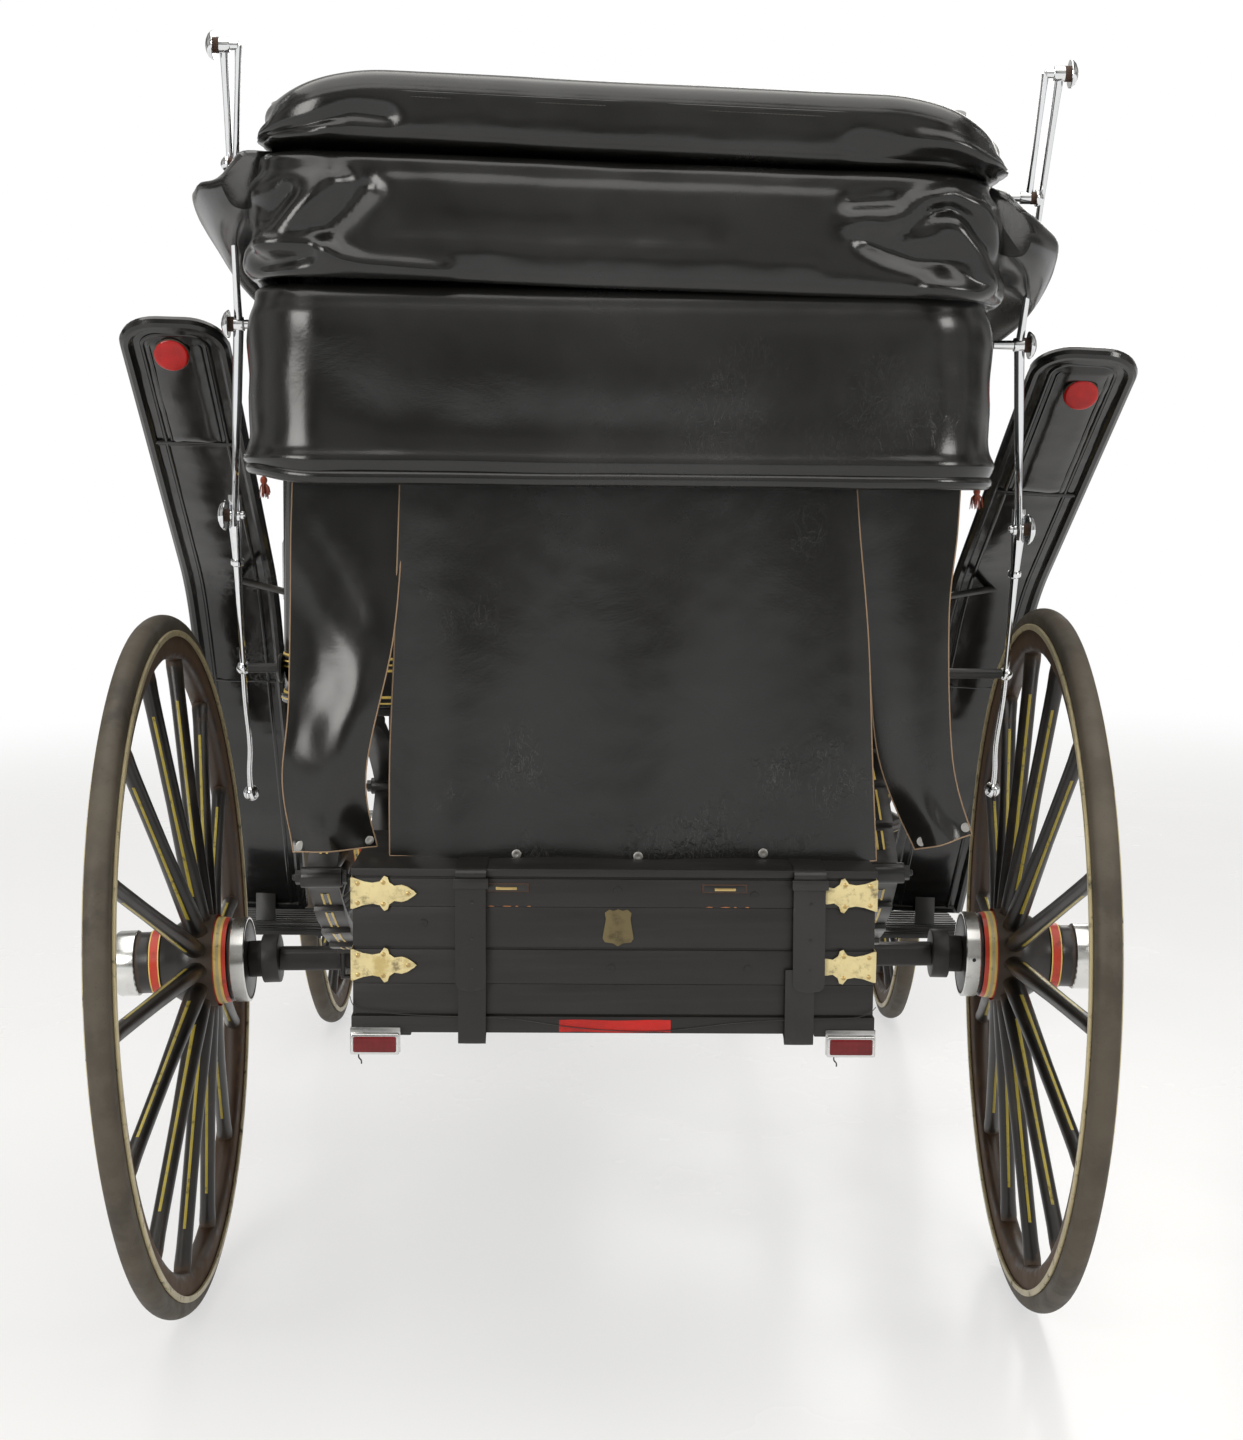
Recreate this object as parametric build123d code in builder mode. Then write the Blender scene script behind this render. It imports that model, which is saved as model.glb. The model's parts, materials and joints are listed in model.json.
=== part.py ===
from build123d import *
from math import asin, cos, degrees, radians, sin, sqrt
import os

os.makedirs("parts", exist_ok=True)

# Open four-wheeled carriage with a folded hood, a trunk behind and shafts laid down in front.
# Millimetres. X is to the right, Y is forward from the rear axle, Z is up from the ground.
# Everything on the springs is drawn upright and square, and is then set with its lean and its skew.

# Running gear
track = 1420
wheelbase = 1907
camber = 1.66
rear_wheel_radius = 575.5
front_wheel_radius = 457
rear_spoke_count = 14
front_spoke_count = 12
bearing_gap = 0.4

# Set of the body on its tired springs
body_lean = 1.0
lean_pivot_z = 800
body_skew = 1.2
skew_pivot_y = 240

# Wheel, measured in its own frame: x outward along the axle, zero in the tyre's middle plane
tyre_width = 38
tyre_height = 31
crown_radius = 24
felloe_width = 36
felloe_depth = 42
channel_lip = 5
dish = 44
spoke_hub_radius = 15
spoke_rim_radius = 11
spoke_tenon = 4
hub_inner_face = -121
hub_outer_face = 62
hub_inner_radius = 66
hub_waist_radius = 76
hub_shoulder = 6
hub_outer_radius = 50
hub_front_wall = 7
hub_band_wall = 4
hub_band_length = 26
cap_length = 38
cap_chamfer = 8
arm_radius = 19
arm_length = hub_outer_face - hub_inner_face - hub_front_wall
arm_end_gap = 2
neck_radius = 30
neck_length = 22
collar_radius = 40
collar_length = 28
collar_gap = 0.4

# Axles and springs
axle_size = 36
axle_chamfer = 5
rear_spring_x = 405
spring_half_length = 460
rear_eye_z = 801
spring_leaf_count = 5
spring_leaf_thickness = 7
spring_leaf_width = 44
eye_radius = 15
eye_width = 56
front_spring_x = 430
front_spring_half_length = 420
front_eye_z = 620
front_leaf_count = 4
clip_width = 62
clip_length = 96
clip_height = 8

# Body
wall = 22
quarter_half_width = 505
quarter_rear_y = -290
quarter_front_y = 430
quarter_corner_radius = 110
seat_bottom_z = 1022
arm_top_z = 1385
belt_z = 1080
belt_height = 14
belt_depth = 5
iron_thickness = 12
iron_width = 40
iron_rear_y = -270
boot_behind_kingpin = 617
boot_before_kingpin = 153
boot_rear_y = wheelbase - boot_behind_kingpin
boot_front_y = wheelbase + boot_before_kingpin
boot_bottom_z = 985
boot_top_z = 1240
well_half_width = 400
well_rear_y = 517
well_rise_length = 90
well_front_y = boot_rear_y - well_rise_length
floor_bottom_z = 600
rocker_top_z = 700
seat_riser_height = 150
driver_seat_rear_y = boot_rear_y + 140
driver_seat_front_y = boot_front_y - 210
driver_seat_half_width = 400
rail_height = 200
rail_radius = 9
rail_post_radius = 7
rail_inset = 16
rail_bend_radius = 60
riser_inset = 30
cushion_inset = 12
driver_cushion_height = 85
arm_cut_y = 60
arm_cut_foot = (340, 1150)
arm_cut_end_z = 1120
arm_cut_radius = 160
footboard_half_width = 380
footboard_thickness = 22
footboard_length = 420
footboard_lift = 78
footboard_rise = 152
footboard_bend_radius = 150
dash_lean = 100
dash_height = 220
soft_gap = 0.3

# Hood, folded in three tiers that fan out from the bows' pivots in front
hood_hem_z = arm_top_z + soft_gap
hood_half_width = 520
hood_front_y = -60
hood_rear_y = -600
hood_step = 8
hood_corner_radius = 110
hood_fold = 205
hood_side_fold = 75
hood_roll_radius = 12
lower_tier_top_z = 1628
middle_tier_top_z = 1800
hood_top_z = 1908
tier_edge_radius = 16
rim_edge_radius = 30
fan_rear_y = -430
fan_front_height = 80
shelf_height = 40

# Bright irons of the hood
iron_radius = 8
prop_radius = 7
pivot_radius = 10
iron_disc_radius = 20
iron_disc_length = 6
iron_ball_radius = 12

# Curtains
curtain_y = -520
curtain_thickness = 6
curtain_bottom_z = 850

# Trunk
trunk_half_width = 361
trunk_rear_y = -620
trunk_front_y = -300
trunk_top_z = 838
trunk_bottom_z = 609
lid_height = 12
plank_groove = 3
plank_depth = 111
base_height = 24
hanger_inset = 60
hanger_gap = 6
strap_tuck = 30
plate_length = 62
plate_height = 44
plate_wrap = 70
latch_width = 52
latch_height = 16
fitting_thickness = 3
lamp_depth = 14
tail_lamp_x = 328
tail_lamp_width = 68
tail_lamp_height = 33

# Side lamps
side_lamp_x = 660
side_lamp_ahead = 90
side_lamp_half = 46
side_lamp_z = 1085
side_lamp_height = 130
side_lamp_tube = 70

# Wings and steps
wing_width = 158
wing_thickness = 8
wing_bead_radius = 7
wing_tip_length = 74
wing_tip_radius = 58
wing_stay_share = 0.42
step_ahead = 91
step_y = (well_rear_y + well_front_y) / 2 + step_ahead
step_top_z = 445
step_length = 230
step_width = 200
step_x = 650
step_thickness = 12

# Turntable and shafts
turntable_radius = 260
turntable_width = 44
turntable_thickness = 12
turntable_z = 846
shaft_radius = 22
shaft_heel_x = 372
shaft_tip_x = 285
shaft_length = 2150
shaft_tip_z = 540
crossbar_y = 480
crossbar_z = 115
coupling_y = 62
pin_radius = 8
lug_gap = 1
lug_thickness = 8
kingpin_radius = 14
heel_radius = 26
heel_length = 50
trace_hole_radius = 6


# Shared places
right_and_left = (("right", 1), ("left", -1))


def hub_centre_z(radius):
    """Height of a cambered wheel's centre with its round tread on the ground."""
    return (radius - crown_radius) * cos(radians(camber)) + crown_radius


def wheel_place(side, axle_y, radius):
    """Frame of one wheel, with x pointing outward along its tilted axle."""
    place = Location((side * track / 2, axle_y, hub_centre_z(radius)), (0, side * camber, 0))
    if side < 0:
        place = place * Location((0, 0, 0), (0, 0, 180))
    return place


def add_box(x_range, y_range, z_range, mode=Mode.ADD):
    """One square-cornered block between the given limits."""
    middle = ((x_range[0] + x_range[1]) / 2, (y_range[0] + y_range[1]) / 2)
    with BuildSketch(Plane.XY.offset(z_range[0])) as base:
        with Locations(middle):
            Rectangle(x_range[1] - x_range[0], y_range[1] - y_range[0])
    extrude(base.sketch, amount=z_range[1] - z_range[0], mode=mode)


def add_rod(start, end, radius, end_radius=None, mode=Mode.ADD):
    """One round rod between two points, tapered if an end radius is given."""
    run = Vector(*end) - Vector(*start)
    with BuildSketch(Plane(origin=start, z_dir=run)) as foot:
        Circle(radius)
    if end_radius is None:
        extrude(foot.sketch, amount=run.length, mode=mode)
        return
    with BuildSketch(Plane(origin=end, z_dir=run)) as head:
        Circle(end_radius)
    loft([foot.sketch, head.sketch], mode=mode)


def add_side_plate(points, x, thickness, corner_radii=None, mode=Mode.ADD):
    """One plate drawn in side view as (y, z) points and made thick along X."""
    with BuildSketch(Plane.YZ.offset(x)) as outline:
        with BuildLine():
            Polyline(*points, close=True)
        make_face()
        for point, radius in (corner_radii or {}).items():
            corner = outline.vertices().sort_by_distance((*point, 0))[0]
            fillet(corner, radius)
    extrude(outline.sketch, amount=thickness, mode=mode)


def add_rear_rounded(half_width, y_range, radius, z_range, mode=Mode.ADD):
    """One upright block whose two rear corners are rounded in plan."""
    with BuildSketch(Plane.XY.offset(z_range[0])) as plan:
        with Locations((0, (y_range[0] + y_range[1]) / 2)):
            Rectangle(2 * half_width, y_range[1] - y_range[0])
        fillet(plan.vertices().group_by(Axis.Y)[0], radius)
    extrude(plan.sketch, amount=z_range[1] - z_range[0], mode=mode)


# Fall of the hub from its shoulder to its front end, as shares of its length and of its height
hub_front_taper = ((0.02, 1.0), (0.22, 0.77), (0.46, 0.27), (0.56, 0.08), (0.68, 0.0))


def build_wheel(radius, spoke_count):
    """Hub, dished spokes and felloe with its steel channel, in the wheel's own frame."""
    tyre_seat = radius - tyre_height
    felloe_inner = tyre_seat - felloe_depth
    shoulder_x = spoke_hub_radius - dish
    front_profile = [
        (shoulder_x + along * (hub_outer_face - shoulder_x),
         hub_outer_radius + out * (hub_waist_radius - hub_outer_radius))
        for along, out in hub_front_taper
    ]
    with BuildPart() as wheel:
        with BuildSketch(Plane.XZ):
            with BuildLine():
                Polyline(
                    (hub_inner_face, 0),
                    (hub_inner_face, hub_inner_radius),
                    (hub_inner_face + hub_band_length, hub_inner_radius),
                    (-dish - spoke_hub_radius - hub_shoulder, hub_waist_radius),
                    *front_profile,
                    (hub_outer_face, hub_outer_radius),
                    (hub_outer_face, 0),
                    close=True,
                )
            make_face()
        revolve(axis=Axis.X)
        for turn in range(spoke_count):
            angle = radians(360 * (turn + 0.5) / spoke_count)
            foot = hub_waist_radius - hub_shoulder
            head = felloe_inner + spoke_tenon
            add_rod(
                (-dish, foot * sin(angle), foot * cos(angle)),
                (0, head * sin(angle), head * cos(angle)),
                spoke_hub_radius,
                spoke_rim_radius,
            )
        with BuildSketch(Plane.XZ):
            with Locations((0, felloe_inner + felloe_depth / 2)):
                Rectangle(felloe_width, felloe_depth)
            for edge in (-1, 1):
                with Locations((edge * (tyre_width + channel_lip) / 2, tyre_seat)):
                    Rectangle(channel_lip, 2 * channel_lip)
            with Locations((0, tyre_seat - channel_lip / 2)):
                Rectangle(tyre_width + 2 * channel_lip, channel_lip)
        revolve(axis=Axis.X)
        add_rod((hub_inner_face, 0, 0), (hub_inner_face + arm_length, 0, 0),
                arm_radius + bearing_gap, mode=Mode.SUBTRACT)
    return wheel


def build_tyre(radius):
    """Solid rubber tyre with a round crown, seated in the channel."""
    seat = radius - tyre_height
    half = tyre_width / 2
    shoulder = radius - crown_radius + sqrt(crown_radius**2 - half**2)
    with BuildPart() as tyre:
        with BuildSketch(Plane.XZ):
            with BuildLine():
                Line((-half, seat), (half, seat))
                Line((half, seat), (half, shoulder))
                ThreePointArc((half, shoulder), (0, radius), (-half, shoulder))
                Line((-half, shoulder), (-half, seat))
            make_face()
        revolve(axis=Axis.X)
    return tyre


def build_hub_bands():
    """Inner nickel band round the hub's back end and the nickel cap on its front end."""
    with BuildPart() as bands:
        with BuildSketch(Plane.XZ):
            with Locations((hub_inner_face + hub_band_length / 2, hub_inner_radius + hub_band_wall / 2)):
                Rectangle(hub_band_length, hub_band_wall)
        revolve(axis=Axis.X)
        with BuildSketch(Plane.XZ):
            with BuildLine():
                Polyline(
                    (hub_outer_face, 0),
                    (hub_outer_face, hub_outer_radius + hub_band_wall),
                    (hub_outer_face + cap_length - cap_chamfer, hub_outer_radius + hub_band_wall),
                    (hub_outer_face + cap_length, hub_outer_radius - hub_band_wall),
                    (hub_outer_face + cap_length, 0),
                    close=True,
                )
            make_face()
        revolve(axis=Axis.X)
    return bands


def add_axle(axle_y, radius):
    """Chamfered square beam with flanged collars and the cambered arms that the wheels turn on."""
    collar_end = hub_inner_face - collar_gap
    flange_end = collar_end - neck_length
    beam_end = track / 2 + flange_end - collar_length
    beam_z = (wheel_place(1, axle_y, radius) * Location((flange_end, 0, 0))).position.Z
    with BuildSketch(Plane.YZ.offset(-beam_end)) as bar:
        with Locations((axle_y, beam_z)):
            Rectangle(axle_size, axle_size)
        chamfer(bar.vertices(), axle_chamfer)
    extrude(bar.sketch, amount=2 * beam_end)
    for _, side in right_and_left:
        place = wheel_place(side, axle_y, radius)
        places = [
            (place * Location((x, 0, 0))).position
            for x in (flange_end - collar_length, flange_end, collar_end, hub_inner_face + arm_length - arm_end_gap)
        ]
        add_rod(places[0], places[1], collar_radius)
        add_rod(places[1], places[2], neck_radius)
        add_rod(places[2], places[3], arm_radius)
    return beam_z + axle_size / 2


def add_leaf(x, centre_z, radius, half_angle, middle_angle, axle_y):
    """One curved leaf of a spring, concentric with the rest of its stack."""
    inner_radius = radius
    outer_radius = radius + spring_leaf_thickness
    with BuildSketch(Plane.YZ.offset(x)) as leaf:
        with BuildLine():
            inner = CenterArc((axle_y, centre_z), inner_radius, middle_angle - half_angle, 2 * half_angle)
            outer = CenterArc((axle_y, centre_z), outer_radius, middle_angle - half_angle, 2 * half_angle)
            Line(inner @ 0, outer @ 0)
            Line(inner @ 1, outer @ 1)
        make_face()
    extrude(leaf.sketch, amount=spring_leaf_width / 2, both=True)


def add_full_spring(x, axle_y, seat_z, eye_z, half_length, leaf_count):
    """Full elliptic spring: two stacks of leaves joined at their eyes, with a clip block below and above."""
    arch = eye_z - seat_z - clip_height - leaf_count * spring_leaf_thickness
    leaf_radius = (half_length**2 + arch**2) / (2 * arch)
    full_angle = degrees(asin(half_length / leaf_radius))
    for half, middle_angle in ((-1, -90), (1, 90)):
        centre_z = eye_z + half * (arch - leaf_radius)
        for leaf in range(leaf_count):
            add_leaf(x, centre_z, leaf_radius + leaf * spring_leaf_thickness,
                     full_angle * (1 - leaf / (leaf_count + 0.6)), middle_angle, axle_y)
    for end in (-1, 1):
        add_rod((x - eye_width / 2, axle_y + end * half_length, eye_z),
                (x + eye_width / 2, axle_y + end * half_length, eye_z), eye_radius)
    clip_x = (x - clip_width / 2, x + clip_width / 2)
    clip_y = (axle_y - clip_length / 2, axle_y + clip_length / 2)
    sunk = spring_leaf_thickness / 2
    add_box(clip_x, clip_y, (seat_z, seat_z + clip_height + sunk))
    top = 2 * eye_z - seat_z - clip_height
    return clip_x, clip_y, top - sunk


# Wheels
rear_wheel = build_wheel(rear_wheel_radius, rear_spoke_count)
front_wheel = build_wheel(front_wheel_radius, front_spoke_count)
rear_tyre = build_tyre(rear_wheel_radius)
front_tyre = build_tyre(front_wheel_radius)
hub_bands = build_hub_bands()

# Rear axle
with BuildPart() as rear_axle:
    rear_seat_z = add_axle(0, rear_wheel_radius)

# Front axle with its kingpin stay below the turntable
with BuildPart() as front_axle:
    front_seat_z = add_axle(wheelbase, front_wheel_radius)
    for _, side in right_and_left:
        pin_z = front_seat_z - axle_size / 2
        ear_end = heel_length / 2 + lug_gap + lug_thickness
        for ear_x in (-ear_end, ear_end - lug_thickness):
            ear_x += side * shaft_heel_x
            add_box((ear_x, ear_x + lug_thickness),
                    (wheelbase + axle_size / 2 - axle_chamfer, wheelbase + coupling_y),
                    (front_seat_z - axle_size, front_seat_z))
            add_rod((ear_x, wheelbase + coupling_y, pin_z),
                    (ear_x + lug_thickness, wheelbase + coupling_y, pin_z), axle_size / 2)
        add_rod((side * shaft_heel_x - ear_end, wheelbase + coupling_y, pin_z),
                (side * shaft_heel_x + ear_end, wheelbase + coupling_y, pin_z), pin_radius)

coupling_z = front_seat_z - axle_size / 2

# Front springs
front_spring_tops = []
with BuildPart() as front_springs:
    for _, side in right_and_left:
        front_spring_tops.append(
            add_full_spring(side * front_spring_x, wheelbase, front_seat_z, front_eye_z,
                            front_spring_half_length, front_leaf_count)
        )
    for clip_x, clip_y, top_z in front_spring_tops:
        add_box(clip_x, clip_y, (top_z, top_z + clip_height + spring_leaf_thickness / 2))
front_bed_z = 2 * front_eye_z - front_seat_z

# Turntable: the turning bed with its futchells, and the two wheel plates
bed_half_length = front_spring_x + clip_width / 2
futchell_x = 150
futchell_width = 40
futchell_depth = 38
futchell_behind = 250
splinter_bar_ahead = 320
splinter_bar_half = 480
splinter_bar_radius = 22
with BuildPart() as turning_bed:
    add_box((-bed_half_length, bed_half_length), (wheelbase - 40, wheelbase + 40),
            (front_bed_z, turntable_z - turntable_thickness))
    bed_top_z = turntable_z - turntable_thickness
    for _, side in right_and_left:
        middle_x = side * futchell_x
        add_box((middle_x - futchell_width / 2, middle_x + futchell_width / 2),
                (wheelbase - futchell_behind, wheelbase + splinter_bar_ahead),
                (bed_top_z - futchell_depth, bed_top_z))
    bar_y = wheelbase + splinter_bar_ahead + splinter_bar_radius
    add_rod((-splinter_bar_half, bar_y - 1, bed_top_z - splinter_bar_radius),
            (splinter_bar_half, bar_y - 1, bed_top_z - splinter_bar_radius), splinter_bar_radius)

with BuildPart() as turntable_lower:
    with BuildSketch(Plane.XY.offset(turntable_z - turntable_thickness)):
        with Locations((0, wheelbase)):
            Circle(turntable_radius)
            Circle(turntable_radius - turntable_width, mode=Mode.SUBTRACT)
            Rectangle(2 * turntable_radius - turntable_width, turntable_width)
    extrude(amount=turntable_thickness)
    add_rod((0, wheelbase, turntable_z), (0, wheelbase, turntable_z + 90), kingpin_radius)

# Body: quarter panel round the seat
with BuildPart() as quarter_panel:
    add_rear_rounded(quarter_half_width, (quarter_rear_y, quarter_front_y), quarter_corner_radius,
                     (seat_bottom_z, arm_top_z))
    for moulding_z in (seat_bottom_z, belt_z):
        add_rear_rounded(quarter_half_width + belt_depth, (quarter_rear_y - belt_depth, quarter_front_y),
                         quarter_corner_radius + belt_depth, (moulding_z, moulding_z + belt_height))
    add_rear_rounded(quarter_half_width - wall, (quarter_rear_y + wall, quarter_front_y + 1),
                     quarter_corner_radius - wall, (seat_bottom_z - 1, arm_top_z + 1), mode=Mode.SUBTRACT)
    arm_cut = [
        (arm_cut_y, arm_top_z + 1),
        (arm_cut_y, arm_top_z - belt_depth),
        arm_cut_foot,
        (quarter_front_y + 1, arm_cut_end_z),
        (quarter_front_y + 1, arm_top_z + 1),
    ]
    add_side_plate(arm_cut, -quarter_half_width - 2 * belt_depth, 2 * quarter_half_width + 4 * belt_depth,
                   {arm_cut_foot: arm_cut_radius}, mode=Mode.SUBTRACT)

with BuildPart() as seat_frame:
    inner_half = quarter_half_width - wall
    add_rear_rounded(inner_half, (quarter_rear_y + wall, quarter_front_y), quarter_corner_radius - wall,
                     (seat_bottom_z, seat_bottom_z + wall))
    add_box((-well_half_width, well_half_width), (quarter_front_y, well_rear_y),
            (seat_bottom_z, seat_bottom_z + wall))
    add_box((-well_half_width, well_half_width), (well_rear_y - wall, well_rear_y),
            (floor_bottom_z, seat_bottom_z))

# Body: foot well with low rockers to step over, rising to the boot
with BuildPart() as foot_well:
    rocker = [
        (well_rear_y, floor_bottom_z),
        (well_front_y, floor_bottom_z),
        (boot_rear_y, boot_bottom_z),
        (boot_rear_y, boot_top_z),
        (boot_rear_y - wall, boot_top_z),
        (well_front_y - wall, rocker_top_z),
        (well_rear_y + 90, rocker_top_z),
        (well_rear_y, seat_bottom_z + wall),
    ]
    curves = {(well_front_y - wall, rocker_top_z): 120, (well_rear_y + 90, rocker_top_z): 100}
    for x in (-well_half_width, well_half_width - wall):
        add_side_plate(rocker, x, wall, curves)
    add_box((-well_half_width, well_half_width), (well_rear_y, well_front_y - 4),
            (floor_bottom_z, floor_bottom_z + wall))
    front_board = [
        (well_front_y - wall, floor_bottom_z + 1),
        (well_front_y, floor_bottom_z),
        (boot_rear_y, boot_bottom_z),
        (boot_rear_y, boot_top_z),
        (boot_rear_y - wall, boot_top_z),
        (boot_rear_y - wall, boot_bottom_z),
    ]
    add_side_plate(front_board, -well_half_width, 2 * well_half_width)

with BuildPart() as boot:
    boot_outline = [
        (boot_rear_y, boot_bottom_z),
        (boot_front_y, boot_bottom_z),
        (boot_front_y, boot_top_z),
        (boot_rear_y, boot_top_z),
    ]
    add_side_plate(boot_outline, -well_half_width, 2 * well_half_width,
                   {(boot_front_y, boot_bottom_z): 60})

# Iron bars under the seat that rest on the rear springs and carry the trunk
with BuildPart() as body_irons:
    for _, side in right_and_left:
        bar_x = side * rear_spring_x
        add_box((bar_x - iron_width / 2, bar_x + iron_width / 2), (iron_rear_y, quarter_front_y),
                (seat_bottom_z - iron_thickness, seat_bottom_z))
        hanger_x = side * (trunk_half_width - hanger_inset)
        hanger_y = trunk_front_y + hanger_gap
        add_box((hanger_x - iron_width / 2, hanger_x + iron_width / 2),
                (hanger_y, hanger_y + iron_thickness),
                (trunk_bottom_z - iron_thickness, seat_bottom_z - iron_thickness))
        add_box((hanger_x - iron_width / 2, hanger_x + iron_width / 2),
                (trunk_rear_y + strap_tuck, hanger_y + iron_thickness),
                (trunk_bottom_z - iron_thickness, trunk_bottom_z))
        add_box(sorted((hanger_x - side * iron_width / 2, bar_x + side * iron_width / 2)),
                (hanger_y, iron_rear_y + iron_width), (seat_bottom_z - iron_thickness, seat_bottom_z))

# Seat cushions
with BuildPart() as seat_cushion:
    add_box((-inner_half + 12, inner_half - 12), (quarter_rear_y + wall + 110, well_rear_y - 10),
            (seat_bottom_z + wall + soft_gap, seat_bottom_z + wall + 110))
    add_box((-inner_half - 40, -well_half_width), (quarter_front_y - 2, well_rear_y),
            (seat_bottom_z, seat_bottom_z + 200), mode=Mode.SUBTRACT)
    add_box((well_half_width, inner_half + 40), (quarter_front_y - 2, well_rear_y),
            (seat_bottom_z, seat_bottom_z + 200), mode=Mode.SUBTRACT)

with BuildPart() as back_cushion:
    add_box((-inner_half + 90, inner_half - 90),
            (quarter_rear_y + wall + soft_gap, quarter_rear_y + wall + 108),
            (seat_bottom_z + wall + soft_gap, arm_top_z))

# Driver's seat with its iron rail, cushion, footboard and dash
driver_seat_z = boot_top_z + seat_riser_height
with BuildPart() as driver_seat:
    add_box((-driver_seat_half_width + riser_inset, driver_seat_half_width - riser_inset),
            (driver_seat_rear_y + riser_inset, driver_seat_front_y - riser_inset),
            (boot_top_z, driver_seat_z - wall))
    add_rear_rounded(driver_seat_half_width, (driver_seat_rear_y, driver_seat_front_y), riser_inset,
                     (driver_seat_z - wall, driver_seat_z))
    rail_z = driver_seat_z + rail_height
    rail_y = driver_seat_rear_y + rail_inset
    rail_x = driver_seat_half_width - rail_inset
    arm_end_y = driver_seat_front_y - 3 * riser_inset
    arm_end_z = driver_seat_z + rail_height / 2
    for post_x in (-2 / 3 * rail_x, -2 / 9 * rail_x, 2 / 9 * rail_x, 2 / 3 * rail_x):
        add_rod((post_x, rail_y, driver_seat_z - 2), (post_x, rail_y, rail_z), rail_post_radius)
    with BuildLine() as rail:
        FilletPolyline((-rail_x, arm_end_y, arm_end_z), (-rail_x, rail_y, rail_z), (rail_x, rail_y, rail_z),
                       (rail_x, arm_end_y, arm_end_z), radius=rail_bend_radius)
    with BuildSketch(Plane(origin=rail.line @ 0, z_dir=rail.line % 0)):
        Circle(rail_radius)
    sweep(path=rail.line)
    for _, side in right_and_left:
        with Locations((side * rail_x, arm_end_y, arm_end_z)):
            Sphere(rail_radius + 3)
        add_rod((side * rail_x, arm_end_y, driver_seat_z - 2), (side * rail_x, arm_end_y, arm_end_z),
                rail_post_radius)

with BuildPart() as driver_cushion:
    cushion_half_width = driver_seat_half_width - cushion_inset - rail_inset
    add_box((-cushion_half_width, cushion_half_width),
            (driver_seat_rear_y + rail_inset + cushion_inset, driver_seat_front_y),
            (driver_seat_z + soft_gap, driver_seat_z + driver_cushion_height))

with BuildPart() as footboard:
    heel_y, heel_z = boot_front_y - footboard_thickness, boot_bottom_z + footboard_lift
    toe_y, toe_z = heel_y + footboard_length, heel_z + footboard_rise
    with BuildSketch(Plane.YZ.offset(-footboard_half_width)) as sole:
        with BuildLine():
            FilletPolyline((heel_y, heel_z), (toe_y, toe_z), (toe_y + dash_lean, toe_z + dash_height),
                           radius=footboard_bend_radius)
        trace(line_width=footboard_thickness)
    extrude(sole.sketch, amount=2 * footboard_half_width)
    add(boot.part, mode=Mode.SUBTRACT)

# Wings over the rear wheels, rising behind and ending above the steps, each bent in its own way
wing_tip_y = -200
wing_bend_y = 430
wing_bend_rise = 690
wing_foot_y = step_y + 10
wing_foot_z = step_top_z + 29
wing_bend_radius = 500
wing_places = {
    # side: foot x, tip x, tip z
    1: (682, 726, 1563),
    -1: (691, 670, 1589),
}


def build_wing(side):
    """Wing of arched leather on a frame, with a rolled bead down each edge, and the place of its stay."""
    foot_x, tip_x, tip_z = wing_places[side]
    outward, upward = tip_x - foot_x, tip_z - wing_foot_z
    rise = sqrt(outward**2 + upward**2)
    plane = Plane(origin=(side * foot_x, 0, wing_foot_z), x_dir=(0, 1, 0),
                  z_dir=(upward / rise, 0, -side * outward / rise))
    upper_run = sqrt((wing_bend_y - wing_tip_y)**2 + (rise - wing_bend_rise)**2)
    straight = 1 - wing_tip_length / upper_run
    start = (wing_bend_y + (wing_tip_y - wing_bend_y) * straight,
             wing_bend_rise + (rise - wing_bend_rise) * straight)
    with BuildPart() as wing:
        with BuildLine(plane) as run:
            FilletPolyline(start, (wing_bend_y, wing_bend_rise), (wing_foot_y, 0), radius=wing_bend_radius)
        with BuildSketch(Plane(origin=run.line @ 0, x_dir=plane.z_dir, z_dir=run.line % 0)):
            Rectangle(wing_width, wing_thickness)
            with Locations((-wing_width / 2, 0), (wing_width / 2, 0)):
                Circle(wing_bead_radius)
        sweep(path=run.line)
        down = run.line % 0
        tip = Plane(origin=run.line @ 0, x_dir=plane.z_dir, z_dir=plane.z_dir.cross(down))
        top = -wing_tip_length if tip.y_dir.dot(down) > 0 else wing_tip_length
        with BuildSketch(tip) as end:
            with Locations((0, top / 2)):
                Rectangle(wing_width, wing_tip_length)
            fillet(end.vertices().group_by(Axis.Y)[0 if top < 0 else -1], wing_tip_radius)
        extrude(end.sketch, amount=wing_thickness / 2, both=True)
        with BuildLine(tip) as bead:
            FilletPolyline((-wing_width / 2, 0), (-wing_width / 2, top), (wing_width / 2, top),
                           (wing_width / 2, 0), radius=wing_tip_radius)
        with BuildSketch(Plane(origin=bead.line @ 0, z_dir=bead.line % 0)) as rolled:
            Circle(wing_bead_radius)
        sweep(rolled.sketch, path=bead.line)
        foot = run.line @ 1
        add_rod(foot - plane.z_dir * (wing_width / 2), foot + plane.z_dir * (wing_width / 2), wing_bead_radius)
    return wing, tuple(run.line @ wing_stay_share)


wings, stay_ends = {}, {}
for name, side in right_and_left:
    wings[name], stay_ends[side] = build_wing(side)

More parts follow.
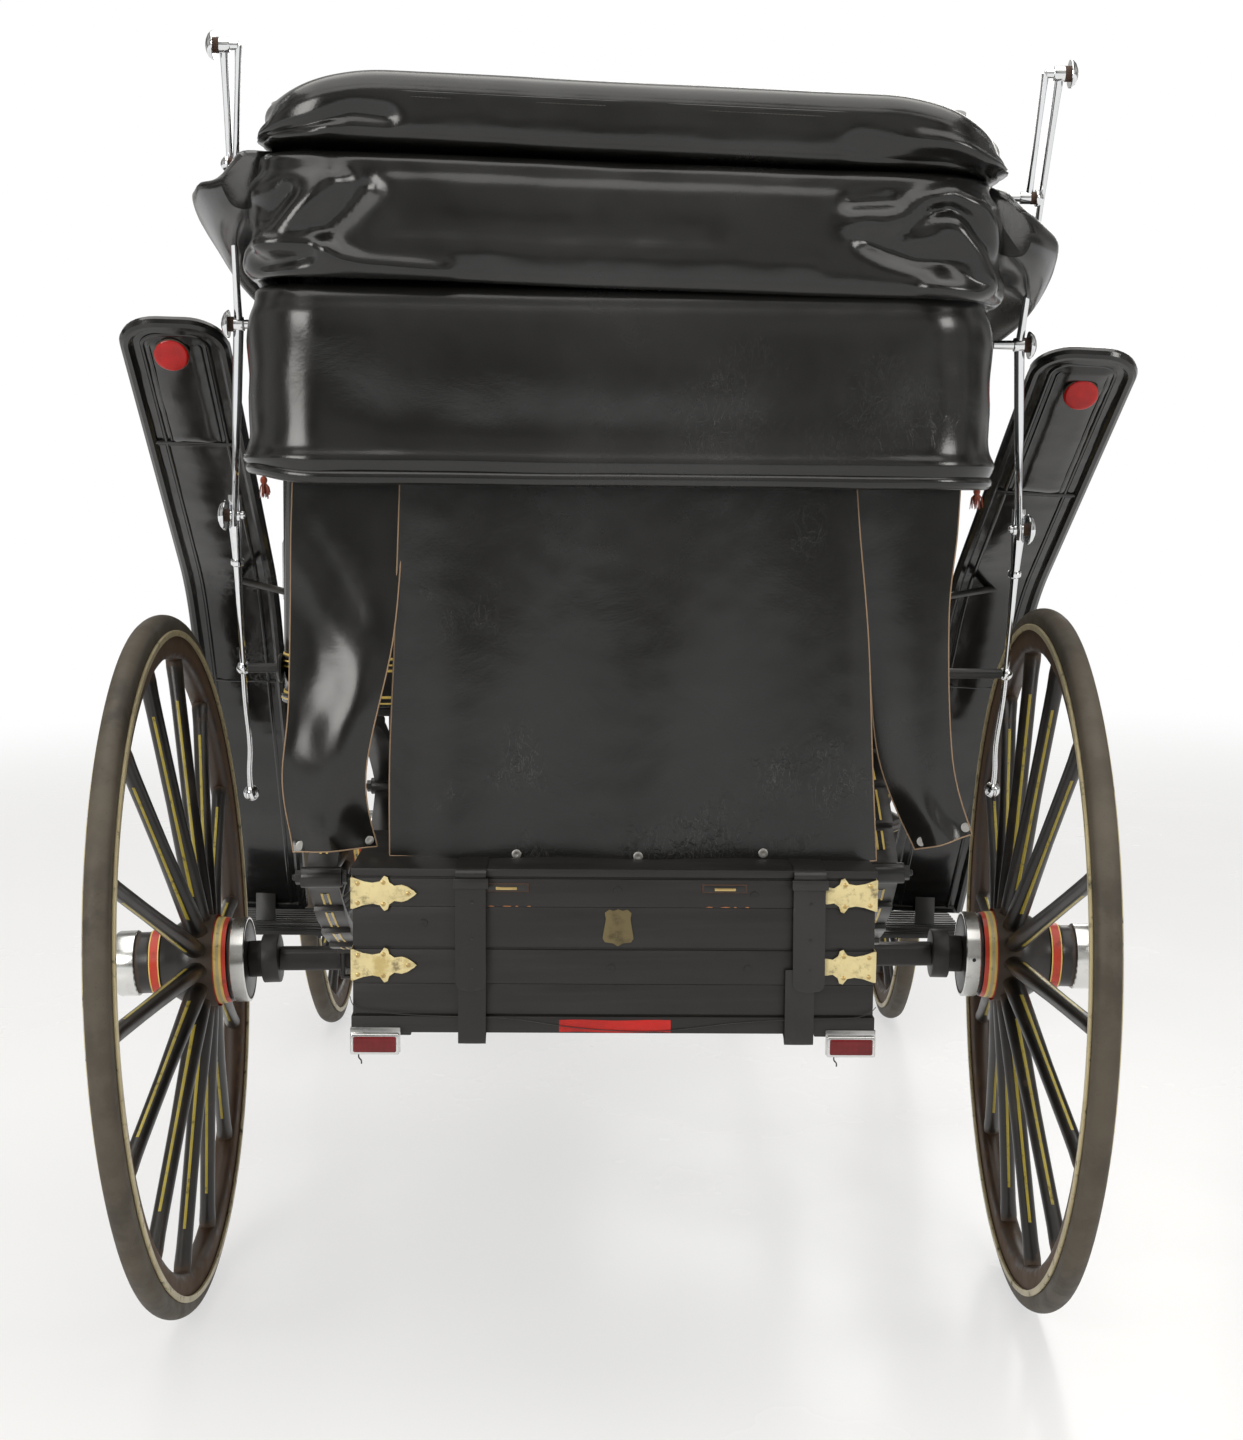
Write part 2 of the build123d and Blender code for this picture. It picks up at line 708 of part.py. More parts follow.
# Ribbed step plates on their irons, with the stays of the wings
stay_y = 250
stay_z = seat_bottom_z + 128
with BuildPart() as steps:
    for _, side in right_and_left:
        x_range = sorted((side * (step_x - step_width / 2), side * (step_x + step_width / 2)))
        y_range = (step_y - step_length / 2, step_y + step_length / 2)
        add_box(x_range, y_range, (step_top_z - step_thickness, step_top_z - 3))
        for rib in range(10):
            rib_y = y_range[0] + 12 + rib * (step_length - 24) / 9
            add_box(x_range, (rib_y - 5, rib_y + 5), (step_top_z - 3, step_top_z))
        for stem_y in (step_y - 70, step_y + 70):
            add_rod((side * (well_half_width - 30), stem_y, floor_bottom_z + 8),
                    (side * (step_x - step_width / 2 + 20), stem_y, step_top_z - step_thickness + 4), 11)
        foot_x = wing_places[side][0]
        foot_y = wing_foot_y - 24
        foot_rise = wing_bend_rise / (wing_foot_y - wing_bend_y)
        add_box(sorted((side * (foot_x - 20), side * (foot_x + 20))), (foot_y - 4, foot_y + 4),
                (step_top_z - 3, wing_foot_z + 24 * foot_rise))
        add_rod((side * (quarter_half_width - 6), stay_y, stay_z), stay_ends[side], 6)
    for name, _ in right_and_left:
        add(wings[name].part, mode=Mode.SUBTRACT)
    add(foot_well.part, mode=Mode.SUBTRACT)
    add(quarter_panel.part, mode=Mode.SUBTRACT)

# Trunk of planks with its lid line, base board and hardware
with BuildPart() as trunk:
    add_box((-trunk_half_width, trunk_half_width), (trunk_rear_y, trunk_front_y),
            (trunk_bottom_z, trunk_top_z))
    for groove_z in (trunk_top_z - lid_height, trunk_top_z - plank_depth, trunk_bottom_z + base_height):
        add_box((-trunk_half_width, trunk_half_width), (trunk_rear_y, trunk_rear_y + plank_groove),
                (groove_z - plank_groove / 2, groove_z + plank_groove / 2), mode=Mode.SUBTRACT)

# Places of the trunk's straps and latches across its back, as the owner fixed them
strap_places = ((-197, 42), (268, 48))
latch_places = (-149, 151)

with BuildPart() as trunk_straps:
    for strap_x, strap_width in strap_places:
        add_box((strap_x - strap_width / 2, strap_x + strap_width / 2),
                (trunk_rear_y - fitting_thickness, trunk_rear_y),
                (trunk_bottom_z - fitting_thickness, trunk_top_z + fitting_thickness))
        add_box((strap_x - strap_width / 2, strap_x + strap_width / 2), (trunk_rear_y, trunk_front_y),
                (trunk_top_z, trunk_top_z + fitting_thickness))
        add_box((strap_x - strap_width / 2, strap_x + strap_width / 2), (trunk_rear_y, trunk_rear_y + strap_tuck),
                (trunk_bottom_z - fitting_thickness, trunk_bottom_z))

# Lobes of the ornamental corner plates, as shares of their length and height
plate_lobes = ((0.42, 0.44), (0.62, 0.30), (0.92, 0.29), (1.18, 0.20), (1.36, 0.11))
plate_places = (
    trunk_top_z - lid_height - plate_height / 2,
    trunk_top_z - plank_depth - plate_height / 2 - 2,
)

with BuildPart() as trunk_fittings:
    for _, side in right_and_left:
        for plate_z in plate_places:
            with BuildSketch(Plane.XZ.offset(-trunk_rear_y)):
                with Locations((side * (trunk_half_width - plate_height / 4), plate_z)):
                    Rectangle(plate_height / 2, plate_height)
                for reach, lobe_radius in plate_lobes:
                    with Locations((side * (trunk_half_width - reach * plate_length), plate_z)):
                        Circle(lobe_radius * plate_height)
                with Locations((side * (trunk_half_width - 0.6 * plate_length), plate_z)):
                    Rectangle(1.2 * plate_length, 0.3 * plate_height)
            extrude(amount=fitting_thickness)
            add_box(sorted((side * trunk_half_width, side * (trunk_half_width + fitting_thickness))),
                    (trunk_rear_y - fitting_thickness, trunk_rear_y + plate_wrap),
                    (plate_z - plate_height / 2, plate_z + plate_height / 2))
    for latch_x in latch_places:
        add_box((latch_x - latch_width / 2, latch_x + latch_width / 2),
                (trunk_rear_y - fitting_thickness, trunk_rear_y),
                (trunk_top_z - 2 * lid_height - latch_height, trunk_top_z - 2 * lid_height))
    add(trunk_straps.part, mode=Mode.SUBTRACT)

with BuildPart() as tail_lamps:
    for _, side in right_and_left:
        tail_x = side * tail_lamp_x
        add_box((tail_x - tail_lamp_width / 2, tail_x + tail_lamp_width / 2),
                (trunk_rear_y - lamp_depth, trunk_rear_y),
                (trunk_bottom_z + fitting_thickness - tail_lamp_height, trunk_bottom_z + fitting_thickness))

# Folded hood: three tiers of leather over their bows, with an ear of leather at each side
hood_tiers = (
    # bottom z, top z, inset, edge radius
    (hood_hem_z, lower_tier_top_z, 0, tier_edge_radius),
    (lower_tier_top_z, middle_tier_top_z, hood_step, 2 * tier_edge_radius),
    (middle_tier_top_z, hood_top_z, 2 * hood_step, rim_edge_radius),
)
tiers = []
for bottom_z, top_z, inset, edge_radius in hood_tiers:
    with BuildPart() as tier:
        add_rear_rounded(hood_half_width - inset, (hood_rear_y + inset, hood_front_y), hood_corner_radius,
                         (bottom_z, top_z))
        rim = [edge for edge in tier.faces().sort_by(Axis.Z)[-1].edges() if edge.center().Y < hood_front_y - 1]
        fillet(rim, edge_radius)
    tiers.append(tier)

ear_places = {
    # side: out from the hood, middle z, half height
    1: (96, 1712, 58),
    -1: (72, 1764, 50),
}
ear_run = (-380, -320, -140)
with BuildPart() as hood_leather:
    for tier in tiers:
        add(tier.part)
    for _, side in right_and_left:
        ear_out, ear_z, ear_half = ear_places[side]
        sections = []
        for ear_y, share in zip(ear_run, (0.35, 1, 0.3)):
            with BuildSketch(Plane.XZ.offset(-ear_y)) as section:
                with Locations((side * (hood_half_width - hood_side_fold / 2), ear_z - (1 - share) * ear_half)):
                    Ellipse(hood_side_fold / 2 + share * ear_out, share * ear_half)
            sections.append(section.sketch)
        loft(sections)
    fold_x, fold_y = hood_half_width - hood_side_fold, hood_rear_y + hood_fold
    add_box((-fold_x, fold_x), (fold_y, hood_front_y + 1), (hood_hem_z + shelf_height, hood_top_z + 1),
            mode=Mode.SUBTRACT)
    add_box((-fold_x, fold_x), (quarter_rear_y + wall, hood_front_y + 1), (hood_hem_z - 1, hood_top_z + 1),
            mode=Mode.SUBTRACT)
    fan = [
        (fan_rear_y, hood_top_z + 1),
        (fan_rear_y, hood_top_z),
        (hood_front_y + 1, hood_hem_z + fan_front_height),
        (hood_front_y + 1, hood_top_z + 1),
    ]
    add_side_plate(fan, -2 * hood_half_width, 4 * hood_half_width, mode=Mode.SUBTRACT)
    roll_x, roll_y = hood_half_width - 1, hood_rear_y + 1
    with BuildLine(Plane.XY.offset(hood_hem_z - hood_roll_radius + 1)) as hem:
        FilletPolyline((roll_x, hood_front_y), (roll_x, roll_y), (-roll_x, roll_y), (-roll_x, hood_front_y),
                       radius=hood_corner_radius)
    with BuildSketch(Plane(origin=hem.line @ 0, z_dir=hem.line % 0)) as roll:
        Circle(hood_roll_radius)
    sweep(roll.sketch, path=hem.line)

# Bright irons of the hood on each side: y of each pivot, then (x, z) on the right and on the left
iron_pivots = {
    "top": (-480, (607, 1932), (544, 1954)),
    "prop": (-440, (573, 1768), (531, 1800)),
    "middle": (-340, (590, 1569), (548, 1586)),
    "knuckle": (-300, (605, 1299), (562, 1309)),
    "bracket": (-222, (608, 1075), (563, 1075)),
    "end": (-156, (605, 885), (562, 872)),
}
flare_share = (0.25, 0.8)
flare_width = 34
flare_lap = 0.6


def build_hood_irons(side):
    """Prop irons of one side with their pivots, flared at the knuckle and with a ball at the lower end."""
    def at(pivot, out=0):
        y, *sides = iron_pivots[pivot]
        x, z = sides[0 if side > 0 else 1]
        return (side * (x + out), y, z)

    with BuildPart() as irons:
        add_rod(at("top"), at("middle"), iron_radius)
        add_rod(at("middle"), at("knuckle"), iron_radius)
        add_rod(at("knuckle"), at("end"), prop_radius)
        add_rod(at("top", -2 * iron_radius), at("prop"), prop_radius)
        add_rod(at("top", -3 * iron_radius), at("top", iron_disc_length + iron_radius), pivot_radius)
        add_rod(at("prop", -6 * iron_radius), at("prop", iron_radius), pivot_radius)
        add_rod(at("middle", -9 * iron_radius), at("middle", 2 * iron_radius), pivot_radius)
        add_rod(at("knuckle", -iron_radius), at("knuckle", 2 * iron_radius), pivot_radius)
        add_rod(at("bracket", -16 * iron_radius), at("bracket", iron_radius), pivot_radius)
        for pivot in ("top", "knuckle"):
            add_rod(at(pivot, iron_radius + iron_disc_length), at(pivot, iron_radius + 2 * iron_disc_length),
                    iron_disc_radius)
        with Locations(at("end")):
            Sphere(iron_ball_radius)
        high, low = Vector(*at("middle")), Vector(*at("knuckle"))
        widest = high + (low - high) * flare_share[1]
        with BuildSketch(Plane(origin=high + (low - high) * flare_share[0], z_dir=low - high)) as neck:
            Circle(iron_radius + flare_lap)
        with BuildSketch(Plane(origin=widest, z_dir=low - high)) as flare:
            Ellipse(iron_radius + 2 * flare_lap, flare_width / 2)
        with BuildSketch(Plane(origin=low, z_dir=low - high)) as foot:
            Ellipse(iron_radius + 3 * flare_lap, flare_width / 2.4)
        loft([neck.sketch, flare.sketch, foot.sketch])
        add(hood_leather.part, mode=Mode.SUBTRACT)
        add(quarter_panel.part, mode=Mode.SUBTRACT)
        inner_half = quarter_half_width - wall
        add_box((-inner_half, inner_half), (hood_rear_y, quarter_front_y), (seat_bottom_z, hood_top_z),
                mode=Mode.SUBTRACT)
    return irons


hood_irons = {name: build_hood_irons(side) for name, side in right_and_left}

# Back curtains that hang unfastened from the hood's hem: node, left x, right x
curtain_places = (("curtain_centre", -312, 352), ("curtain_left", -456, -322), ("curtain_right", 362, 484))
curtains = {}
for node, left_x, right_x in curtain_places:
    with BuildPart() as curtain:
        add_box((left_x, right_x), (curtain_y - curtain_thickness / 2, curtain_y + curtain_thickness / 2),
                (curtain_bottom_z, hood_hem_z))
    curtains[node] = curtain

# Side lamps on brackets beside the driver's seat, eight-sided, with chimney and candle tube
with BuildPart() as side_lamps:
    for _, side in right_and_left:
        lamp_x = side * side_lamp_x
        lamp_y = boot_rear_y + side_lamp_ahead
        low_z, high_z = side_lamp_z, side_lamp_z + side_lamp_height
        levels = (
            # height, half width of the eight-sided section
            (low_z - side_lamp_half, side_lamp_half / 3),
            (low_z, side_lamp_half),
            (high_z, side_lamp_half),
            (high_z + side_lamp_half, side_lamp_half / 2.5),
        )
        rings = []
        for ring_z, half in levels:
            with BuildSketch(Plane.XY.offset(ring_z)) as ring:
                with Locations((lamp_x, lamp_y)):
                    RegularPolygon(half, 8, major_radius=False, rotation=22.5)
            rings.append(ring.sketch)
        for lower, upper in zip(rings, rings[1:]):
            loft([lower, upper])
        chimney_z = high_z + side_lamp_half
        add_rod((lamp_x, lamp_y, chimney_z), (lamp_x, lamp_y, chimney_z + side_lamp_half / 2), side_lamp_half / 3)
        add_rod((lamp_x, lamp_y, chimney_z + side_lamp_half / 2), (lamp_x, lamp_y, chimney_z + side_lamp_half / 1.5),
                side_lamp_half / 2)
        tube_z = low_z - side_lamp_half
        add_rod((lamp_x, lamp_y, tube_z), (lamp_x, lamp_y, tube_z - side_lamp_tube), side_lamp_half / 4)
        with Locations((lamp_x, lamp_y, tube_z - side_lamp_tube)):
            Sphere(side_lamp_half / 3)
        bracket_z = tube_z - side_lamp_tube / 2
        add_rod((side * well_half_width, lamp_y, bracket_z), (lamp_x, lamp_y, bracket_z), side_lamp_half / 5)

# The body and all it carries are set together
body_pivot = Location((0, skew_pivot_y, lean_pivot_z))
body_turn = Location((0, 0, 0), (0, 0, body_skew)) * Location((0, 0, 0), (0, body_lean, 0))
body_set = body_pivot * body_turn * body_pivot.inverse()
body_pieces = {
    "quarter_panel": quarter_panel,
    "seat_frame": seat_frame,
    "foot_well": foot_well,
    "boot": boot,
    "body_irons": body_irons,
    "seat_cushion": seat_cushion,
    "back_cushion": back_cushion,
    "driver_seat": driver_seat,
    "driver_cushion": driver_cushion,
    "footboard": footboard,
    "wing_right": wings["right"],
    "wing_left": wings["left"],
    "steps": steps,
    "trunk": trunk,
    "trunk_straps": trunk_straps,
    "trunk_fittings": trunk_fittings,
    "tail_lamps": tail_lamps,
    "hood_leather": hood_leather,
    "hood_irons_right": hood_irons["right"],
    "hood_irons_left": hood_irons["left"],
    "side_lamps": side_lamps,
    **curtains,
}
for piece in body_pieces.values():
    piece.part.move(body_set)

# Rear springs, whose upper clip blocks take up the lean
rear_springs = {}
for name, side in right_and_left:
    with BuildPart() as spring:
        clip_x, clip_y, clip_z = add_full_spring(side * rear_spring_x, 0, rear_seat_z, rear_eye_z,
                                                 spring_half_length, spring_leaf_count)
        iron_z = seat_bottom_z - iron_thickness / 2 - side * rear_spring_x * sin(radians(body_lean))
        add_box(clip_x, clip_y, (clip_z, iron_z))
        add(body_irons.part, mode=Mode.SUBTRACT)
    rear_springs[name] = spring

# Block between the boot and the upper wheel plate of the turntable
with BuildPart() as turntable_upper:
    with BuildSketch(Plane.XY.offset(turntable_z + bearing_gap)):
        with Locations((0, wheelbase)):
            Circle(turntable_radius)
            Circle(turntable_radius - turntable_width, mode=Mode.SUBTRACT)
            Rectangle(2 * turntable_radius - turntable_width, 70)
    extrude(amount=turntable_thickness)
    add_box((-230, 230), (wheelbase - 35, wheelbase + 35),
            (turntable_z + turntable_thickness, boot_bottom_z + 20))
    add_rod((0, wheelbase, turntable_z - 1), (0, wheelbase, turntable_z + 95),
            kingpin_radius + bearing_gap, mode=Mode.SUBTRACT)
    add(boot.part, mode=Mode.SUBTRACT)

# Shafts, laid down with their tips on the ground: (y, z) along one shaft from its heel
shaft_shape = ((0, 0), (350, 40), (800, 300), (1300, 460), (shaft_length, shaft_tip_z))
shaft_bend_radius = 700
splay = asin((shaft_heel_x - shaft_tip_x) / shaft_length)
tip_y, tip_z = shaft_length * cos(splay), shaft_shape[-1][1]
tip_reach = sqrt(tip_y**2 + tip_z**2)
shaft_drop = degrees(asin((coupling_z - shaft_radius) / tip_reach) + asin(tip_z / tip_reach))
shaft_front_y = (wheelbase + coupling_y + tip_y * cos(radians(shaft_drop))
                 + tip_z * sin(radians(shaft_drop)) + shaft_radius)


def shaft_frame(x, turn=0):
    """Plane that follows the laid-down shafts, hinged at the front axle's lugs."""
    lay = Location((x, wheelbase + coupling_y, coupling_z), (-shaft_drop, 0, 0))
    return Plane(lay * Location((0, 0, 0), (0, 0, turn)))


with BuildPart() as shafts:
    bar_ends = []
    for _, side in right_and_left:
        frame = shaft_frame(side * shaft_heel_x, side * degrees(splay))
        side_view = Plane(origin=frame.origin, x_dir=frame.y_dir, z_dir=frame.x_dir)
        with BuildLine(side_view) as route:
            FilletPolyline(*shaft_shape, radius=shaft_bend_radius)
        with BuildSketch(Plane(origin=route.line @ 0, z_dir=route.line % 0)):
            Circle(shaft_radius)
        sweep(path=route.line)
        with Locations(route.line @ 1):
            Sphere(shaft_radius)
        heel = (side * shaft_heel_x, wheelbase + coupling_y, coupling_z)
        add_rod((heel[0] - heel_length / 2, *heel[1:]), (heel[0] + heel_length / 2, *heel[1:]), heel_radius)
        bar_ends.append(tuple(frame.from_local_coords((0, crossbar_y, crossbar_z))))
    add_rod(bar_ends[0], bar_ends[1], 18)
    middle = shaft_frame(0)
    block = Plane(origin=middle.from_local_coords((0, crossbar_y, crossbar_z)),
                  x_dir=middle.x_dir, z_dir=middle.z_dir)
    with BuildSketch(block):
        Rectangle(60, 30)
    extrude(amount=24)
    for _, side in right_and_left:
        heel = (side * shaft_heel_x, wheelbase + coupling_y, coupling_z)
        add_rod((heel[0] - heel_length, *heel[1:]), (heel[0] + heel_length, *heel[1:]),
                pin_radius + bearing_gap, mode=Mode.SUBTRACT)

with BuildPart() as whippletree:
    seat = Plane(origin=middle.from_local_coords((0, crossbar_y, crossbar_z + 24)),
                 x_dir=middle.x_dir, z_dir=middle.z_dir)
    with BuildSketch(seat):
        SlotOverall(640, 44)
        with Locations((-300, 0), (300, 0)):
            Circle(trace_hole_radius, mode=Mode.SUBTRACT)
    extrude(amount=24)

# Wheels set on their axles
wheels = {}
for end, axle_y, radius, wheel, tyre in (
    ("rear", 0, rear_wheel_radius, rear_wheel, rear_tyre),
    ("front", wheelbase, front_wheel_radius, front_wheel, front_tyre),
):
    for name, side in right_and_left:
        place = wheel_place(side, axle_y, radius)
        for kind, shape in (("wheel", wheel), ("tyre", tyre), ("hub_bands", hub_bands)):
            with BuildPart() as placed:
                add(shape.part.moved(place))
            wheels[f"{kind}_{end}_{name}"] = placed

gear_pieces = {
    "rear_axle": rear_axle,
    "rear_spring_right": rear_springs["right"],
    "rear_spring_left": rear_springs["left"],
    "turntable_upper": turntable_upper,
    "turntable_lower": turntable_lower,
    "turning_bed": turning_bed,
    "front_springs": front_springs,
    "front_axle": front_axle,
    "shafts": shafts,
    "whippletree": whippletree,
}

# The origin is on the ground, midway between the tail lamps and the tips of the shafts
middle_y = (shaft_front_y + trunk_rear_y - lamp_depth) / 2
to_origin = Location((0, -middle_y, 0))
for node, piece in {**body_pieces, **gear_pieces, **wheels}.items():
    piece.part.move(to_origin)
    piece.part.label = node
    export_step(piece.part, f"parts/{node}.step")
print("drawing frame to origin along y", round(-middle_y, 3), "shaft drop", round(shaft_drop, 3))
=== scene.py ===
"""Dressed model of an open carriage with its hood laid back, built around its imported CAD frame.

Pieces are drawn in metres from the rear axle's middle: X to the right, Y forward, Z up from the ground.
settle() then leans what stands on the springs and moves it all to the frame's own origin.
"""
import json
import math
import random

import bpy
from mathutils import Matrix, Vector, noise

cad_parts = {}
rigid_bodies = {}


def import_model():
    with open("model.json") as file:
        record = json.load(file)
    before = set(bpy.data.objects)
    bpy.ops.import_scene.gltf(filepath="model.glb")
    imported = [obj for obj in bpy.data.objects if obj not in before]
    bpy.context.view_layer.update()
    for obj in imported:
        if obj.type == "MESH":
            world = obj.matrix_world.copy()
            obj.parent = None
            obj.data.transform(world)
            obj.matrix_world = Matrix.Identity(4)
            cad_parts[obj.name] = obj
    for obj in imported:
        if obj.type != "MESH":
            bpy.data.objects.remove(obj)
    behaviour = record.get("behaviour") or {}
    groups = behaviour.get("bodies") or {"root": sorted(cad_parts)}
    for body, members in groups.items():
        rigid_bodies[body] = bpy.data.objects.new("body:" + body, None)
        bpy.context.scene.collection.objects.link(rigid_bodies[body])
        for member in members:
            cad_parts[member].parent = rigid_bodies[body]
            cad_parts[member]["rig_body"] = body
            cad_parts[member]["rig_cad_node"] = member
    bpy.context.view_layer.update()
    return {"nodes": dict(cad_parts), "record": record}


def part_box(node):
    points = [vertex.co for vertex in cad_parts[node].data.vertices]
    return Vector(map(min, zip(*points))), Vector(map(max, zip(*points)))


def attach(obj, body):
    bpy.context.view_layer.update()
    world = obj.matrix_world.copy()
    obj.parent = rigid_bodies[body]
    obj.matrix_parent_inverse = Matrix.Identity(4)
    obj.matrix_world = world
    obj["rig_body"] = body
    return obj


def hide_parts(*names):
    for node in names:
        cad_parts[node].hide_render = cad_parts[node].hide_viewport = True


bl_info = {
    "name": "Open carriage with folding hood",
    "version": (1, 0, 0),
    "blender": (4, 5, 0),
    "location": "3D View > Sidebar > Carriage",
    "description": "Builds the looks of an open carriage around its packed frame",
    "category": "Object",
}

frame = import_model()
nodes = frame["nodes"]

axle_low, axle_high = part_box("rear_axle")
AXLE_Y = (axle_low.y + axle_high.y) / 2
SIDES = (("right", 1), ("left", -1))

# Set of the body on its springs
LEAN = math.radians(1.0)
LEAN_PIVOT_Z = 0.8
SKEW = math.radians(1.2)
SKEW_PIVOT_Y = 0.24

# Wheels
TRACK = 1.42
WHEELBASE = 1.907
CAMBER = math.radians(1.66)
CROWN = 0.024
RIM_STEPS = 120
WHEELS = (
    # end, axle y, radius, spokes
    ("rear", 0.0, 0.5755, 14),
    ("front", WHEELBASE, 0.457, 12),
)


def at_origin(leaning):
    """Matrix from the drawing's place to the frame's, with the body's lean if the piece is on the springs."""
    shift = Matrix.Translation((0, AXLE_Y, 0))
    if not leaning:
        return shift
    pivot = Matrix.Translation((0, SKEW_PIVOT_Y, LEAN_PIVOT_Z))
    turn = Matrix.Rotation(SKEW, 4, "Z") @ Matrix.Rotation(LEAN, 4, "Y")
    return shift @ pivot @ turn @ pivot.inverted()


def wheel_place(side, axle_y, radius):
    """Matrix of one wheel's own frame, x outward along its cambered axle."""
    centre_z = (radius - CROWN) * math.cos(CAMBER) + CROWN
    place = Matrix.Translation((side * TRACK / 2, axle_y, centre_z)) @ Matrix.Rotation(side * CAMBER, 4, "Y")
    if side < 0:
        place = place @ Matrix.Rotation(math.pi, 4, "Z")
    return place


class Wire:
    """A socket that sums, products and other maths can be written on."""

    def __init__(self, finish, socket):
        self.finish = finish
        self.socket = socket

    def math(self, operation, *others, flip=False):
        values = [self, *others]
        if flip:
            values.reverse()
        node = self.finish.node("ShaderNodeMath", {"operation": operation}, dict(enumerate(values)))
        return Wire(self.finish, node.outputs[0])

    def __add__(self, other):
        return self.math("ADD", other)

    def __sub__(self, other):
        return self.math("SUBTRACT", other)

    def __mul__(self, other):
        return self.math("MULTIPLY", other)

    def __rsub__(self, other):
        return self.math("SUBTRACT", other, flip=True)

    def __abs__(self):
        return self.math("ABSOLUTE")

    __radd__ = __add__
    __rmul__ = __mul__

    def ramp(self, low, high, start=0.0, end=1.0):
        """Smooth step of the value from low to high, given out from start to end."""
        node = self.finish.node(
            "ShaderNodeMapRange",
            {"interpolation_type": "SMOOTHSTEP"},
            {"Value": self, "From Min": low, "From Max": high, "To Min": start, "To Max": end},
        )
        return Wire(self.finish, node.outputs[0])


class Nodes:
    """Adds nodes to one tree and gives their sockets values or links."""

    def __init__(self, tree):
        self.tree = tree

    def put(self, socket, value):
        if isinstance(value, Wire):
            self.tree.links.new(value.socket, socket)
        elif isinstance(value, bpy.types.NodeSocket):
            self.tree.links.new(value, socket)
        elif socket.type == "RGBA" and len(value) == 3:
            socket.default_value = (*value, 1)
        else:
            socket.default_value = value

    def node(self, kind, settings=None, inputs=None):
        """Adds one node, with its settings first and then the values or links of its sockets."""
        node = self.tree.nodes.new(kind)
        for key, value in (settings or {}).items():
            setattr(node, key, value)
        for key, value in (inputs or {}).items():
            self.put(node.inputs[key], value)
        return node


class Finish(Nodes):
    """One procedural material on object coordinates."""

    def __init__(self, name, **constants):
        self.material = bpy.data.materials.new(name)
        self.material.use_nodes = True
        super().__init__(self.material.node_tree)
        self.shader = self.tree.nodes["Principled BSDF"]
        self.coordinates = self.node("ShaderNodeTexCoord").outputs["Object"]
        self.set(**constants)

    def set(self, **links):
        """Gives the shader's inputs their values or links, and returns the material."""
        for socket, value in links.items():
            self.put(self.shader.inputs[socket.replace("_", " ")], value)
        return self.material

    def scaled(self, scale):
        """Object coordinates, scaled for one pattern."""
        return self.node("ShaderNodeMapping", {}, {"Vector": self.coordinates, "Scale": scale}).outputs[0]

    def axis(self, letter):
        split = self.node("ShaderNodeSeparateXYZ", {}, {0: self.coordinates})
        return Wire(self, split.outputs["XYZ".index(letter)])

    def noise(self, scale, detail=4.0, rough=0.55, stretch=(1, 1, 1), distort=0.0):
        """Cloudy noise."""
        inputs = {"Vector": self.scaled(stretch), "Scale": scale, "Detail": detail, "Roughness": rough,
                  "Distortion": distort}
        return Wire(self, self.node("ShaderNodeTexNoise", {}, inputs).outputs[0])

    def cells(self, scale):
        """Distance to the nearest of scattered points."""
        node = self.node("ShaderNodeTexVoronoi", {}, {"Vector": self.scaled((1, 1, 1)), "Scale": scale})
        return Wire(self, node.outputs["Distance"])

    def bands(self, scale, along, distort, stretch=(1, 1, 1)):
        """Wavy bands across one axis."""
        inputs = {"Vector": self.scaled(stretch), "Scale": scale, "Distortion": distort, "Detail": 3.0}
        return Wire(self, self.node("ShaderNodeTexWave", {"bands_direction": along}, inputs).outputs["Fac"])

    def mix(self, share, first, second):
        """Colour a share of the way from the first to the second."""
        inputs = {"Factor": share, 6: first, 7: second}
        return self.node("ShaderNodeMix", {"data_type": "RGBA"}, inputs).outputs[2]

    def wear(self, amount):
        """Where edges stand out, from the mesh's own pointiness, broken up by noise."""
        geometry = self.node("ShaderNodeNewGeometry")
        edge = Wire(self, geometry.outputs["Pointiness"])
        return (edge + self.noise(38, 3) * 0.05).ramp(0.535, 0.60) * amount

    def bump(self, height, strength, distance, under=None):
        """Raises the surface by a height, over an earlier bump where there is one."""
        inputs = {"Height": height, "Strength": strength, "Distance": distance}
        if under is not None:
            inputs["Normal"] = under
        node = self.node("ShaderNodeBump", {}, inputs)
        self.put(self.shader.inputs["Normal"], node.outputs[0])
        return node.outputs[0]


def dusted(finish, base, dust, low, high, scale, share):
    """Base colour with settled dust that gathers in cloudy patches."""
    patch = finish.noise(scale, 6, 0.6).ramp(low, high) * share
    return finish.mix(patch, base, dust), patch


def gloss_paint(name, colour):
    """Coach enamel: deep, polished, with fine wiping marks and a little dust."""
    paint = Finish(name, Specular_IOR_Level=0.5, Coat_Roughness=0.06)
    shade, patch = dusted(paint, colour, (0.09, 0.085, 0.075), 0.45, 0.8, 6.0, 0.16)
    smear = paint.noise(3.2, 5, 0.65, (1, 1, 2.5))
    marks = paint.noise(160, 2, 0.5, (1, 1, 0.06))
    rough = 0.16 + smear.ramp(0.35, 0.75) * 0.14 + patch * 0.5
    paint.bump(marks * 0.15 + paint.noise(9, 2) * 0.5, 0.10, 0.0006)
    return paint.set(Base_Color=shade, Roughness=rough, Coat_Weight=0.35 + smear * 0.25)


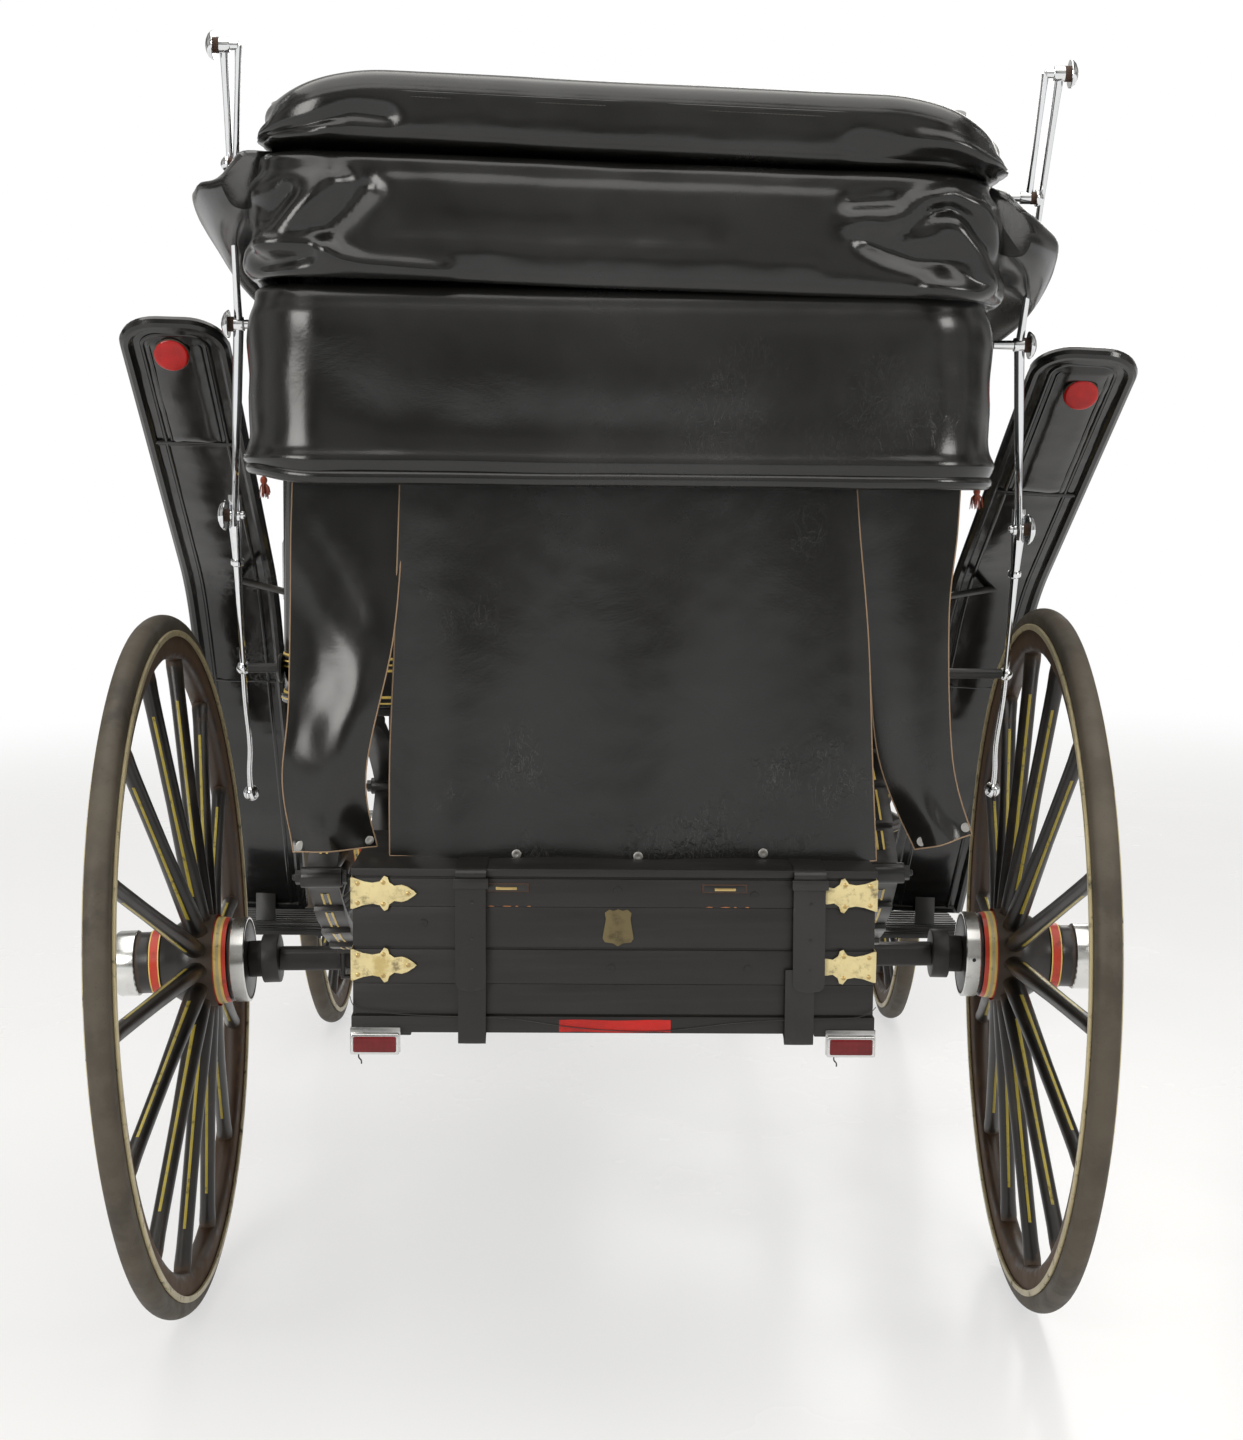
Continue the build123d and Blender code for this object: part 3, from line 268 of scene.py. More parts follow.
def leather(name, colour, roughness, pebble, scuff, crease):
    """Coated leather: fine pebbled grain, soft creases, pale scuffs, dull patches."""
    hide = Finish(name, Specular_IOR_Level=0.5, Coat_Roughness=0.12)
    grain = hide.cells(pebble) * 0.6 + hide.noise(pebble * 0.7, 3) * 0.6
    folds = hide.noise(7.0, 5, 0.62, distort=0.8)
    fine = abs(hide.noise(34, 4, 0.6, (1, 1, 0.6), 1.2) - 0.5).ramp(0.0, 0.035, 1.0, 0.0)
    patch = hide.noise(4.0, 3, 0.5).ramp(0.57, 0.72)
    lines = abs(hide.noise(23, 4, 0.7, (2.4, 1, 0.9), 1.3) - 0.5).ramp(0.0, 0.009, 1.0, 0.0)
    scuffs = lines * patch * scuff
    cloudy = hide.noise(2.3, 5, 0.6).ramp(0.42, 0.75)
    shade = hide.mix(scuffs, hide.mix(cloudy * 0.22, colour, (0.035, 0.034, 0.036)), (0.24, 0.235, 0.235))
    first = hide.bump(grain, 0.16, 0.0005)
    hide.bump(folds * 0.6 + fine * patch * crease * 0.3, 0.35, 0.004, first)
    rough = roughness + cloudy * 0.12 + scuffs * 0.3 + hide.noise(60, 3) * 0.06
    return hide.set(Base_Color=shade, Roughness=rough, Coat_Weight=0.12 + cloudy * 0.2)


def bright_metal(name, colour, roughness=0.12, tarnish=(0.16, 0.13, 0.10), share=0.35, scale=24.0):
    """Plated metal with polishing lines, finger marks and brown tarnish that creeps from its edges."""
    metal = Finish(name)
    blot = metal.noise(scale, 6, 0.66).ramp(0.52, 0.78) * share
    spots = metal.cells(210).ramp(0.0, 0.16, 1.0, 0.0) * metal.noise(11, 3).ramp(0.5, 0.68)
    polish = metal.noise(320, 2, 0.5, (0.04, 1, 1))
    metal.bump(polish * 0.3 + blot + spots * 0.6, 0.12, 0.0004)
    shade = metal.mix(blot + spots * 0.5, colour, tarnish)
    return metal.set(
        Base_Color=shade,
        Metallic=1.0 - blot * 0.5 - spots * 0.4,
        Roughness=roughness + blot * 0.4 + polish * 0.08 + spots * 0.2,
    )


def worn_paint(name, colour, under, roughness, grain, share, dust=(0.16, 0.14, 0.12), dusty=0.3, edges=1.0):
    """Working paint: chipped on corners to what is under it, dusty in hollows, with grain if it is wood."""
    paint = Finish(name)
    chips = paint.wear(share * edges)
    flakes = (paint.noise(46, 5, 0.7) * paint.noise(9, 3)).ramp(0.36, 0.42) * 0.6 * share
    shade, patch = dusted(paint, colour, dust, 0.42, 0.8, 8.0, dusty)
    lift = (chips + flakes).ramp(0.3, 0.55)
    height = paint.noise(130, 3) * 0.3 - lift * 0.8
    if grain:
        height = height + paint.bands(19, "X", 7.0, (0.1, 1, 1)) * grain
    paint.bump(height, 0.25, 0.0008)
    rough = roughness + patch * 0.5 + lift * 0.25 + paint.noise(24, 3) * 0.12
    return paint.set(Base_Color=paint.mix(lift, shade, under), Roughness=rough)


def ribbon_paint(name, colour, crackle=0.5):
    """Lining paint laid by brush: a little uneven, thin and aged in places."""
    line = Finish(name)
    thin = line.noise(60, 4, 0.6).ramp(0.56, 0.74) * crackle
    age = line.noise(14, 4).ramp(0.4, 0.75)
    aged = tuple(value * 0.62 for value in colour)
    shade = line.mix(thin, line.mix(age * 0.5, colour, aged), (0.03, 0.026, 0.02))
    line.bump(line.noise(300, 2, 0.5, (1, 1, 0.2)) + thin, 0.15, 0.0004)
    return line.set(Base_Color=shade, Roughness=0.34 + thin * 0.3 + age * 0.1)


def rubber(name):
    """Solid tyre: grey-brown, rubbed along its tread, with dirt ground in."""
    tyre = Finish(name, Specular_IOR_Level=0.35)
    streak = tyre.noise(22, 5, 0.65)
    pits = tyre.cells(150).ramp(0.0, 0.22, 1.0, 0.0) * tyre.noise(16, 3).ramp(0.45, 0.7)
    dirt = tyre.noise(5.5, 6, 0.7).ramp(0.35, 0.8)
    dark = tyre.mix(streak.ramp(0.35, 0.7), (0.088, 0.074, 0.056), (0.036, 0.030, 0.023))
    shade = tyre.mix(dirt * 0.65, dark, (0.165, 0.138, 0.104))
    shade = tyre.mix(pits * 0.7, shade, (0.012, 0.010, 0.009))
    tyre.bump(streak * 0.6 + tyre.noise(240, 3) * 0.4 - pits, 0.4, 0.0012)
    return tyre.set(Base_Color=shade, Roughness=0.55 + dirt * 0.3)


def planks(name):
    """Black painted boards, grain showing through, rubbed brown at the latches and edges."""
    wood = Finish(name)
    rings = wood.bands(7.5, "Z", 9.0, (0.05, 1, 1))
    fibres = wood.noise(90, 5, 0.7, (0.035, 1, 1))
    rub = (wood.noise(7, 5, 0.7, (1, 1, 3)) * wood.noise(60, 3, 0.6, (0.2, 1, 1))).ramp(0.36, 0.44)
    chips = wood.wear(0.9)
    dust = wood.noise(5, 5, 0.65).ramp(0.4, 0.8)
    black = wood.mix(fibres.ramp(0.35, 0.75), (0.0055, 0.0053, 0.005), (0.012, 0.0115, 0.0105))
    shade = wood.mix(dust * 0.08, black, (0.035, 0.031, 0.027))
    shade = wood.mix((rub * 0.10 + chips * 0.30).ramp(0.2, 0.8), shade, (0.050, 0.030, 0.018))
    wood.bump(fibres * 0.6 + rings * 0.3, 0.35, 0.0009)
    return wood.set(Base_Color=shade, Roughness=0.33 + fibres * 0.22 + dust * 0.2)


def gilt(name):
    """Cream gilt on thin brass plates: chalky, worn bare and grimy round the screws."""
    metal = Finish(name)
    grime = metal.noise(58, 6, 0.7).ramp(0.5, 0.72)
    bare = metal.noise(24, 5, 0.65).ramp(0.56, 0.68)
    shade = metal.mix(bare * 0.7, (0.74, 0.63, 0.33), (0.56, 0.42, 0.15))
    shade = metal.mix(grime * 0.75 + metal.wear(0.6), shade, (0.12, 0.085, 0.04))
    metal.bump(metal.noise(170, 4) + bare * 0.5, 0.3, 0.0006)
    return metal.set(Base_Color=shade, Metallic=bare * 0.45, Roughness=0.42 + grime * 0.25)


def red_lens(name, colour=(0.17, 0.006, 0.008), ribs=260.0):
    """Moulded red plastic lens with rows of small ribs behind a clear face."""
    lens = Finish(name, Specular_IOR_Level=0.35, Coat_Roughness=0.05, Coat_Weight=0.15)
    rows = lens.bands(ribs / 6.28, "X", 0.0) * 0.6 + lens.bands(ribs / 6.28, "Z", 0.0) * 0.6
    depth = lens.noise(30, 4).ramp(0.3, 0.8)
    dark = tuple(value * 0.45 for value in colour)
    lens.bump(rows, 0.2, 0.0006)
    return lens.set(Base_Color=lens.mix(depth * 0.6 + rows * 0.2, colour, dark), Roughness=0.14 + depth * 0.1)


def glass_with_painted_reflection(name, colour=(0.42, 0.43, 0.42), second=(0.62, 0.62, 0.58)):
    """Lamp window: bevelled glass drawn opaque, with a dark inside; its bright colour is painted reflection,
    lighter still where the glass is hazed.
    """
    glass = Finish(name, Specular_IOR_Level=0.8, Coat_Weight=0.6, Coat_Roughness=0.02)
    # The base colour, pale grey on clear panes and amber on the rear ones, is painted reflection; the haze is
    # the glass's own and makes it lighter and rougher in patches
    haze = glass.noise(20, 4).ramp(0.4, 0.8)
    glass.bump(glass.noise(12, 2), 0.05, 0.001)
    return glass.set(Base_Color=glass.mix(haze, colour, second), Roughness=0.04 + haze * 0.2)


def fringe_wool(name):
    """Red-brown wool of the tassels, faded at the tips."""
    wool = Finish(name, Sheen_Weight=0.6, Sheen_Roughness=0.4)
    strands = wool.noise(900, 3, 0.6, (1, 1, 0.05))
    shade = wool.mix(strands.ramp(0.3, 0.7), (0.20, 0.025, 0.012), (0.42, 0.085, 0.035))
    wool.bump(strands, 0.8, 0.002)
    return wool.set(Base_Color=shade, Roughness=0.85 + strands * 0.1)


def woven(name, colour, second, threads):
    """Plain wool cloth: a fine weave, a little felted, faded where the light reaches it."""
    cloth = Finish(name, Sheen_Weight=0.35, Sheen_Roughness=0.5)
    warp = cloth.bands(threads / 6.28, "X", 0.6)
    weft = cloth.bands(threads / 6.28, "Z", 0.6)
    faded = cloth.noise(3.5, 5, 0.6).ramp(0.4, 0.75)
    cloth.bump(warp * 0.5 + weft * 0.5 + cloth.noise(420, 3) * 0.4, 0.35, 0.0006)
    shade = cloth.mix(cloth.noise(700, 3).ramp(0.3, 0.7), colour, second)
    lighter = tuple(value * 1.9 + 0.004 for value in colour)
    return cloth.set(Base_Color=cloth.mix(faded * 0.5, shade, lighter), Roughness=0.85 + faded * 0.1)


def sewing_thread(name, colour):
    """Waxed linen thread, darker where it has picked up dirt."""
    thread = Finish(name)
    twist = thread.noise(1400, 2, 0.5, (1, 1, 0.4))
    grime = thread.noise(16, 4).ramp(0.42, 0.7)
    dark = tuple(value * 0.4 for value in colour)
    shade = thread.mix(grime * 0.7 + twist * 0.2, colour, dark)
    thread.bump(twist, 0.4, 0.0003)
    return thread.set(Base_Color=shade, Roughness=0.6 + grime * 0.2)


def make_finishes():
    """Every finish of the carriage by its plain name."""
    return {
        "black_lacquer": gloss_paint("black_coach_enamel", (0.0075, 0.0073, 0.0078)),
        "black_paint_wood": worn_paint("black_painted_ash", (0.009, 0.0086, 0.0082), (0.080, 0.050, 0.028),
                                       0.30, 0.4, 0.6, (0.10, 0.09, 0.08), 0.18, 0.0),
        "patent_leather": leather("patent_wing_leather", (0.0055, 0.0053, 0.0050), 0.10, 520, 0.18, 0.9),
        "hood_leather": leather("coated_hood_leather", (0.0075, 0.0073, 0.0068), 0.17, 430, 0.12, 0.4),
        "curtain_leather": leather("coated_curtain_leather", (0.0064, 0.0062, 0.0055), 0.19, 430, 0.5, 1.0),
        "seat_leather": leather("buttoned_seat_leather", (0.016, 0.014, 0.013), 0.30, 380, 0.35, 1.0),
        "strap_leather": leather("worn_strap_leather", (0.0066, 0.0058, 0.0046), 0.42, 300, 0.4, 1.0),
        "raw_edge": leather("raw_tan_edge", (0.30, 0.20, 0.12), 0.62, 700, 0.2, 0.3),
        "wheel_paint": worn_paint("wheel_black_paint", (0.011, 0.0095, 0.0085), (0.055, 0.035, 0.022),
                                  0.26, 0.12, 0.6, (0.10, 0.08, 0.065), 0.30),
        "felloe_paint": worn_paint("felloe_brown_paint", (0.030, 0.014, 0.006), (0.085, 0.045, 0.020),
                                   0.34, 0.15, 0.8, (0.085, 0.050, 0.025), 0.50),
        "tyre_rubber": rubber("solid_tyre_rubber"),
        "nickel": bright_metal("nickel_plate", (0.70, 0.70, 0.68), 0.16, share=0.25),
        "dull_tin": bright_metal("dull_tin", (0.42, 0.41, 0.39), 0.45, (0.16, 0.14, 0.12), 0.5),
        "chrome": bright_metal("hood_iron_chrome", (0.78, 0.79, 0.80), 0.07, (0.25, 0.23, 0.21), 0.14),
        "iron_black": worn_paint("black_painted_iron", (0.010, 0.0098, 0.0095), (0.040, 0.024, 0.015),
                                 0.30, 0.0, 0.6, edges=0.0),
        "rusty_iron": worn_paint("browned_iron", (0.022, 0.013, 0.010), (0.060, 0.030, 0.018),
                                 0.42, 0.0, 0.9),
        "trunk_wood": planks("black_trunk_planks"),
        "gilt_cream": gilt("cream_gilt_plate"),
        "lamp_red": red_lens("red_lamp_lens"),
        "reflector_red": red_lens("red_round_reflector", (0.62, 0.006, 0.004), 900.0),
        "tape_red": red_lens("red_reflecting_tape", (0.55, 0.012, 0.006), 1500.0),
        "lamp_case": bright_metal("lamp_bezel", (0.66, 0.66, 0.65), 0.14),
        # Lamp glass: its bright colours are painted reflection
        "lamp_pane_painted_reflection": glass_with_painted_reflection("lamp_window_painted_reflection"),
        "shaft_wood": worn_paint("shaft_black_paint", (0.009, 0.0085, 0.008), (0.11, 0.065, 0.035),
                                 0.24, 0.3, 0.7, (0.10, 0.09, 0.08), 0.2, 0.0),
        "yellow_line": ribbon_paint("yellow_lining", (0.42, 0.33, 0.040), 0.8),
        "cream_line": ribbon_paint("cream_rim_line", (0.55, 0.47, 0.27), 0.9),
        "gold_line": ribbon_paint("gold_lining", (0.85, 0.62, 0.16), 0.25),
        "red_line": ribbon_paint("red_hub_band", (0.62, 0.045, 0.018), 0.4),
        "brass": bright_metal("dull_brass", (0.55, 0.40, 0.17), 0.30, (0.10, 0.07, 0.03), 0.6),
        "fringe": fringe_wool("tassel_wool"),
        "mat": rubber("ribbed_floor_mat"),
        "axle_paint": worn_paint("worn_axle_paint", (0.014, 0.012, 0.0105), (0.060, 0.038, 0.022),
                                 0.38, 0.0, 0.8, edges=0.0),
        "spring_paint": worn_paint("black_spring_paint", (0.010, 0.0096, 0.0095), (0.085, 0.070, 0.052),
                                   0.24, 0.0, 0.7, edges=0.0),
        "copper_rub": worn_paint("rubbed_copper_wood", (0.34, 0.13, 0.045), (0.50, 0.22, 0.08),
                                 0.45, 0.3, 1.0),
        "old_brass": bright_metal("old_brass_shield", (0.20, 0.16, 0.085), 0.46, (0.05, 0.042, 0.025), 0.8),
        "lamp_yellow_painted_reflection": glass_with_painted_reflection("amber_lamp_pane_painted_reflection", (0.62, 0.40, 0.05), (0.80, 0.56, 0.12)),
        "lining_cloth": woven("hood_lining_cloth", (0.018, 0.020, 0.030), (0.030, 0.033, 0.046), 1300.0),
        "thread": sewing_thread("hood_thread", (0.060, 0.056, 0.050)),
    }


finishes = make_finishes()


# Ways of shaping, shared by the pieces


def fresh():
    """Leaves edit mode and deselects everything, so that the next operator acts on its own piece."""
    if bpy.context.object and bpy.context.object.mode != "OBJECT":
        bpy.ops.object.mode_set(mode="OBJECT")
    bpy.ops.object.select_all(action="DESELECT")


def hold(piece):
    """Makes one piece the only selected and active one."""
    fresh()
    piece.select_set(True)
    bpy.context.view_layer.objects.active = piece
    return piece


def named(name):
    """Names the piece in hand and its mesh."""
    piece = bpy.context.object
    piece.name = name
    piece.data.name = name
    return piece


def edit(piece, kind):
    """Opens a piece for editing with all its points or edges selected."""
    hold(piece)
    bpy.ops.object.mode_set(mode="EDIT")
    bpy.ops.mesh.select_mode(type=kind)
    bpy.ops.mesh.select_all(action="SELECT")


def closed_up(piece, distance=1e-5):
    """Merges doubles and turns all faces outward."""
    edit(piece, "VERT")
    bpy.ops.mesh.remove_doubles(threshold=distance)
    bpy.ops.mesh.normals_make_consistent(inside=False)
    bpy.ops.object.mode_set(mode="OBJECT")
    return piece


def apply(piece, kind, **settings):
    """Adds one modifier and applies it."""
    hold(piece)
    modifier = piece.modifiers.new(kind.title(), kind)
    for key, value in settings.items():
        setattr(modifier, key, value)
    bpy.ops.object.modifier_apply(modifier=modifier.name)
    return piece


def smooth(piece, angle=35):
    """Shades a piece smooth over edges flatter than an angle in degrees."""
    hold(piece)
    bpy.ops.object.shade_smooth_by_angle(angle=math.radians(angle))
    return piece


def block(name, low, high, bevel=0.002, segments=2):
    """A squared block with its edges taken off."""
    fresh()
    middle = [(a + b) / 2 for a, b in zip(low, high)]
    size = [b - a for a, b in zip(low, high)]
    bpy.ops.mesh.primitive_cube_add(size=1, location=middle, scale=size)
    piece = named(name)
    bpy.ops.object.transform_apply(location=True, rotation=True, scale=True)
    edit(piece, "EDGE")
    bpy.ops.mesh.bevel(offset=min(bevel, min(size) * 0.45), segments=segments, affect="EDGES")
    bpy.ops.object.mode_set(mode="OBJECT")
    return smooth(piece)


def turned(name, profile, rim=48, axis="X", ring=False):
    """A turned piece: a circle extruded and scaled along its axis through (place, radius) pairs."""
    fresh()
    first_x, first_radius = profile[0]
    bpy.ops.mesh.primitive_circle_add(
        vertices=rim, radius=first_radius, location=(first_x, 0, 0), rotation=(0, math.pi / 2, 0),
        fill_type="NOTHING" if ring else "NGON",
    )
    piece = named(name)
    bpy.ops.object.transform_apply(location=True, rotation=True, scale=True)
    edit(piece, "VERT")
    for (old_x, old_radius), (x, radius) in zip(profile, profile[1:]):
        bpy.ops.mesh.extrude_region_move(TRANSFORM_OT_translate={"value": (x - old_x, 0, 0)})
        share = radius / old_radius
        bpy.ops.transform.resize(value=(1, share, share), center_override=(x, 0, 0))
    bpy.ops.mesh.select_all(action="SELECT")
    bpy.ops.mesh.remove_doubles(threshold=1e-6)
    bpy.ops.mesh.normals_make_consistent(inside=False)
    bpy.ops.object.mode_set(mode="OBJECT")
    if axis == "Y":
        piece.data.transform(Matrix.Rotation(math.pi / 2, 4, "Z"))
    if axis == "Z":
        piece.data.transform(Matrix.Rotation(-math.pi / 2, 4, "Y"))
    return smooth(piece)


def shaped(name, across, along, place, closed=False):
    """A grid whose points a rule moves: place(u, v) gives the point for the shares u and v.

    A closed piece is a tube, joined where u comes round again, with a face over each end.
    """
    fresh()
    bpy.ops.mesh.primitive_grid_add(x_subdivisions=across, y_subdivisions=along, size=1)
    piece = named(name)
    for vertex in piece.data.vertices:
        vertex.co = place(vertex.co.x + 0.5, vertex.co.y + 0.5)
    if closed:
        edit(piece, "VERT")
        bpy.ops.mesh.remove_doubles(threshold=1e-6)
        bpy.ops.mesh.select_all(action="DESELECT")
        bpy.ops.mesh.select_non_manifold(extend=False, use_non_contiguous=False, use_multi_face=False,
                                         use_verts=False)
        bpy.ops.mesh.edge_face_add()
        bpy.ops.object.mode_set(mode="OBJECT")
        closed_up(piece)
    return piece


def as_mesh(name, curve):
    """A curve's surface as a piece."""
    piece = bpy.data.objects.new(name, curve)
    bpy.context.scene.collection.objects.link(piece)
    hold(piece)
    bpy.ops.object.convert(target="MESH")
    return named(name)


def rod(name, points, radius, order=0, sides=5, resolution=10, taper=()):
    """A round bar through points: straight runs, or a smooth spline where an order is given."""
    fresh()
    curve = bpy.data.curves.new(name, "CURVE")
    curve.dimensions = "3D"
    curve.bevel_depth = radius
    curve.bevel_resolution = sides
    curve.use_fill_caps = True
    curve.resolution_u = resolution
    spline = curve.splines.new("NURBS" if order else "POLY")
    spline.points.add(len(points) - 1)
    for index, (point, target) in enumerate(zip(spline.points, points)):
        point.co = (*target, 1)
        point.radius = taper[index] if taper else 1.0
    if order:
        spline.order_u = order
        spline.use_endpoint_u = True
    return smooth(closed_up(as_mesh(name, curve)))


def plate(name, outline, thickness, bevel, y):
    """A flat upright plate from its outline of (x, z), with its edges eased, about a place on Y."""
    fresh()
    curve = bpy.data.curves.new(name, "CURVE")
    curve.dimensions = "2D"
    curve.fill_mode = "BOTH"
    curve.extrude = max(thickness / 2 - bevel, 0.00001)
    curve.bevel_depth = bevel
    curve.bevel_resolution = 2
    curve.offset = -bevel
    spline = curve.splines.new("POLY")
    spline.points.add(len(outline) - 1)
    for point, (x, z) in zip(spline.points, outline):
        point.co = (x, z, 0, 1)
    spline.use_cyclic_u = True
    piece = as_mesh(name, curve)
    piece.data.transform(Matrix.Translation((0, y, 0)) @ Matrix.Rotation(math.pi / 2, 4, "X"))
    return smooth(closed_up(piece))


def placed(piece, centre, side=1):
    """Moves a piece to a point, turned half round where its side is negative."""
    if side < 0:
        piece.data.transform(Matrix.Rotation(math.pi, 4, "Z"))
    piece.data.transform(Matrix.Translation(centre))
    return piece


def aimed(centre, direction):
    """Matrix that takes a piece to a point and its Z axis to a direction."""
    return Matrix.Translation(centre) @ Vector(direction).to_track_quat("Z", "Y").to_matrix().to_4x4()


def ball(name, centre, radius, flatten=(1, 1, 1), rings=10):
    """A domed head, flattened along its axis."""
    fresh()
    bpy.ops.mesh.primitive_uv_sphere_add(segments=2 * rings, ring_count=rings, radius=radius)
    piece = named(name)
    bpy.ops.transform.resize(value=flatten)
    bpy.ops.object.transform_apply(location=False, rotation=False, scale=True)
    return smooth(placed(piece, centre), 60)


# Thickness of every washer
WASHER = 0.0015


def bolt(name, centre, direction, across, height=0.009, stud=0.004):
    """A hexagon nut on its washer with the stud's rounded end."""
    fresh()
    flat = across / 2 / math.cos(math.pi / 6)
    bpy.ops.mesh.primitive_cylinder_add(
        vertices=6, radius=flat, depth=height, location=(0, 0, height / 2 + WASHER))
    piece = named(name)
    bpy.ops.object.transform_apply(location=True, rotation=True, scale=True)
    edit(piece, "EDGE")
    bpy.ops.mesh.bevel(offset=0.0007, segments=2)
    bpy.ops.object.mode_set(mode="OBJECT")
    washer = ((0, flat * 1.35), (WASHER, flat * 1.35), (0.0018, flat * 1.25))
    end = ((height, stud), (height + 0.005, stud), (height + 0.0065, stud * 0.6))
    piece = joined(name, [piece, turned("washer", washer, 20, "Z"), turned("stud", end, 12, "Z")])
    piece.data.transform(aimed(centre, direction))
    return closed_up(piece, 1e-7)


def joined(name, parts):
    """One piece from several, each keeping its own finish."""
    fresh()
    for part in parts:
        part.select_set(True)
    bpy.context.view_layer.objects.active = parts[0]
    bpy.ops.object.join()
    return named(name)


def twin(piece, name, matrix):
    """A copy with its own mesh, moved by a matrix."""
    copy = piece.copy()
    copy.data = piece.data.copy()
    bpy.context.scene.collection.objects.link(copy)
    copy.name = copy.data.name = name
    copy.data.transform(matrix)
    return copy


def painted(piece, *names):
    """Gives a piece its finishes, the first one all over."""
    piece.data.materials.clear()
    for name in names:
        piece.data.materials.append(finishes[name])
    if len(names) == 1:
        for face in piece.data.polygons:
            face.material_index = 0
    return piece


def lined(piece, index, test):
    """Gives another of the piece's finishes to the faces whose middle passes the test."""
    for face in piece.data.polygons:
        if test(face.center):
            face.material_index = index


def settle(piece, slot, body="carriage", leaning=True, stands_for=()):
    """Moves a drawn piece to its place on the frame, says what it rides on and hides the CAD parts that it
    stands for.
    """
    hold(piece)
    bpy.ops.object.transform_apply(location=True, rotation=True, scale=True)
    piece.data.transform(at_origin(leaning))
    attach(piece, body)
    if stands_for:
        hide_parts(*stands_for)
    return piece


def softened(node, name, width):
    """A copy of a CAD node with its doubles merged, its flats made whole and its edges rounded."""
    fresh()
    copy = nodes[node].copy()
    copy.data = nodes[node].data.copy()
    copy.parent = None
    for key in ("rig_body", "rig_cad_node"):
        if key in copy:
            del copy[key]
    bpy.context.scene.collection.objects.link(copy)
    hold(copy)
    named(name)
    edit(copy, "VERT")
    bpy.ops.mesh.remove_doubles(threshold=1e-5)
    bpy.ops.mesh.dissolve_limited(angle_limit=math.radians(2))
    bpy.ops.object.mode_set(mode="OBJECT")
    apply(copy, "BEVEL", width=width, segments=2, limit_method="ANGLE", angle_limit=math.radians(30),
          use_clamp_overlap=True)
    return smooth(copy)


def stand_for(piece, node, finish):
    """Puts a piece made from a CAD node's copy in that node's place."""
    painted(piece, finish)
    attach(piece, nodes[node]["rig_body"])
    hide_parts(node)
    return piece


def mixture(a, b, share):
    """Value or point a share of the way from one to the other."""
    return a + (b - a) * share


def ease(value, low=0.0, high=1.0):
    """Smooth step from 0 to 1."""
    t = min(max((value - low) / (high - low), 0.0), 1.0)
    return t * t * (3 - 2 * t)


def ruffle(x, y, z, size, seed=0.0):
    """Soft uneven wave between -1 and 1 for hand-shaped leather."""
    return noise.noise(Vector((x / size + seed, y / size - seed, z / size + 2 * seed)))


def hump(value, centre, width):
    """Bell-shaped rise to 1 at a centre."""
    return math.exp(-(((value - centre) / width) ** 2))


def toward(point, line):
    """Shortest way in a flat view from a point to a broken line."""
    best = 9.0
    for (ax, az), (bx, bz) in zip(line, line[1:]):
        length = (bx - ax) ** 2 + (bz - az) ** 2
        share = ((point[0] - ax) * (bx - ax) + (point[1] - az) * (bz - az)) / max(length, 1e-9)
        share = min(max(share, 0.0), 1.0)
        best = min(best, math.hypot(point[0] - ax - share * (bx - ax), point[1] - az - share * (bz - az)))
    return best


def through(points, share):
    """Point at a share of a smooth curve that passes through all the given points."""
    spans = len(points) - 1
    index = min(int(share * spans), spans - 1)
    t = share * spans - index
    a, b, c, d = (points[min(max(index + step, 0), spans)] for step in (-1, 0, 1, 2))
    return tuple(
        0.5 * (2 * q + (r - p) * t + (2 * p - 5 * q + 4 * r - s) * t * t
               + (3 * q - p - 3 * r + s) * t * t * t)
        for p, q, r, s in zip(a, b, c, d)
    )


def sheet_of(piece, thickness, rim=0, offset=-1):
    """Gives an open skin its thickness, with its cut edges in another of its finishes."""
    return apply(piece, "SOLIDIFY", thickness=thickness, offset=offset, material_offset_rim=rim,
                 use_even_offset=False)


def facing(piece, direction):
    """Turns an open skin so that most of it looks along a direction."""
    total = sum((face.normal * face.area for face in piece.data.polygons), Vector())
    if total.dot(Vector(direction)) < 0:
        piece.data.flip_normals()
    return piece


class CarriageStageSettings(bpy.types.PropertyGroup):
    """Camera, floor and lamps."""

    camera_place: bpy.props.FloatVectorProperty(
        name="Camera place", description="Where the camera stands", size=3, subtype="TRANSLATION",
        unit="LENGTH", default=(0.0265, -5.375, 1.387))
    yaw: bpy.props.FloatProperty(
        name="Yaw", description="Turn toward the right", subtype="ANGLE", default=math.radians(0.047))
    pitch: bpy.props.FloatProperty(
        name="Pitch", description="Tilt downward", subtype="ANGLE", default=math.radians(6.537))
    roll: bpy.props.FloatProperty(
        name="Roll", description="Turn about the view", subtype="ANGLE", default=math.radians(-0.418))
    lens: bpy.props.FloatProperty(
        name="Lens", description="Focal length on a 36 mm wide sensor in mm", default=64.189)
    floor_colour: bpy.props.FloatVectorProperty(
        name="Floor colour", description="Colour of the pale floor", size=3, subtype="COLOR",
        default=(0.84, 0.825, 0.81))


class CarriageWheelSettings(bpy.types.PropertyGroup):
    """Sizes that the four wheels share, in the wheel's own frame."""

    hub_inner: bpy.props.FloatProperty(
        name="Hub inner face", description="Back end of the hub from the tyre's plane", default=-0.121,
        unit="LENGTH")
    hub_outer: bpy.props.FloatProperty(
        name="Hub outer face", description="Front end of the hub", default=0.062, unit="LENGTH")
    dish: bpy.props.FloatProperty(
        name="Dish", description="How far the spokes' feet stand inside the rim", default=0.044,
        unit="LENGTH")
    tyre_width: bpy.props.FloatProperty(
        name="Tyre width", description="Width of the solid tyre", default=0.038, unit="LENGTH")
    tyre_height: bpy.props.FloatProperty(
        name="Tyre height", description="Seat to crown", default=0.031, unit="LENGTH")
    felloe_depth: bpy.props.FloatProperty(
        name="Felloe depth", description="Depth of the wooden rim", default=0.042, unit="LENGTH")
    line_width: bpy.props.FloatProperty(
        name="Line width", description="Width of the yellow line on a spoke's side", default=0.0048,
        unit="LENGTH")


LAMP_COLOUR = (1.0, 0.985, 0.95)


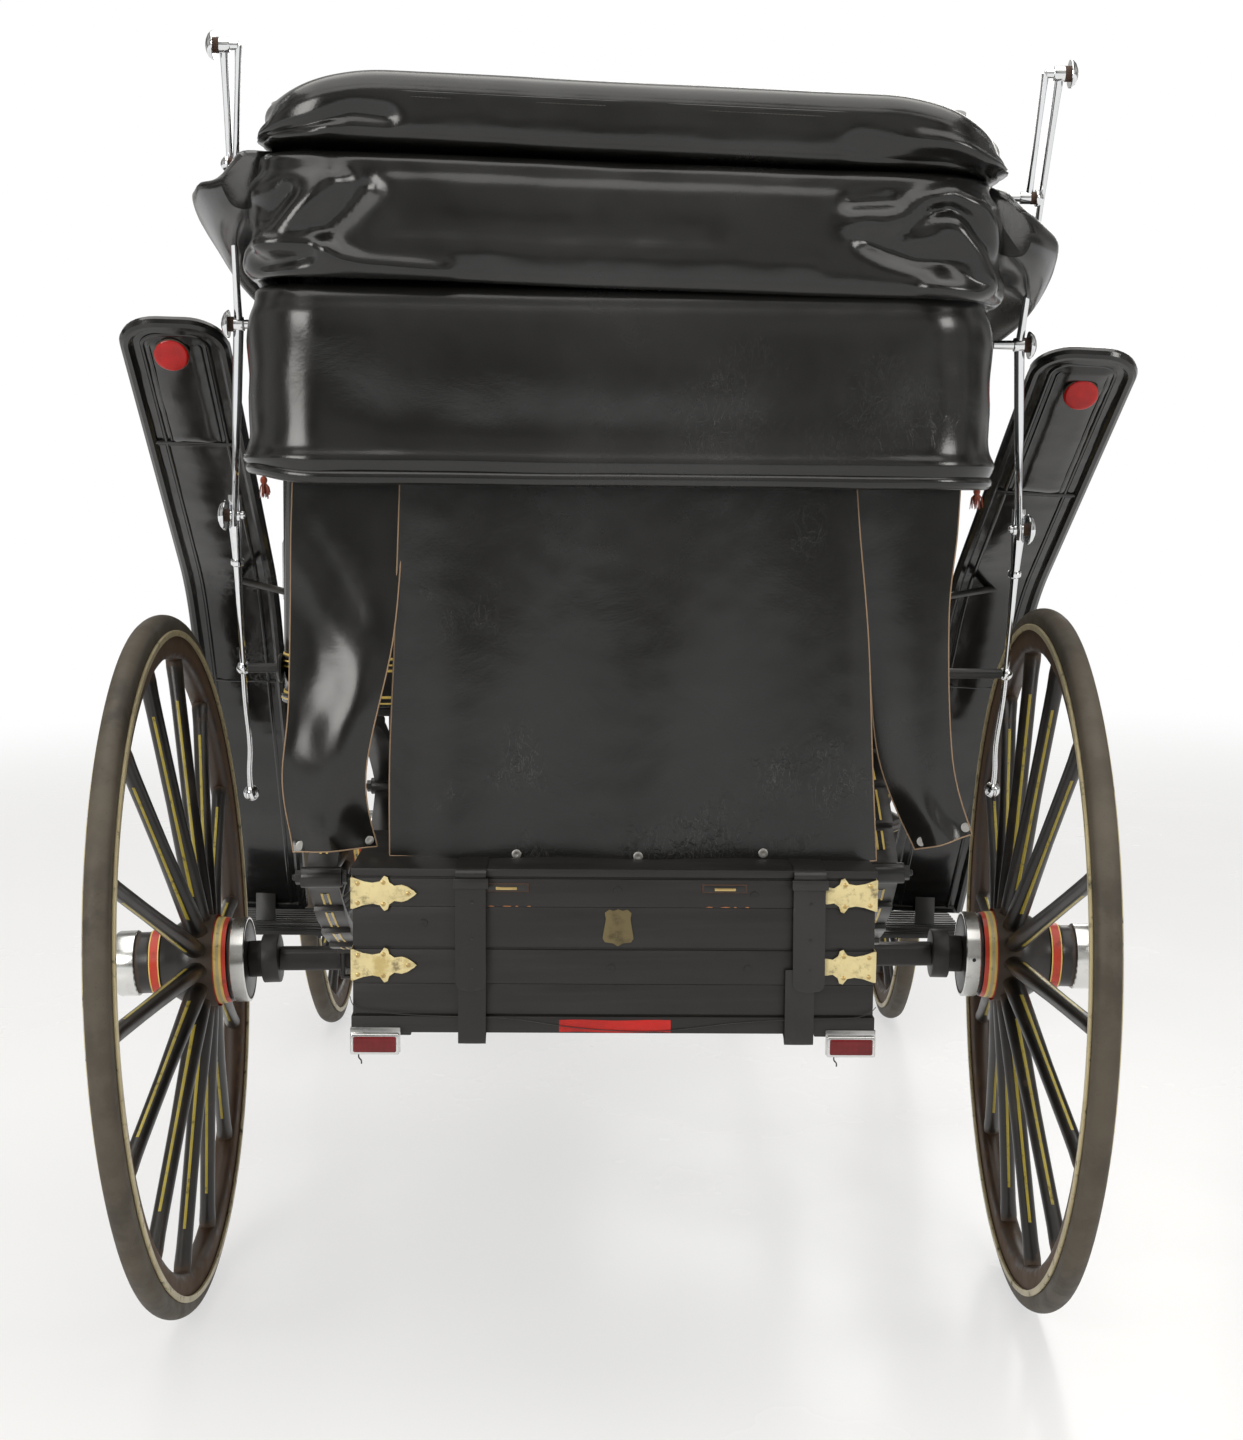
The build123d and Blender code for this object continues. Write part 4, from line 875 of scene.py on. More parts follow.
class CARRIAGE_OT_stage(bpy.types.Operator):
    """Set up the camera, pale floor, lamps and world"""

    bl_idname = "carriage.stage"
    bl_label = "Stage"

    def execute(self, context):
        settings = context.scene.carriage_stage
        self.camera(context, settings)
        self.floor(settings)
        self.lamps(context)
        self.world(context)
        context.scene.view_settings.view_transform = "Standard"
        return {"FINISHED"}

    def camera(self, context, settings):
        """Camera of the photo, behind the carriage and looking slightly down."""
        yaw, pitch, roll = settings.yaw, settings.pitch, settings.roll
        level = math.cos(pitch)
        forward = Vector((math.sin(yaw) * level, math.cos(yaw) * level, -math.sin(pitch)))
        right = Vector((math.cos(yaw), -math.sin(yaw), 0))
        up = right.cross(forward)
        turned_right = math.cos(roll) * right + math.sin(roll) * up
        turned_up = -math.sin(roll) * right + math.cos(roll) * up
        fresh()
        bpy.ops.object.camera_add()
        camera = context.object
        camera.name = "camera"
        axes = Matrix((turned_right, turned_up, -forward)).transposed().to_4x4()
        camera.matrix_world = Matrix.Translation(settings.camera_place) @ axes
        camera.data.sensor_fit = "HORIZONTAL"
        camera.data.sensor_width = 36
        camera.data.lens = settings.lens
        camera.data.dof.use_dof = False
        context.scene.camera = camera

    def floor(self, settings):
        """Pale floor with a soft sheen, which fades to white far off."""
        fresh()
        bpy.ops.mesh.primitive_grid_add(x_subdivisions=8, y_subdivisions=8, size=60)
        floor = named("floor")
        pale = Finish("pale_floor", Specular_IOR_Level=0.4)
        scuff = pale.noise(0.8, 5, 0.6).ramp(0.4, 0.7)
        colour = tuple(settings.floor_colour)
        duller = tuple(value * 0.95 for value in colour)
        pale.set(Base_Color=pale.mix(scuff, colour, duller), Roughness=0.20 + scuff * 0.12)
        glow = pale.node("ShaderNodeEmission", {}, {"Color": (1, 1, 1), "Strength": 1.0})
        path = pale.node("ShaderNodeLightPath")
        seen = Wire(pale, path.outputs["Is Camera Ray"]).math("MAXIMUM", path.outputs["Is Glossy Ray"])
        far = pale.axis("X").math("POWER", 2) + pale.axis("Y").math("POWER", 2)
        share = seen * far.ramp(4.0, 60.0, 0.62, 1.0)
        inputs = {0: share, 1: pale.shader.outputs[0], 2: glow.outputs[0]}
        blend = pale.node("ShaderNodeMixShader", {}, inputs)
        pale.put(pale.tree.nodes["Material Output"].inputs["Surface"], blend.outputs[0])
        floor.data.materials.append(pale.material)

    def lamps(self, context):
        """Large soft lamps above, to the left, to the right and in front."""
        rows = (
            # name, place, aimed at, size, watts
            ("ceiling_panel", (0.0, -1.8, 4.4), (0, -1.2, 0), (5.5, 5.5), 185),
            ("left_window", (-3.4, -5.9, 2.7), (-0.2, -2.3, 1.1), (2.1, 2.0), 100),
            ("right_window", (3.8, -4.9, 2.9), (0.1, -2.3, 1.2), (1.4, 1.4), 50),
            ("front_panel", (1.5, 6.0, 3.4), (0, 0.5, 0.7), (3.5, 2.5), 90),
        )
        for name, place, aim, size, watts in rows:
            fresh()
            bpy.ops.object.light_add(type="AREA", location=place)
            lamp = context.object
            lamp.name = name
            lamp.rotation_euler = (Vector(aim) - Vector(place)).to_track_quat("-Z", "Y").to_euler()
            lamp.data.shape = "RECTANGLE"
            lamp.data.size, lamp.data.size_y = size
            lamp.data.energy = watts
            lamp.data.color = LAMP_COLOUR

    def world(self, context):
        """White to the camera, soft light elsewhere, and lighter and darker walls for gloss to mirror."""
        world = bpy.data.worlds.new("pale_room")
        context.scene.world = world
        world.use_nodes = True
        room = Nodes(world.node_tree)
        room.tree.nodes.clear()

        def shaded(kind, settings, inputs):
            return room.node(kind, settings, inputs).outputs[0]

        path = room.node("ShaderNodeLightPath").outputs
        seen = shaded("ShaderNodeMath", {"operation": "MAXIMUM"},
                      {0: path["Is Camera Ray"], 1: path["Is Transmission Ray"]})
        around_it = room.node("ShaderNodeTexCoord").outputs["Generated"]
        walls = shaded("ShaderNodeTexNoise", {}, {"Vector": around_it, "Scale": 2.6, "Detail": 1.0})
        light = shaded("ShaderNodeMapRange", {}, {"Value": walls, "From Min": 0.36, "From Max": 0.64,
                                                  "To Min": 0.08, "To Max": 0.56})
        lights = (((1.0, 0.975, 0.92), 0.42), (LAMP_COLOUR, light), ((1, 1, 1), 1.0))
        soft, mirrored, white = (shaded("ShaderNodeBackground", {}, {"Color": colour, "Strength": strength})
                                 for colour, strength in lights)
        first = shaded("ShaderNodeMixShader", {}, {0: path["Is Glossy Ray"], 1: soft, 2: mirrored})
        second = shaded("ShaderNodeMixShader", {}, {0: seen, 1: first, 2: white})
        room.node("ShaderNodeOutputWorld", {}, {"Surface": second})


class CARRIAGE_OT_wheels(bpy.types.Operator):
    """Build the dished wheels with their painted lines, solid tyres and nickel bands"""

    bl_idname = "carriage.wheels"
    bl_label = "Wheels"

    def execute(self, context):
        settings = context.scene.carriage_wheels
        for end, axle_y, radius, spokes in WHEELS:
            masters = {
                "wheel": (self.wheel(settings, radius, spokes), "wheel_paint"),
                "tyre": (self.tyre(settings, radius), "tyre_rubber"),
                "hub_bands": (self.bands(settings), "nickel"),
            }
            for name, side in SIDES:
                for kind, (master, slot) in masters.items():
                    copy = twin(master, f"{kind}_of_{end}_{name}", wheel_place(side, axle_y, radius))
                    settle(copy, slot, f"{end}_wheel_{name}", False, (f"{kind}_{end}_{name}",))
            for master, _ in masters.values():
                bpy.data.objects.remove(master)
        return {"FINISHED"}

    def wheel(self, settings, radius, spokes):
        """Hub, spokes and rim of one wheel."""
        seat = radius - settings.tyre_height
        felloe_inner = seat - settings.felloe_depth
        parts = [self.hub(settings)]
        parts += self.rim(settings, seat, felloe_inner)
        spoke = self.spoke(settings, felloe_inner)
        for turn in range(spokes):
            angle = -2 * math.pi * (turn + 0.5) / spokes
            parts.append(twin(spoke, f"spoke_{turn}", Matrix.Rotation(angle, 4, "X")))
        bpy.data.objects.remove(spoke)
        return joined("wheel", parts)

    def hub(self, settings):
        """Turned hub with its painted rings."""
        inner, outer = settings.hub_inner, settings.hub_outer
        profile = (
            (inner, 0.022), (inner, 0.060), (inner + 0.002, 0.066), (inner + 0.026, 0.066),
            (inner + 0.027, 0.0635), (inner + 0.029, 0.0635), (inner + 0.030, 0.069), (inner + 0.037, 0.0705),
            (inner + 0.041, 0.0712), (inner + 0.046, 0.0716), (inner + 0.050, 0.072), (inner + 0.058, 0.0726),
            (inner + 0.059, 0.0715), (inner + 0.061, 0.0745), (-0.070, 0.076), (-0.034, 0.076),
            (-0.022, 0.074), (-0.010, 0.067), (0.004, 0.058), (0.016, 0.0535), (0.019, 0.0525),
            (0.021, 0.0545), (0.023, 0.0545), (0.036, 0.0540), (0.038, 0.0540), (0.040, 0.0515),
            (0.044, 0.0505), (outer, 0.0505), (outer, 0.022),
        )
        hub = painted(turned("hub", profile, 64), "wheel_paint", "red_line", "gold_line", "cream_line")
        # Painted rings: finish, start, end, least radius
        rings = ((1, inner + 0.030, inner + 0.059, 0.0685), (2, inner + 0.037, inner + 0.050, 0.0685),
                 (3, inner + 0.041, inner + 0.046, 0.0685), (1, 0.023, 0.036, 0.052),
                 (2, 0.021, 0.023, 0.052), (2, 0.036, 0.038, 0.052))
        for finish, start, end, least in rings:
            lined(hub, finish, lambda c: start < c.x < end and math.hypot(c.y, c.z) > least)
        return hub

    def rim(self, settings, seat, felloe_inner):
        """Wooden rim, and the iron channel that holds the tyre."""
        half = 0.018
        felloe = turned("felloe", (
            (-half, seat), (-half, felloe_inner + 0.012), (-half + 0.003, felloe_inner + 0.005),
            (-half + 0.009, felloe_inner + 0.001), (0, felloe_inner), (half - 0.009, felloe_inner + 0.001),
            (half - 0.003, felloe_inner + 0.005), (half, felloe_inner + 0.012), (half, seat),
            (half - 0.001, seat + 0.0002), (-half + 0.001, seat + 0.0002), (-half, seat),
        ), RIM_STEPS, ring=True)
        parts = [painted(felloe, "felloe_paint")]
        width = settings.tyre_width / 2
        for edge in (-1, 1):
            low, high = sorted((edge * width, edge * (width + 0.005)))
            lip = turned("channel_lip", (
                (low, seat - 0.005), (low, seat + 0.0035), (low + 0.0015, seat + 0.005),
                (high - 0.0015, seat + 0.005), (high, seat + 0.0035), (high, seat - 0.0035),
                (high - 0.0015, seat - 0.005), (low, seat - 0.005),
            ), RIM_STEPS, ring=True)
            parts.append(painted(lip, "cream_line"))
        band = turned("channel_band", (
            (-width, seat - 0.005), (-width, seat - 0.0003), (width, seat - 0.0003), (width, seat - 0.005),
            (-width, seat - 0.005),
        ), RIM_STEPS, ring=True)
        parts.append(painted(band, "rusty_iron"))
        return parts

    def spoke(self, settings, felloe_inner):
        """Tapered spoke that leans from its foot out to the rim, with a line down each side."""
        foot, head = 0.070, felloe_inner + 0.004
        line_start, line_end = 0.122, head - 0.072
        rings = (foot, 0.086, 0.104, line_start, line_start + 0.0006, mixture(line_start, line_end, 0.25),
                 mixture(line_start, line_end, 0.5), mixture(line_start, line_end, 0.75), line_end - 0.0006,
                 line_end, head - 0.040, head - 0.014, head)
        line_angle = math.degrees(math.asin(settings.line_width / 2 / 0.0135))
        half_turn = (-line_angle, line_angle, 32, 55, 78, 102, 125, 148)
        angles = [math.radians(a) for a in (*half_turn, *(180 + a for a in half_turn))]

        def middle(radius):
            return mixture(-settings.dish, 0.0, (radius - foot) / (head - foot))

        def place(u, v):
            radius = rings[round(v * (len(rings) - 1))]
            share = (radius - foot) / (head - foot)
            deep = mixture(0.0175, 0.0128, ease(share, 0.0, 0.55)) + 0.0015 * hump(share, 0.97, 0.05)
            wide = mixture(0.0150, 0.0125, ease(share, 0.0, 0.7)) - 0.0015 * hump(share, 0.02, 0.06)
            angle = angles[round(u * len(angles)) % len(angles)]
            return (middle(radius) + deep * math.sin(angle), wide * math.cos(angle), radius)

        spoke = shaped("spoke", len(angles), len(rings) - 1, place, closed=True)
        painted(spoke, "wheel_paint", "yellow_line")
        lined(spoke, 1, lambda c: (line_start < c.z < line_end and abs(c.y) > 0.0110
                                   and abs(c.x - middle(c.z)) < 0.0015))
        return smooth(spoke, 50)

    def tyre(self, settings, radius):
        """Solid tyre with a round crown."""
        seat = radius - settings.tyre_height
        half = settings.tyre_width / 2
        profile = [(-half, seat), (-half, radius - 0.0125)]
        for step in range(-4, 5):
            angle = math.radians(step * 11.2)
            profile.append((CROWN * math.sin(angle), radius - CROWN + CROWN * math.cos(angle)))
        profile += [(half, radius - 0.0125), (half, seat), (-half, seat)]
        tyre = turned("tyre", profile, 144, ring=True)
        return painted(tyre, "tyre_rubber")

    def bands(self, settings):
        """Nickel band behind the hub, and its cap with an oil hole, drawn as a black disc that paints the
        shade and the oil in the hole.
        """
        inner, outer = settings.hub_inner, settings.hub_outer
        band = turned("band", (
            (inner, 0.066), (inner, 0.0688), (inner + 0.0015, 0.070), (inner + 0.0225, 0.070),
            (inner + 0.024, 0.0688), (inner + 0.024, 0.066), (inner, 0.066),
        ), 72, ring=True)
        cap = turned("cap", (
            (outer, 0.020), (outer, 0.0525), (outer + 0.0015, 0.054), (outer + 0.030, 0.054),
            (outer + 0.034, 0.0525), (outer + 0.037, 0.048), (outer + 0.038, 0.042), (outer + 0.0375, 0.034),
            (outer + 0.035, 0.032), (outer + 0.035, 0.012), (outer + 0.037, 0.0095), (outer + 0.0375, 0.004),
        ), 64)
        # Black disc for the oil hole: painted shade of the hole, with its oil
        hole = turned("oil_hole_painted_shade", ((0.0, 0.0032), (0.0006, 0.0032), (0.0009, 0.0022)), 14, "Z")
        placed(hole, (inner + 0.012, 0, 0.0696)).data.transform(Matrix.Rotation(math.radians(86), 4, "X"))
        parts = [painted(band, "nickel"), painted(cap, "nickel"), painted(hole, "iron_black")]
        return joined("bands", parts)


class CarriageHoodSettings(bpy.types.PropertyGroup):
    """Sizes of the folded hood and its curtains."""

    leather: bpy.props.FloatProperty(
        name="Leather", description="Thickness of the hood's leather", default=0.003, unit="LENGTH")
    crumple: bpy.props.FloatProperty(
        name="Crumple", description="How strongly the folded leather is creased", default=1.0, min=0.0,
        max=2.0)
    bead: bpy.props.FloatProperty(
        name="Bead", description="Radius of the padded roll along the hem", default=0.0105, unit="LENGTH")
    iron: bpy.props.FloatProperty(
        name="Iron", description="Radius of the bright hood irons", default=0.0052, unit="LENGTH")
    curtain: bpy.props.FloatProperty(
        name="Curtain", description="Thickness of the curtain leather", default=0.0022, unit="LENGTH")


HOOD_FRONT_Y = -0.062
# Shares of the way around the hood at which its sides, corners and back begin
HOOD_TURNS = (0.235, 0.325, 0.675, 0.765)
# Plans: half width, place of the back, radius of the corners
HOOD_OUTER = (0.508, -0.590, 0.105)
HOOD_INNER = (0.443, -0.395, 0.040)
HOOD_HEM_Z = 1.366
FAN_REAR_Y = -0.43
FAN_FRONT_SHARE = 0.15


def around(share, size, front=HOOD_FRONT_Y):
    """Place and outward direction on a plan of two sides, a back and round corners between them.

    The share runs from the right side's front end round the back to the left side's.
    """
    half, rear, corner = size
    a, b, c, d = HOOD_TURNS
    if share <= a:
        return half, mixture(front, rear + corner, share / a), 1.0, 0.0
    if share <= b:
        angle = math.pi / 2 * (share - a) / (b - a)
        return (half - corner + corner * math.cos(angle), rear + corner - corner * math.sin(angle),
                math.cos(angle), -math.sin(angle))
    if share <= c:
        return mixture(half - corner, corner - half, (share - b) / (c - b)), rear, 0.0, -1.0
    if share <= d:
        angle = math.pi / 2 * (share - c) / (d - c)
        return (-half + corner - corner * math.sin(angle), rear + corner - corner * math.cos(angle),
                -math.sin(angle), -math.cos(angle))
    return -half, mixture(rear + corner, front, (share - d) / (1 - d)), -1.0, 0.0


def fanned(y, z):
    """The folded stack narrows toward its pivots in front, as its bows do."""
    share = mixture(FAN_FRONT_SHARE, 1.0, ease(y, HOOD_FRONT_Y + 0.02, FAN_REAR_Y))
    return HOOD_HEM_Z + 0.02 + (z - HOOD_HEM_Z - 0.02) * share if z > HOOD_HEM_Z + 0.02 else z


def corner_fall(x, depth=0.052):
    """How far the folded roof falls away toward its corners."""
    return depth * (max(abs(x) - 0.33, 0.0) / 0.18) ** 2


# Tiers: name, (share of the way inward, way out, height) through the section, tilt, slump to the right, girth
HOOD_TIERS = (
    ("lower_tier", (
        (0.30, 0.0, 1.372), (0.12, 0.0, 1.370), (0.0, 0.006, 1.374), (0.0, 0.012, 1.386),
        (0.0, 0.0135, 1.394), (0.0, 0.0075, 1.412), (0.0, 0.005, 1.45), (0.0, 0.006, 1.53),
        (0.0, 0.005, 1.580), (0.0, -0.002, 1.606), (0.06, 0.0, 1.620), (0.18, 0.0, 1.626),
    ), 0.0, 0.004, 0.31),
    ("middle_tier", (
        (0.22, 0.0, 1.634), (0.06, 0.0, 1.628), (0.0, 0.004, 1.627), (0.0, 0.0105, 1.634),
        (0.0, 0.013, 1.650), (0.0, 0.011, 1.68), (0.0, 0.008, 1.72), (0.0, 0.003, 1.750),
        (0.0, -0.004, 1.770), (0.05, 0.0, 1.784), (0.14, 0.0, 1.791), (0.34, 0.0, 1.793),
    ), math.radians(1.35), 0.010, 0.30),
    ("top_tier", (
        (0.32, 0.0, 1.800), (0.16, 0.0, 1.803), (0.06, 0.0, 1.806), (0.0, -0.004, 1.811),
        (0.0, 0.002, 1.819), (0.0, 0.004, 1.834), (0.0, 0.004, 1.852), (0.0, 0.0035, 1.866),
        (0.0, 0.0005, 1.876), (0.05, 0.0, 1.888), (0.16, 0.0, 1.896), (0.40, 0.0, 1.902),
        (0.70, 0.0, 1.901), (0.93, 0.0, 1.893), (1.0, 0.0, 1.876), (1.0, 0.0, 1.842),
    ), math.radians(1.9), 0.018, 0.42),
)
# Length of every tier round the seat's back and sides
STITCHES = 250
ROLL_STEPS, SEAM_STEPS = 48, 64

# Creases seen from behind: tier, depth out, width, line of (x, z)
HOOD_CREASES = (
    ("middle_tier", 0.013, 0.020, ((-0.398, 1.752), (-0.432, 1.712), (-0.470, 1.672))),
    ("middle_tier", 0.011, 0.012, ((-0.474, 1.664), (-0.440, 1.661), (-0.404, 1.664))),
    ("middle_tier", -0.014, 0.020, ((-0.352, 1.742), (-0.375, 1.716), (-0.404, 1.690))),
    ("middle_tier", -0.012, 0.013, ((-0.452, 1.732), (-0.476, 1.696))),
    ("middle_tier", 0.010, 0.014, ((-0.404, 1.652), (-0.352, 1.640), (-0.250, 1.634))),
    ("middle_tier", -0.012, 0.012, ((-0.488, 1.642), (-0.448, 1.648), (-0.420, 1.656))),
    ("middle_tier", -0.003, 0.024, ((-0.300, 1.700), (-0.150, 1.697), (0.10, 1.700))),
    ("middle_tier", 0.003, 0.018, ((-0.340, 1.668), (0.05, 1.672), (0.250, 1.668))),
    ("middle_tier", -0.012, 0.013, ((0.366, 1.712), (0.402, 1.740), (0.432, 1.747), (0.460, 1.733),
                                    (0.487, 1.697), (0.505, 1.652))),
    ("middle_tier", 0.011, 0.014, ((0.372, 1.727), (0.402, 1.756), (0.434, 1.764), (0.470, 1.748),
                                   (0.500, 1.704))),
    ("middle_tier", 0.012, 0.014, ((0.433, 1.722), (0.461, 1.687), (0.479, 1.645), (0.462, 1.632),
                                   (0.408, 1.636))),
    ("middle_tier", -0.015, 0.018, ((0.322, 1.700), (0.352, 1.686), (0.386, 1.676), (0.424, 1.676))),
    ("middle_tier", -0.009, 0.013, ((0.300, 1.747), (0.354, 1.752))),
    ("middle_tier", 0.007, 0.018, ((0.300, 1.722), (0.344, 1.722))),
    ("lower_tier", -0.003, 0.050, ((-0.480, 1.560), (-0.400, 1.500), (-0.340, 1.440))),
    ("lower_tier", -0.003, 0.040, ((0.480, 1.580), (0.430, 1.520), (0.400, 1.440))),
    ("lower_tier", 0.003, 0.060, ((-0.200, 1.500), (0.150, 1.490))),
    ("top_tier", -0.008, 0.013, ((-0.470, 1.822), (-0.430, 1.824), (-0.380, 1.838), (-0.330, 1.832))),
    ("top_tier", 0.009, 0.012, ((-0.486, 1.806), (-0.440, 1.804), (-0.405, 1.814))),
    ("top_tier", -0.010, 0.015, ((0.300, 1.822), (0.366, 1.812), (0.420, 1.818), (0.478, 1.806))),
    ("top_tier", 0.008, 0.014, ((0.380, 1.838), (0.440, 1.842), (0.480, 1.826))),
)


class CARRIAGE_OT_hood(bpy.types.Operator):
    """Lay the leather hood back in three tiers over its bows, with its ears, padded roll and lining"""

    bl_idname = "carriage.hood"
    bl_label = "Folded hood"

    def execute(self, context):
        settings = context.scene.carriage_hood
        for row in HOOD_TIERS:
            self.tier(settings, *row)
        self.lining()
        self.roll(settings)
        self.rim_seam()
        self.ears()
        self.bows()
        return {"FINISHED"}

    def tier(self, settings, name, section, tilt, slump, girth):
        """One skin of the stack, with its set creases, soft ruffles and slump."""
        creases = [row[1:] for row in HOOD_CREASES if row[0] == name]

        def place(u, v):
            inward, out, z = through(section, v)
            x, y, nx, ny = around(u, HOOD_OUTER)
            inner_x, inner_y, _, _ = around(u, HOOD_INNER)
            inward = min(max(inward, 0.0), 1.0)
            x, y = mixture(x, inner_x, inward), mixture(y, inner_y, inward)
            outside = 1.0 - ease(inward, 0.0, 0.5)
            push = 0.0035 * ruffle(x * 1.2, y, z * 1.4, 0.16, len(name))
            push += 0.0010 * ruffle(x, y, z, 0.045, 3.0)
            if name == "lower_tier":
                push *= 0.35
            if ny < -0.15:
                behind = min(1.0, -ny * 1.5)
                push += behind * sum(depth * hump(toward((x, z), line), 0, width)
                                     for depth, width, line in creases)
            if abs(nx) > 0.4:
                # Creases that run from the back toward the bows' pivots
                reach = (abs(nx) - 0.4) / 0.6 * (0.25 if name == "lower_tier" else 1.0)
                push += reach * (0.005 * math.sin(z * 70 + y * 26) + 0.004 * ruffle(y, z * 3, x, 0.07, 5))
            out += push * settings.crumple * outside
            z = fanned(y, z) + 0.0025 * ruffle(x, y, 0, 0.22, 7) * outside
            lift = 0.010 * ease(-x, 0.42, 0.505) if name == "lower_tier" and z < 1.39 else 0.0
            if name == "top_tier":
                lift -= corner_fall(x) * ease(z, 1.80, 1.87)
            return (x + slump + nx * out, y + ny * out, z - math.tan(tilt) * x + lift)

        skin = shaped(f"hood_{name}", 260, 64, place)
        if skin.data.polygons[len(skin.data.polygons) // 2].normal.y > 0:
            skin.data.flip_normals()
        painted(skin, "hood_leather", "raw_edge")
        sheet_of(skin, settings.leather)
        smooth(skin, 60)
        settle(skin, "hood_leather", stands_for=("hood_leather",) if name == "lower_tier" else ())

    def lining(self):
        """Cloth inside the stack, gathered between the bows."""
        section = ((0.97, 0, 1.852), (0.99, 0, 1.80), (1.03, 0, 1.755), (0.96, 0, 1.71), (1.03, 0, 1.66),
                   (0.97, 0, 1.61), (1.03, 0, 1.55), (1.0, 0, 1.47), (1.0, 0, 1.40), (1.2, 0, 1.366))

        def place(u, v):
            inward, _, z = through(section, v)
            x, y, nx, ny = around(u, HOOD_OUTER)
            inner_x, inner_y, _, _ = around(u, HOOD_INNER)
            x, y = mixture(x, inner_x, inward), mixture(y, inner_y, inward)
            gather = 0.003 * math.sin(u * 330) * (0.4 + 0.6 * ease(z, 1.4, 1.8))
            gather += 0.002 * ruffle(x, y, z, 0.06)
            return (x + 0.008 + nx * gather, y + ny * gather, fanned(y, z) - 0.014 * x)

        cloth = shaped("hood_lining", 260, 36, place)
        if cloth.data.polygons[len(cloth.data.polygons) // 2].normal.y < 0:
            cloth.data.flip_normals()
        painted(cloth, "lining_cloth")
        sheet_of(cloth, 0.0015)
        smooth(cloth, 60)
        settle(cloth, "seat_leather")

    def roll(self, settings):
        """Padded roll along the hem, with the welt above it."""
        points = []
        for step in range(ROLL_STEPS + 1):
            x, y, nx, ny = around(step / ROLL_STEPS, HOOD_OUTER)
            lift = 0.012 * ease(-x, 0.43, 0.505)
            points.append((x + nx * 0.005 + 0.004, y + ny * 0.005, HOOD_HEM_Z + 0.003 + lift
                           + 0.0015 * ruffle(x, y, 0, 0.2, 2)))
        bead = rod("hood_roll", points, settings.bead, order=3, sides=6, resolution=4)
        settle(painted(bead, "hood_leather"), "hood_leather")
        welt = [(x, y, z + settings.bead + 0.0035) for x, y, z in points]
        piping = painted(rod("hood_welt", welt, 0.0022, order=3, sides=2, resolution=3), "patent_leather")
        settle(piping, "hood_leather")

    def rim_seam(self):
        """Stitched strip along the top tier's rim."""
        tilt, slump = HOOD_TIERS[2][2:4]

        def on_rim(share, out, z, depth):
            """Place on the rim, and the way outward from it."""
            x, y, nx, ny = around(share, HOOD_OUTER)
            z = fanned(y, z) - math.tan(tilt) * x - corner_fall(x, depth)
            return (x + nx * out + slump, y + ny * out, z), nx, ny

        points = [on_rim(step / SEAM_STEPS, 0.0055, 1.8665, 0.052)[0] for step in range(SEAM_STEPS + 1)]
        cord = painted(rod("hood_rim_welt", points, 0.0016, order=3, sides=2, resolution=3), "hood_leather")
        settle(cord, "hood_leather")
        stitch = block("stitch", (-0.0022, -0.0006, -0.0006), (0.0022, 0.0006, 0.0006), 0.0004, 1)
        stitches = []
        for step in range(STITCHES):
            spot, nx, ny = on_rim(mixture(0.20, 0.80, step / (STITCHES - 1)), 0.0062, 1.8605, 0.049)
            turn = Matrix.Rotation(math.atan2(nx, -ny), 4, "Z")
            stitches.append(twin(stitch, f"stitch_{step}", Matrix.Translation(spot) @ turn))
        bpy.data.objects.remove(stitch)
        thread = painted(joined("hood_stitches", stitches), "thread")
        settle(thread, "hood_leather")

    def ears(self):
        """Leather that bulges out past the bows on each side."""
        outlines = {
            -1: ((-0.478, 1.824), (-0.528, 1.820), (-0.556, 1.806), (-0.588, 1.788), (-0.602, 1.778),
                 (-0.598, 1.758), (-0.572, 1.722), (-0.548, 1.714), (-0.520, 1.722), (-0.478, 1.738)),
            1: ((0.488, 1.800), (0.540, 1.784), (0.572, 1.774), (0.598, 1.760), (0.626, 1.724),
                (0.630, 1.694), (0.620, 1.668), (0.603, 1.660), (0.566, 1.672), (0.488, 1.700)),
        }
        for name, side in SIDES:
            outline = outlines[side]
            middle_z = sum(z for _, z in outline) / len(outline)
            root_x = outline[0][0]

            def place(u, v):
                x, z = through(outline + (outline[0],), u % 1.0)
                swell = math.sin(math.pi * mixture(0.04, 0.97, v)) ** 0.55
                y = mixture(-0.50, -0.19, v)
                fold = 0.006 * math.sin(u * 13 + v * 6) * swell + 0.004 * ruffle(x, y, z, 0.05, side)
                return (root_x + (x - root_x) * (0.35 + 0.65 * swell) + side * fold,
                        y, mixture(middle_z, z, 0.55 + 0.45 * swell) - 0.12 * v ** 2 + fold)

            ear = shaped(f"hood_ear_{name}", 48, 22, place, closed=True)
            painted(ear, "hood_leather")
            smooth(ear, 60)
            settle(ear, "hood_leather")

    def bows(self):
        """Ends of the wooden bows, covered in leather, where they run down to their pivots."""
        for name, side in SIDES:
            rows = ((1.43, 0.006), (1.62, 0.030), (1.79, 0.052), (1.88, 0.074))
            for number, (rear_z, lift) in enumerate(rows):
                points = ((side * 0.472, -0.46, rear_z), (side * 0.474, -0.36, mixture(rear_z, 1.40, 0.32)),
                          (side * 0.478, -0.20, mixture(rear_z, 1.40, 0.74)),
                          (side * 0.480, -0.095, 1.398 + lift))
                bow = rod(f"hood_bow_{number}_{name}", points, 0.0105, order=3, sides=4)
                settle(painted(bow, "black_lacquer"), "hood_leather")
            hinge = turned(f"hood_hinge_{name}", ((0.0, 0.014), (0.0, 0.030), (0.004, 0.032), (0.010, 0.030),
                                                  (0.012, 0.018), (0.016, 0.016), (0.018, 0.010)), 32)
            settle(painted(placed(hinge, (side * 0.494, -0.105, 1.425), side), "chrome"), "nickel")


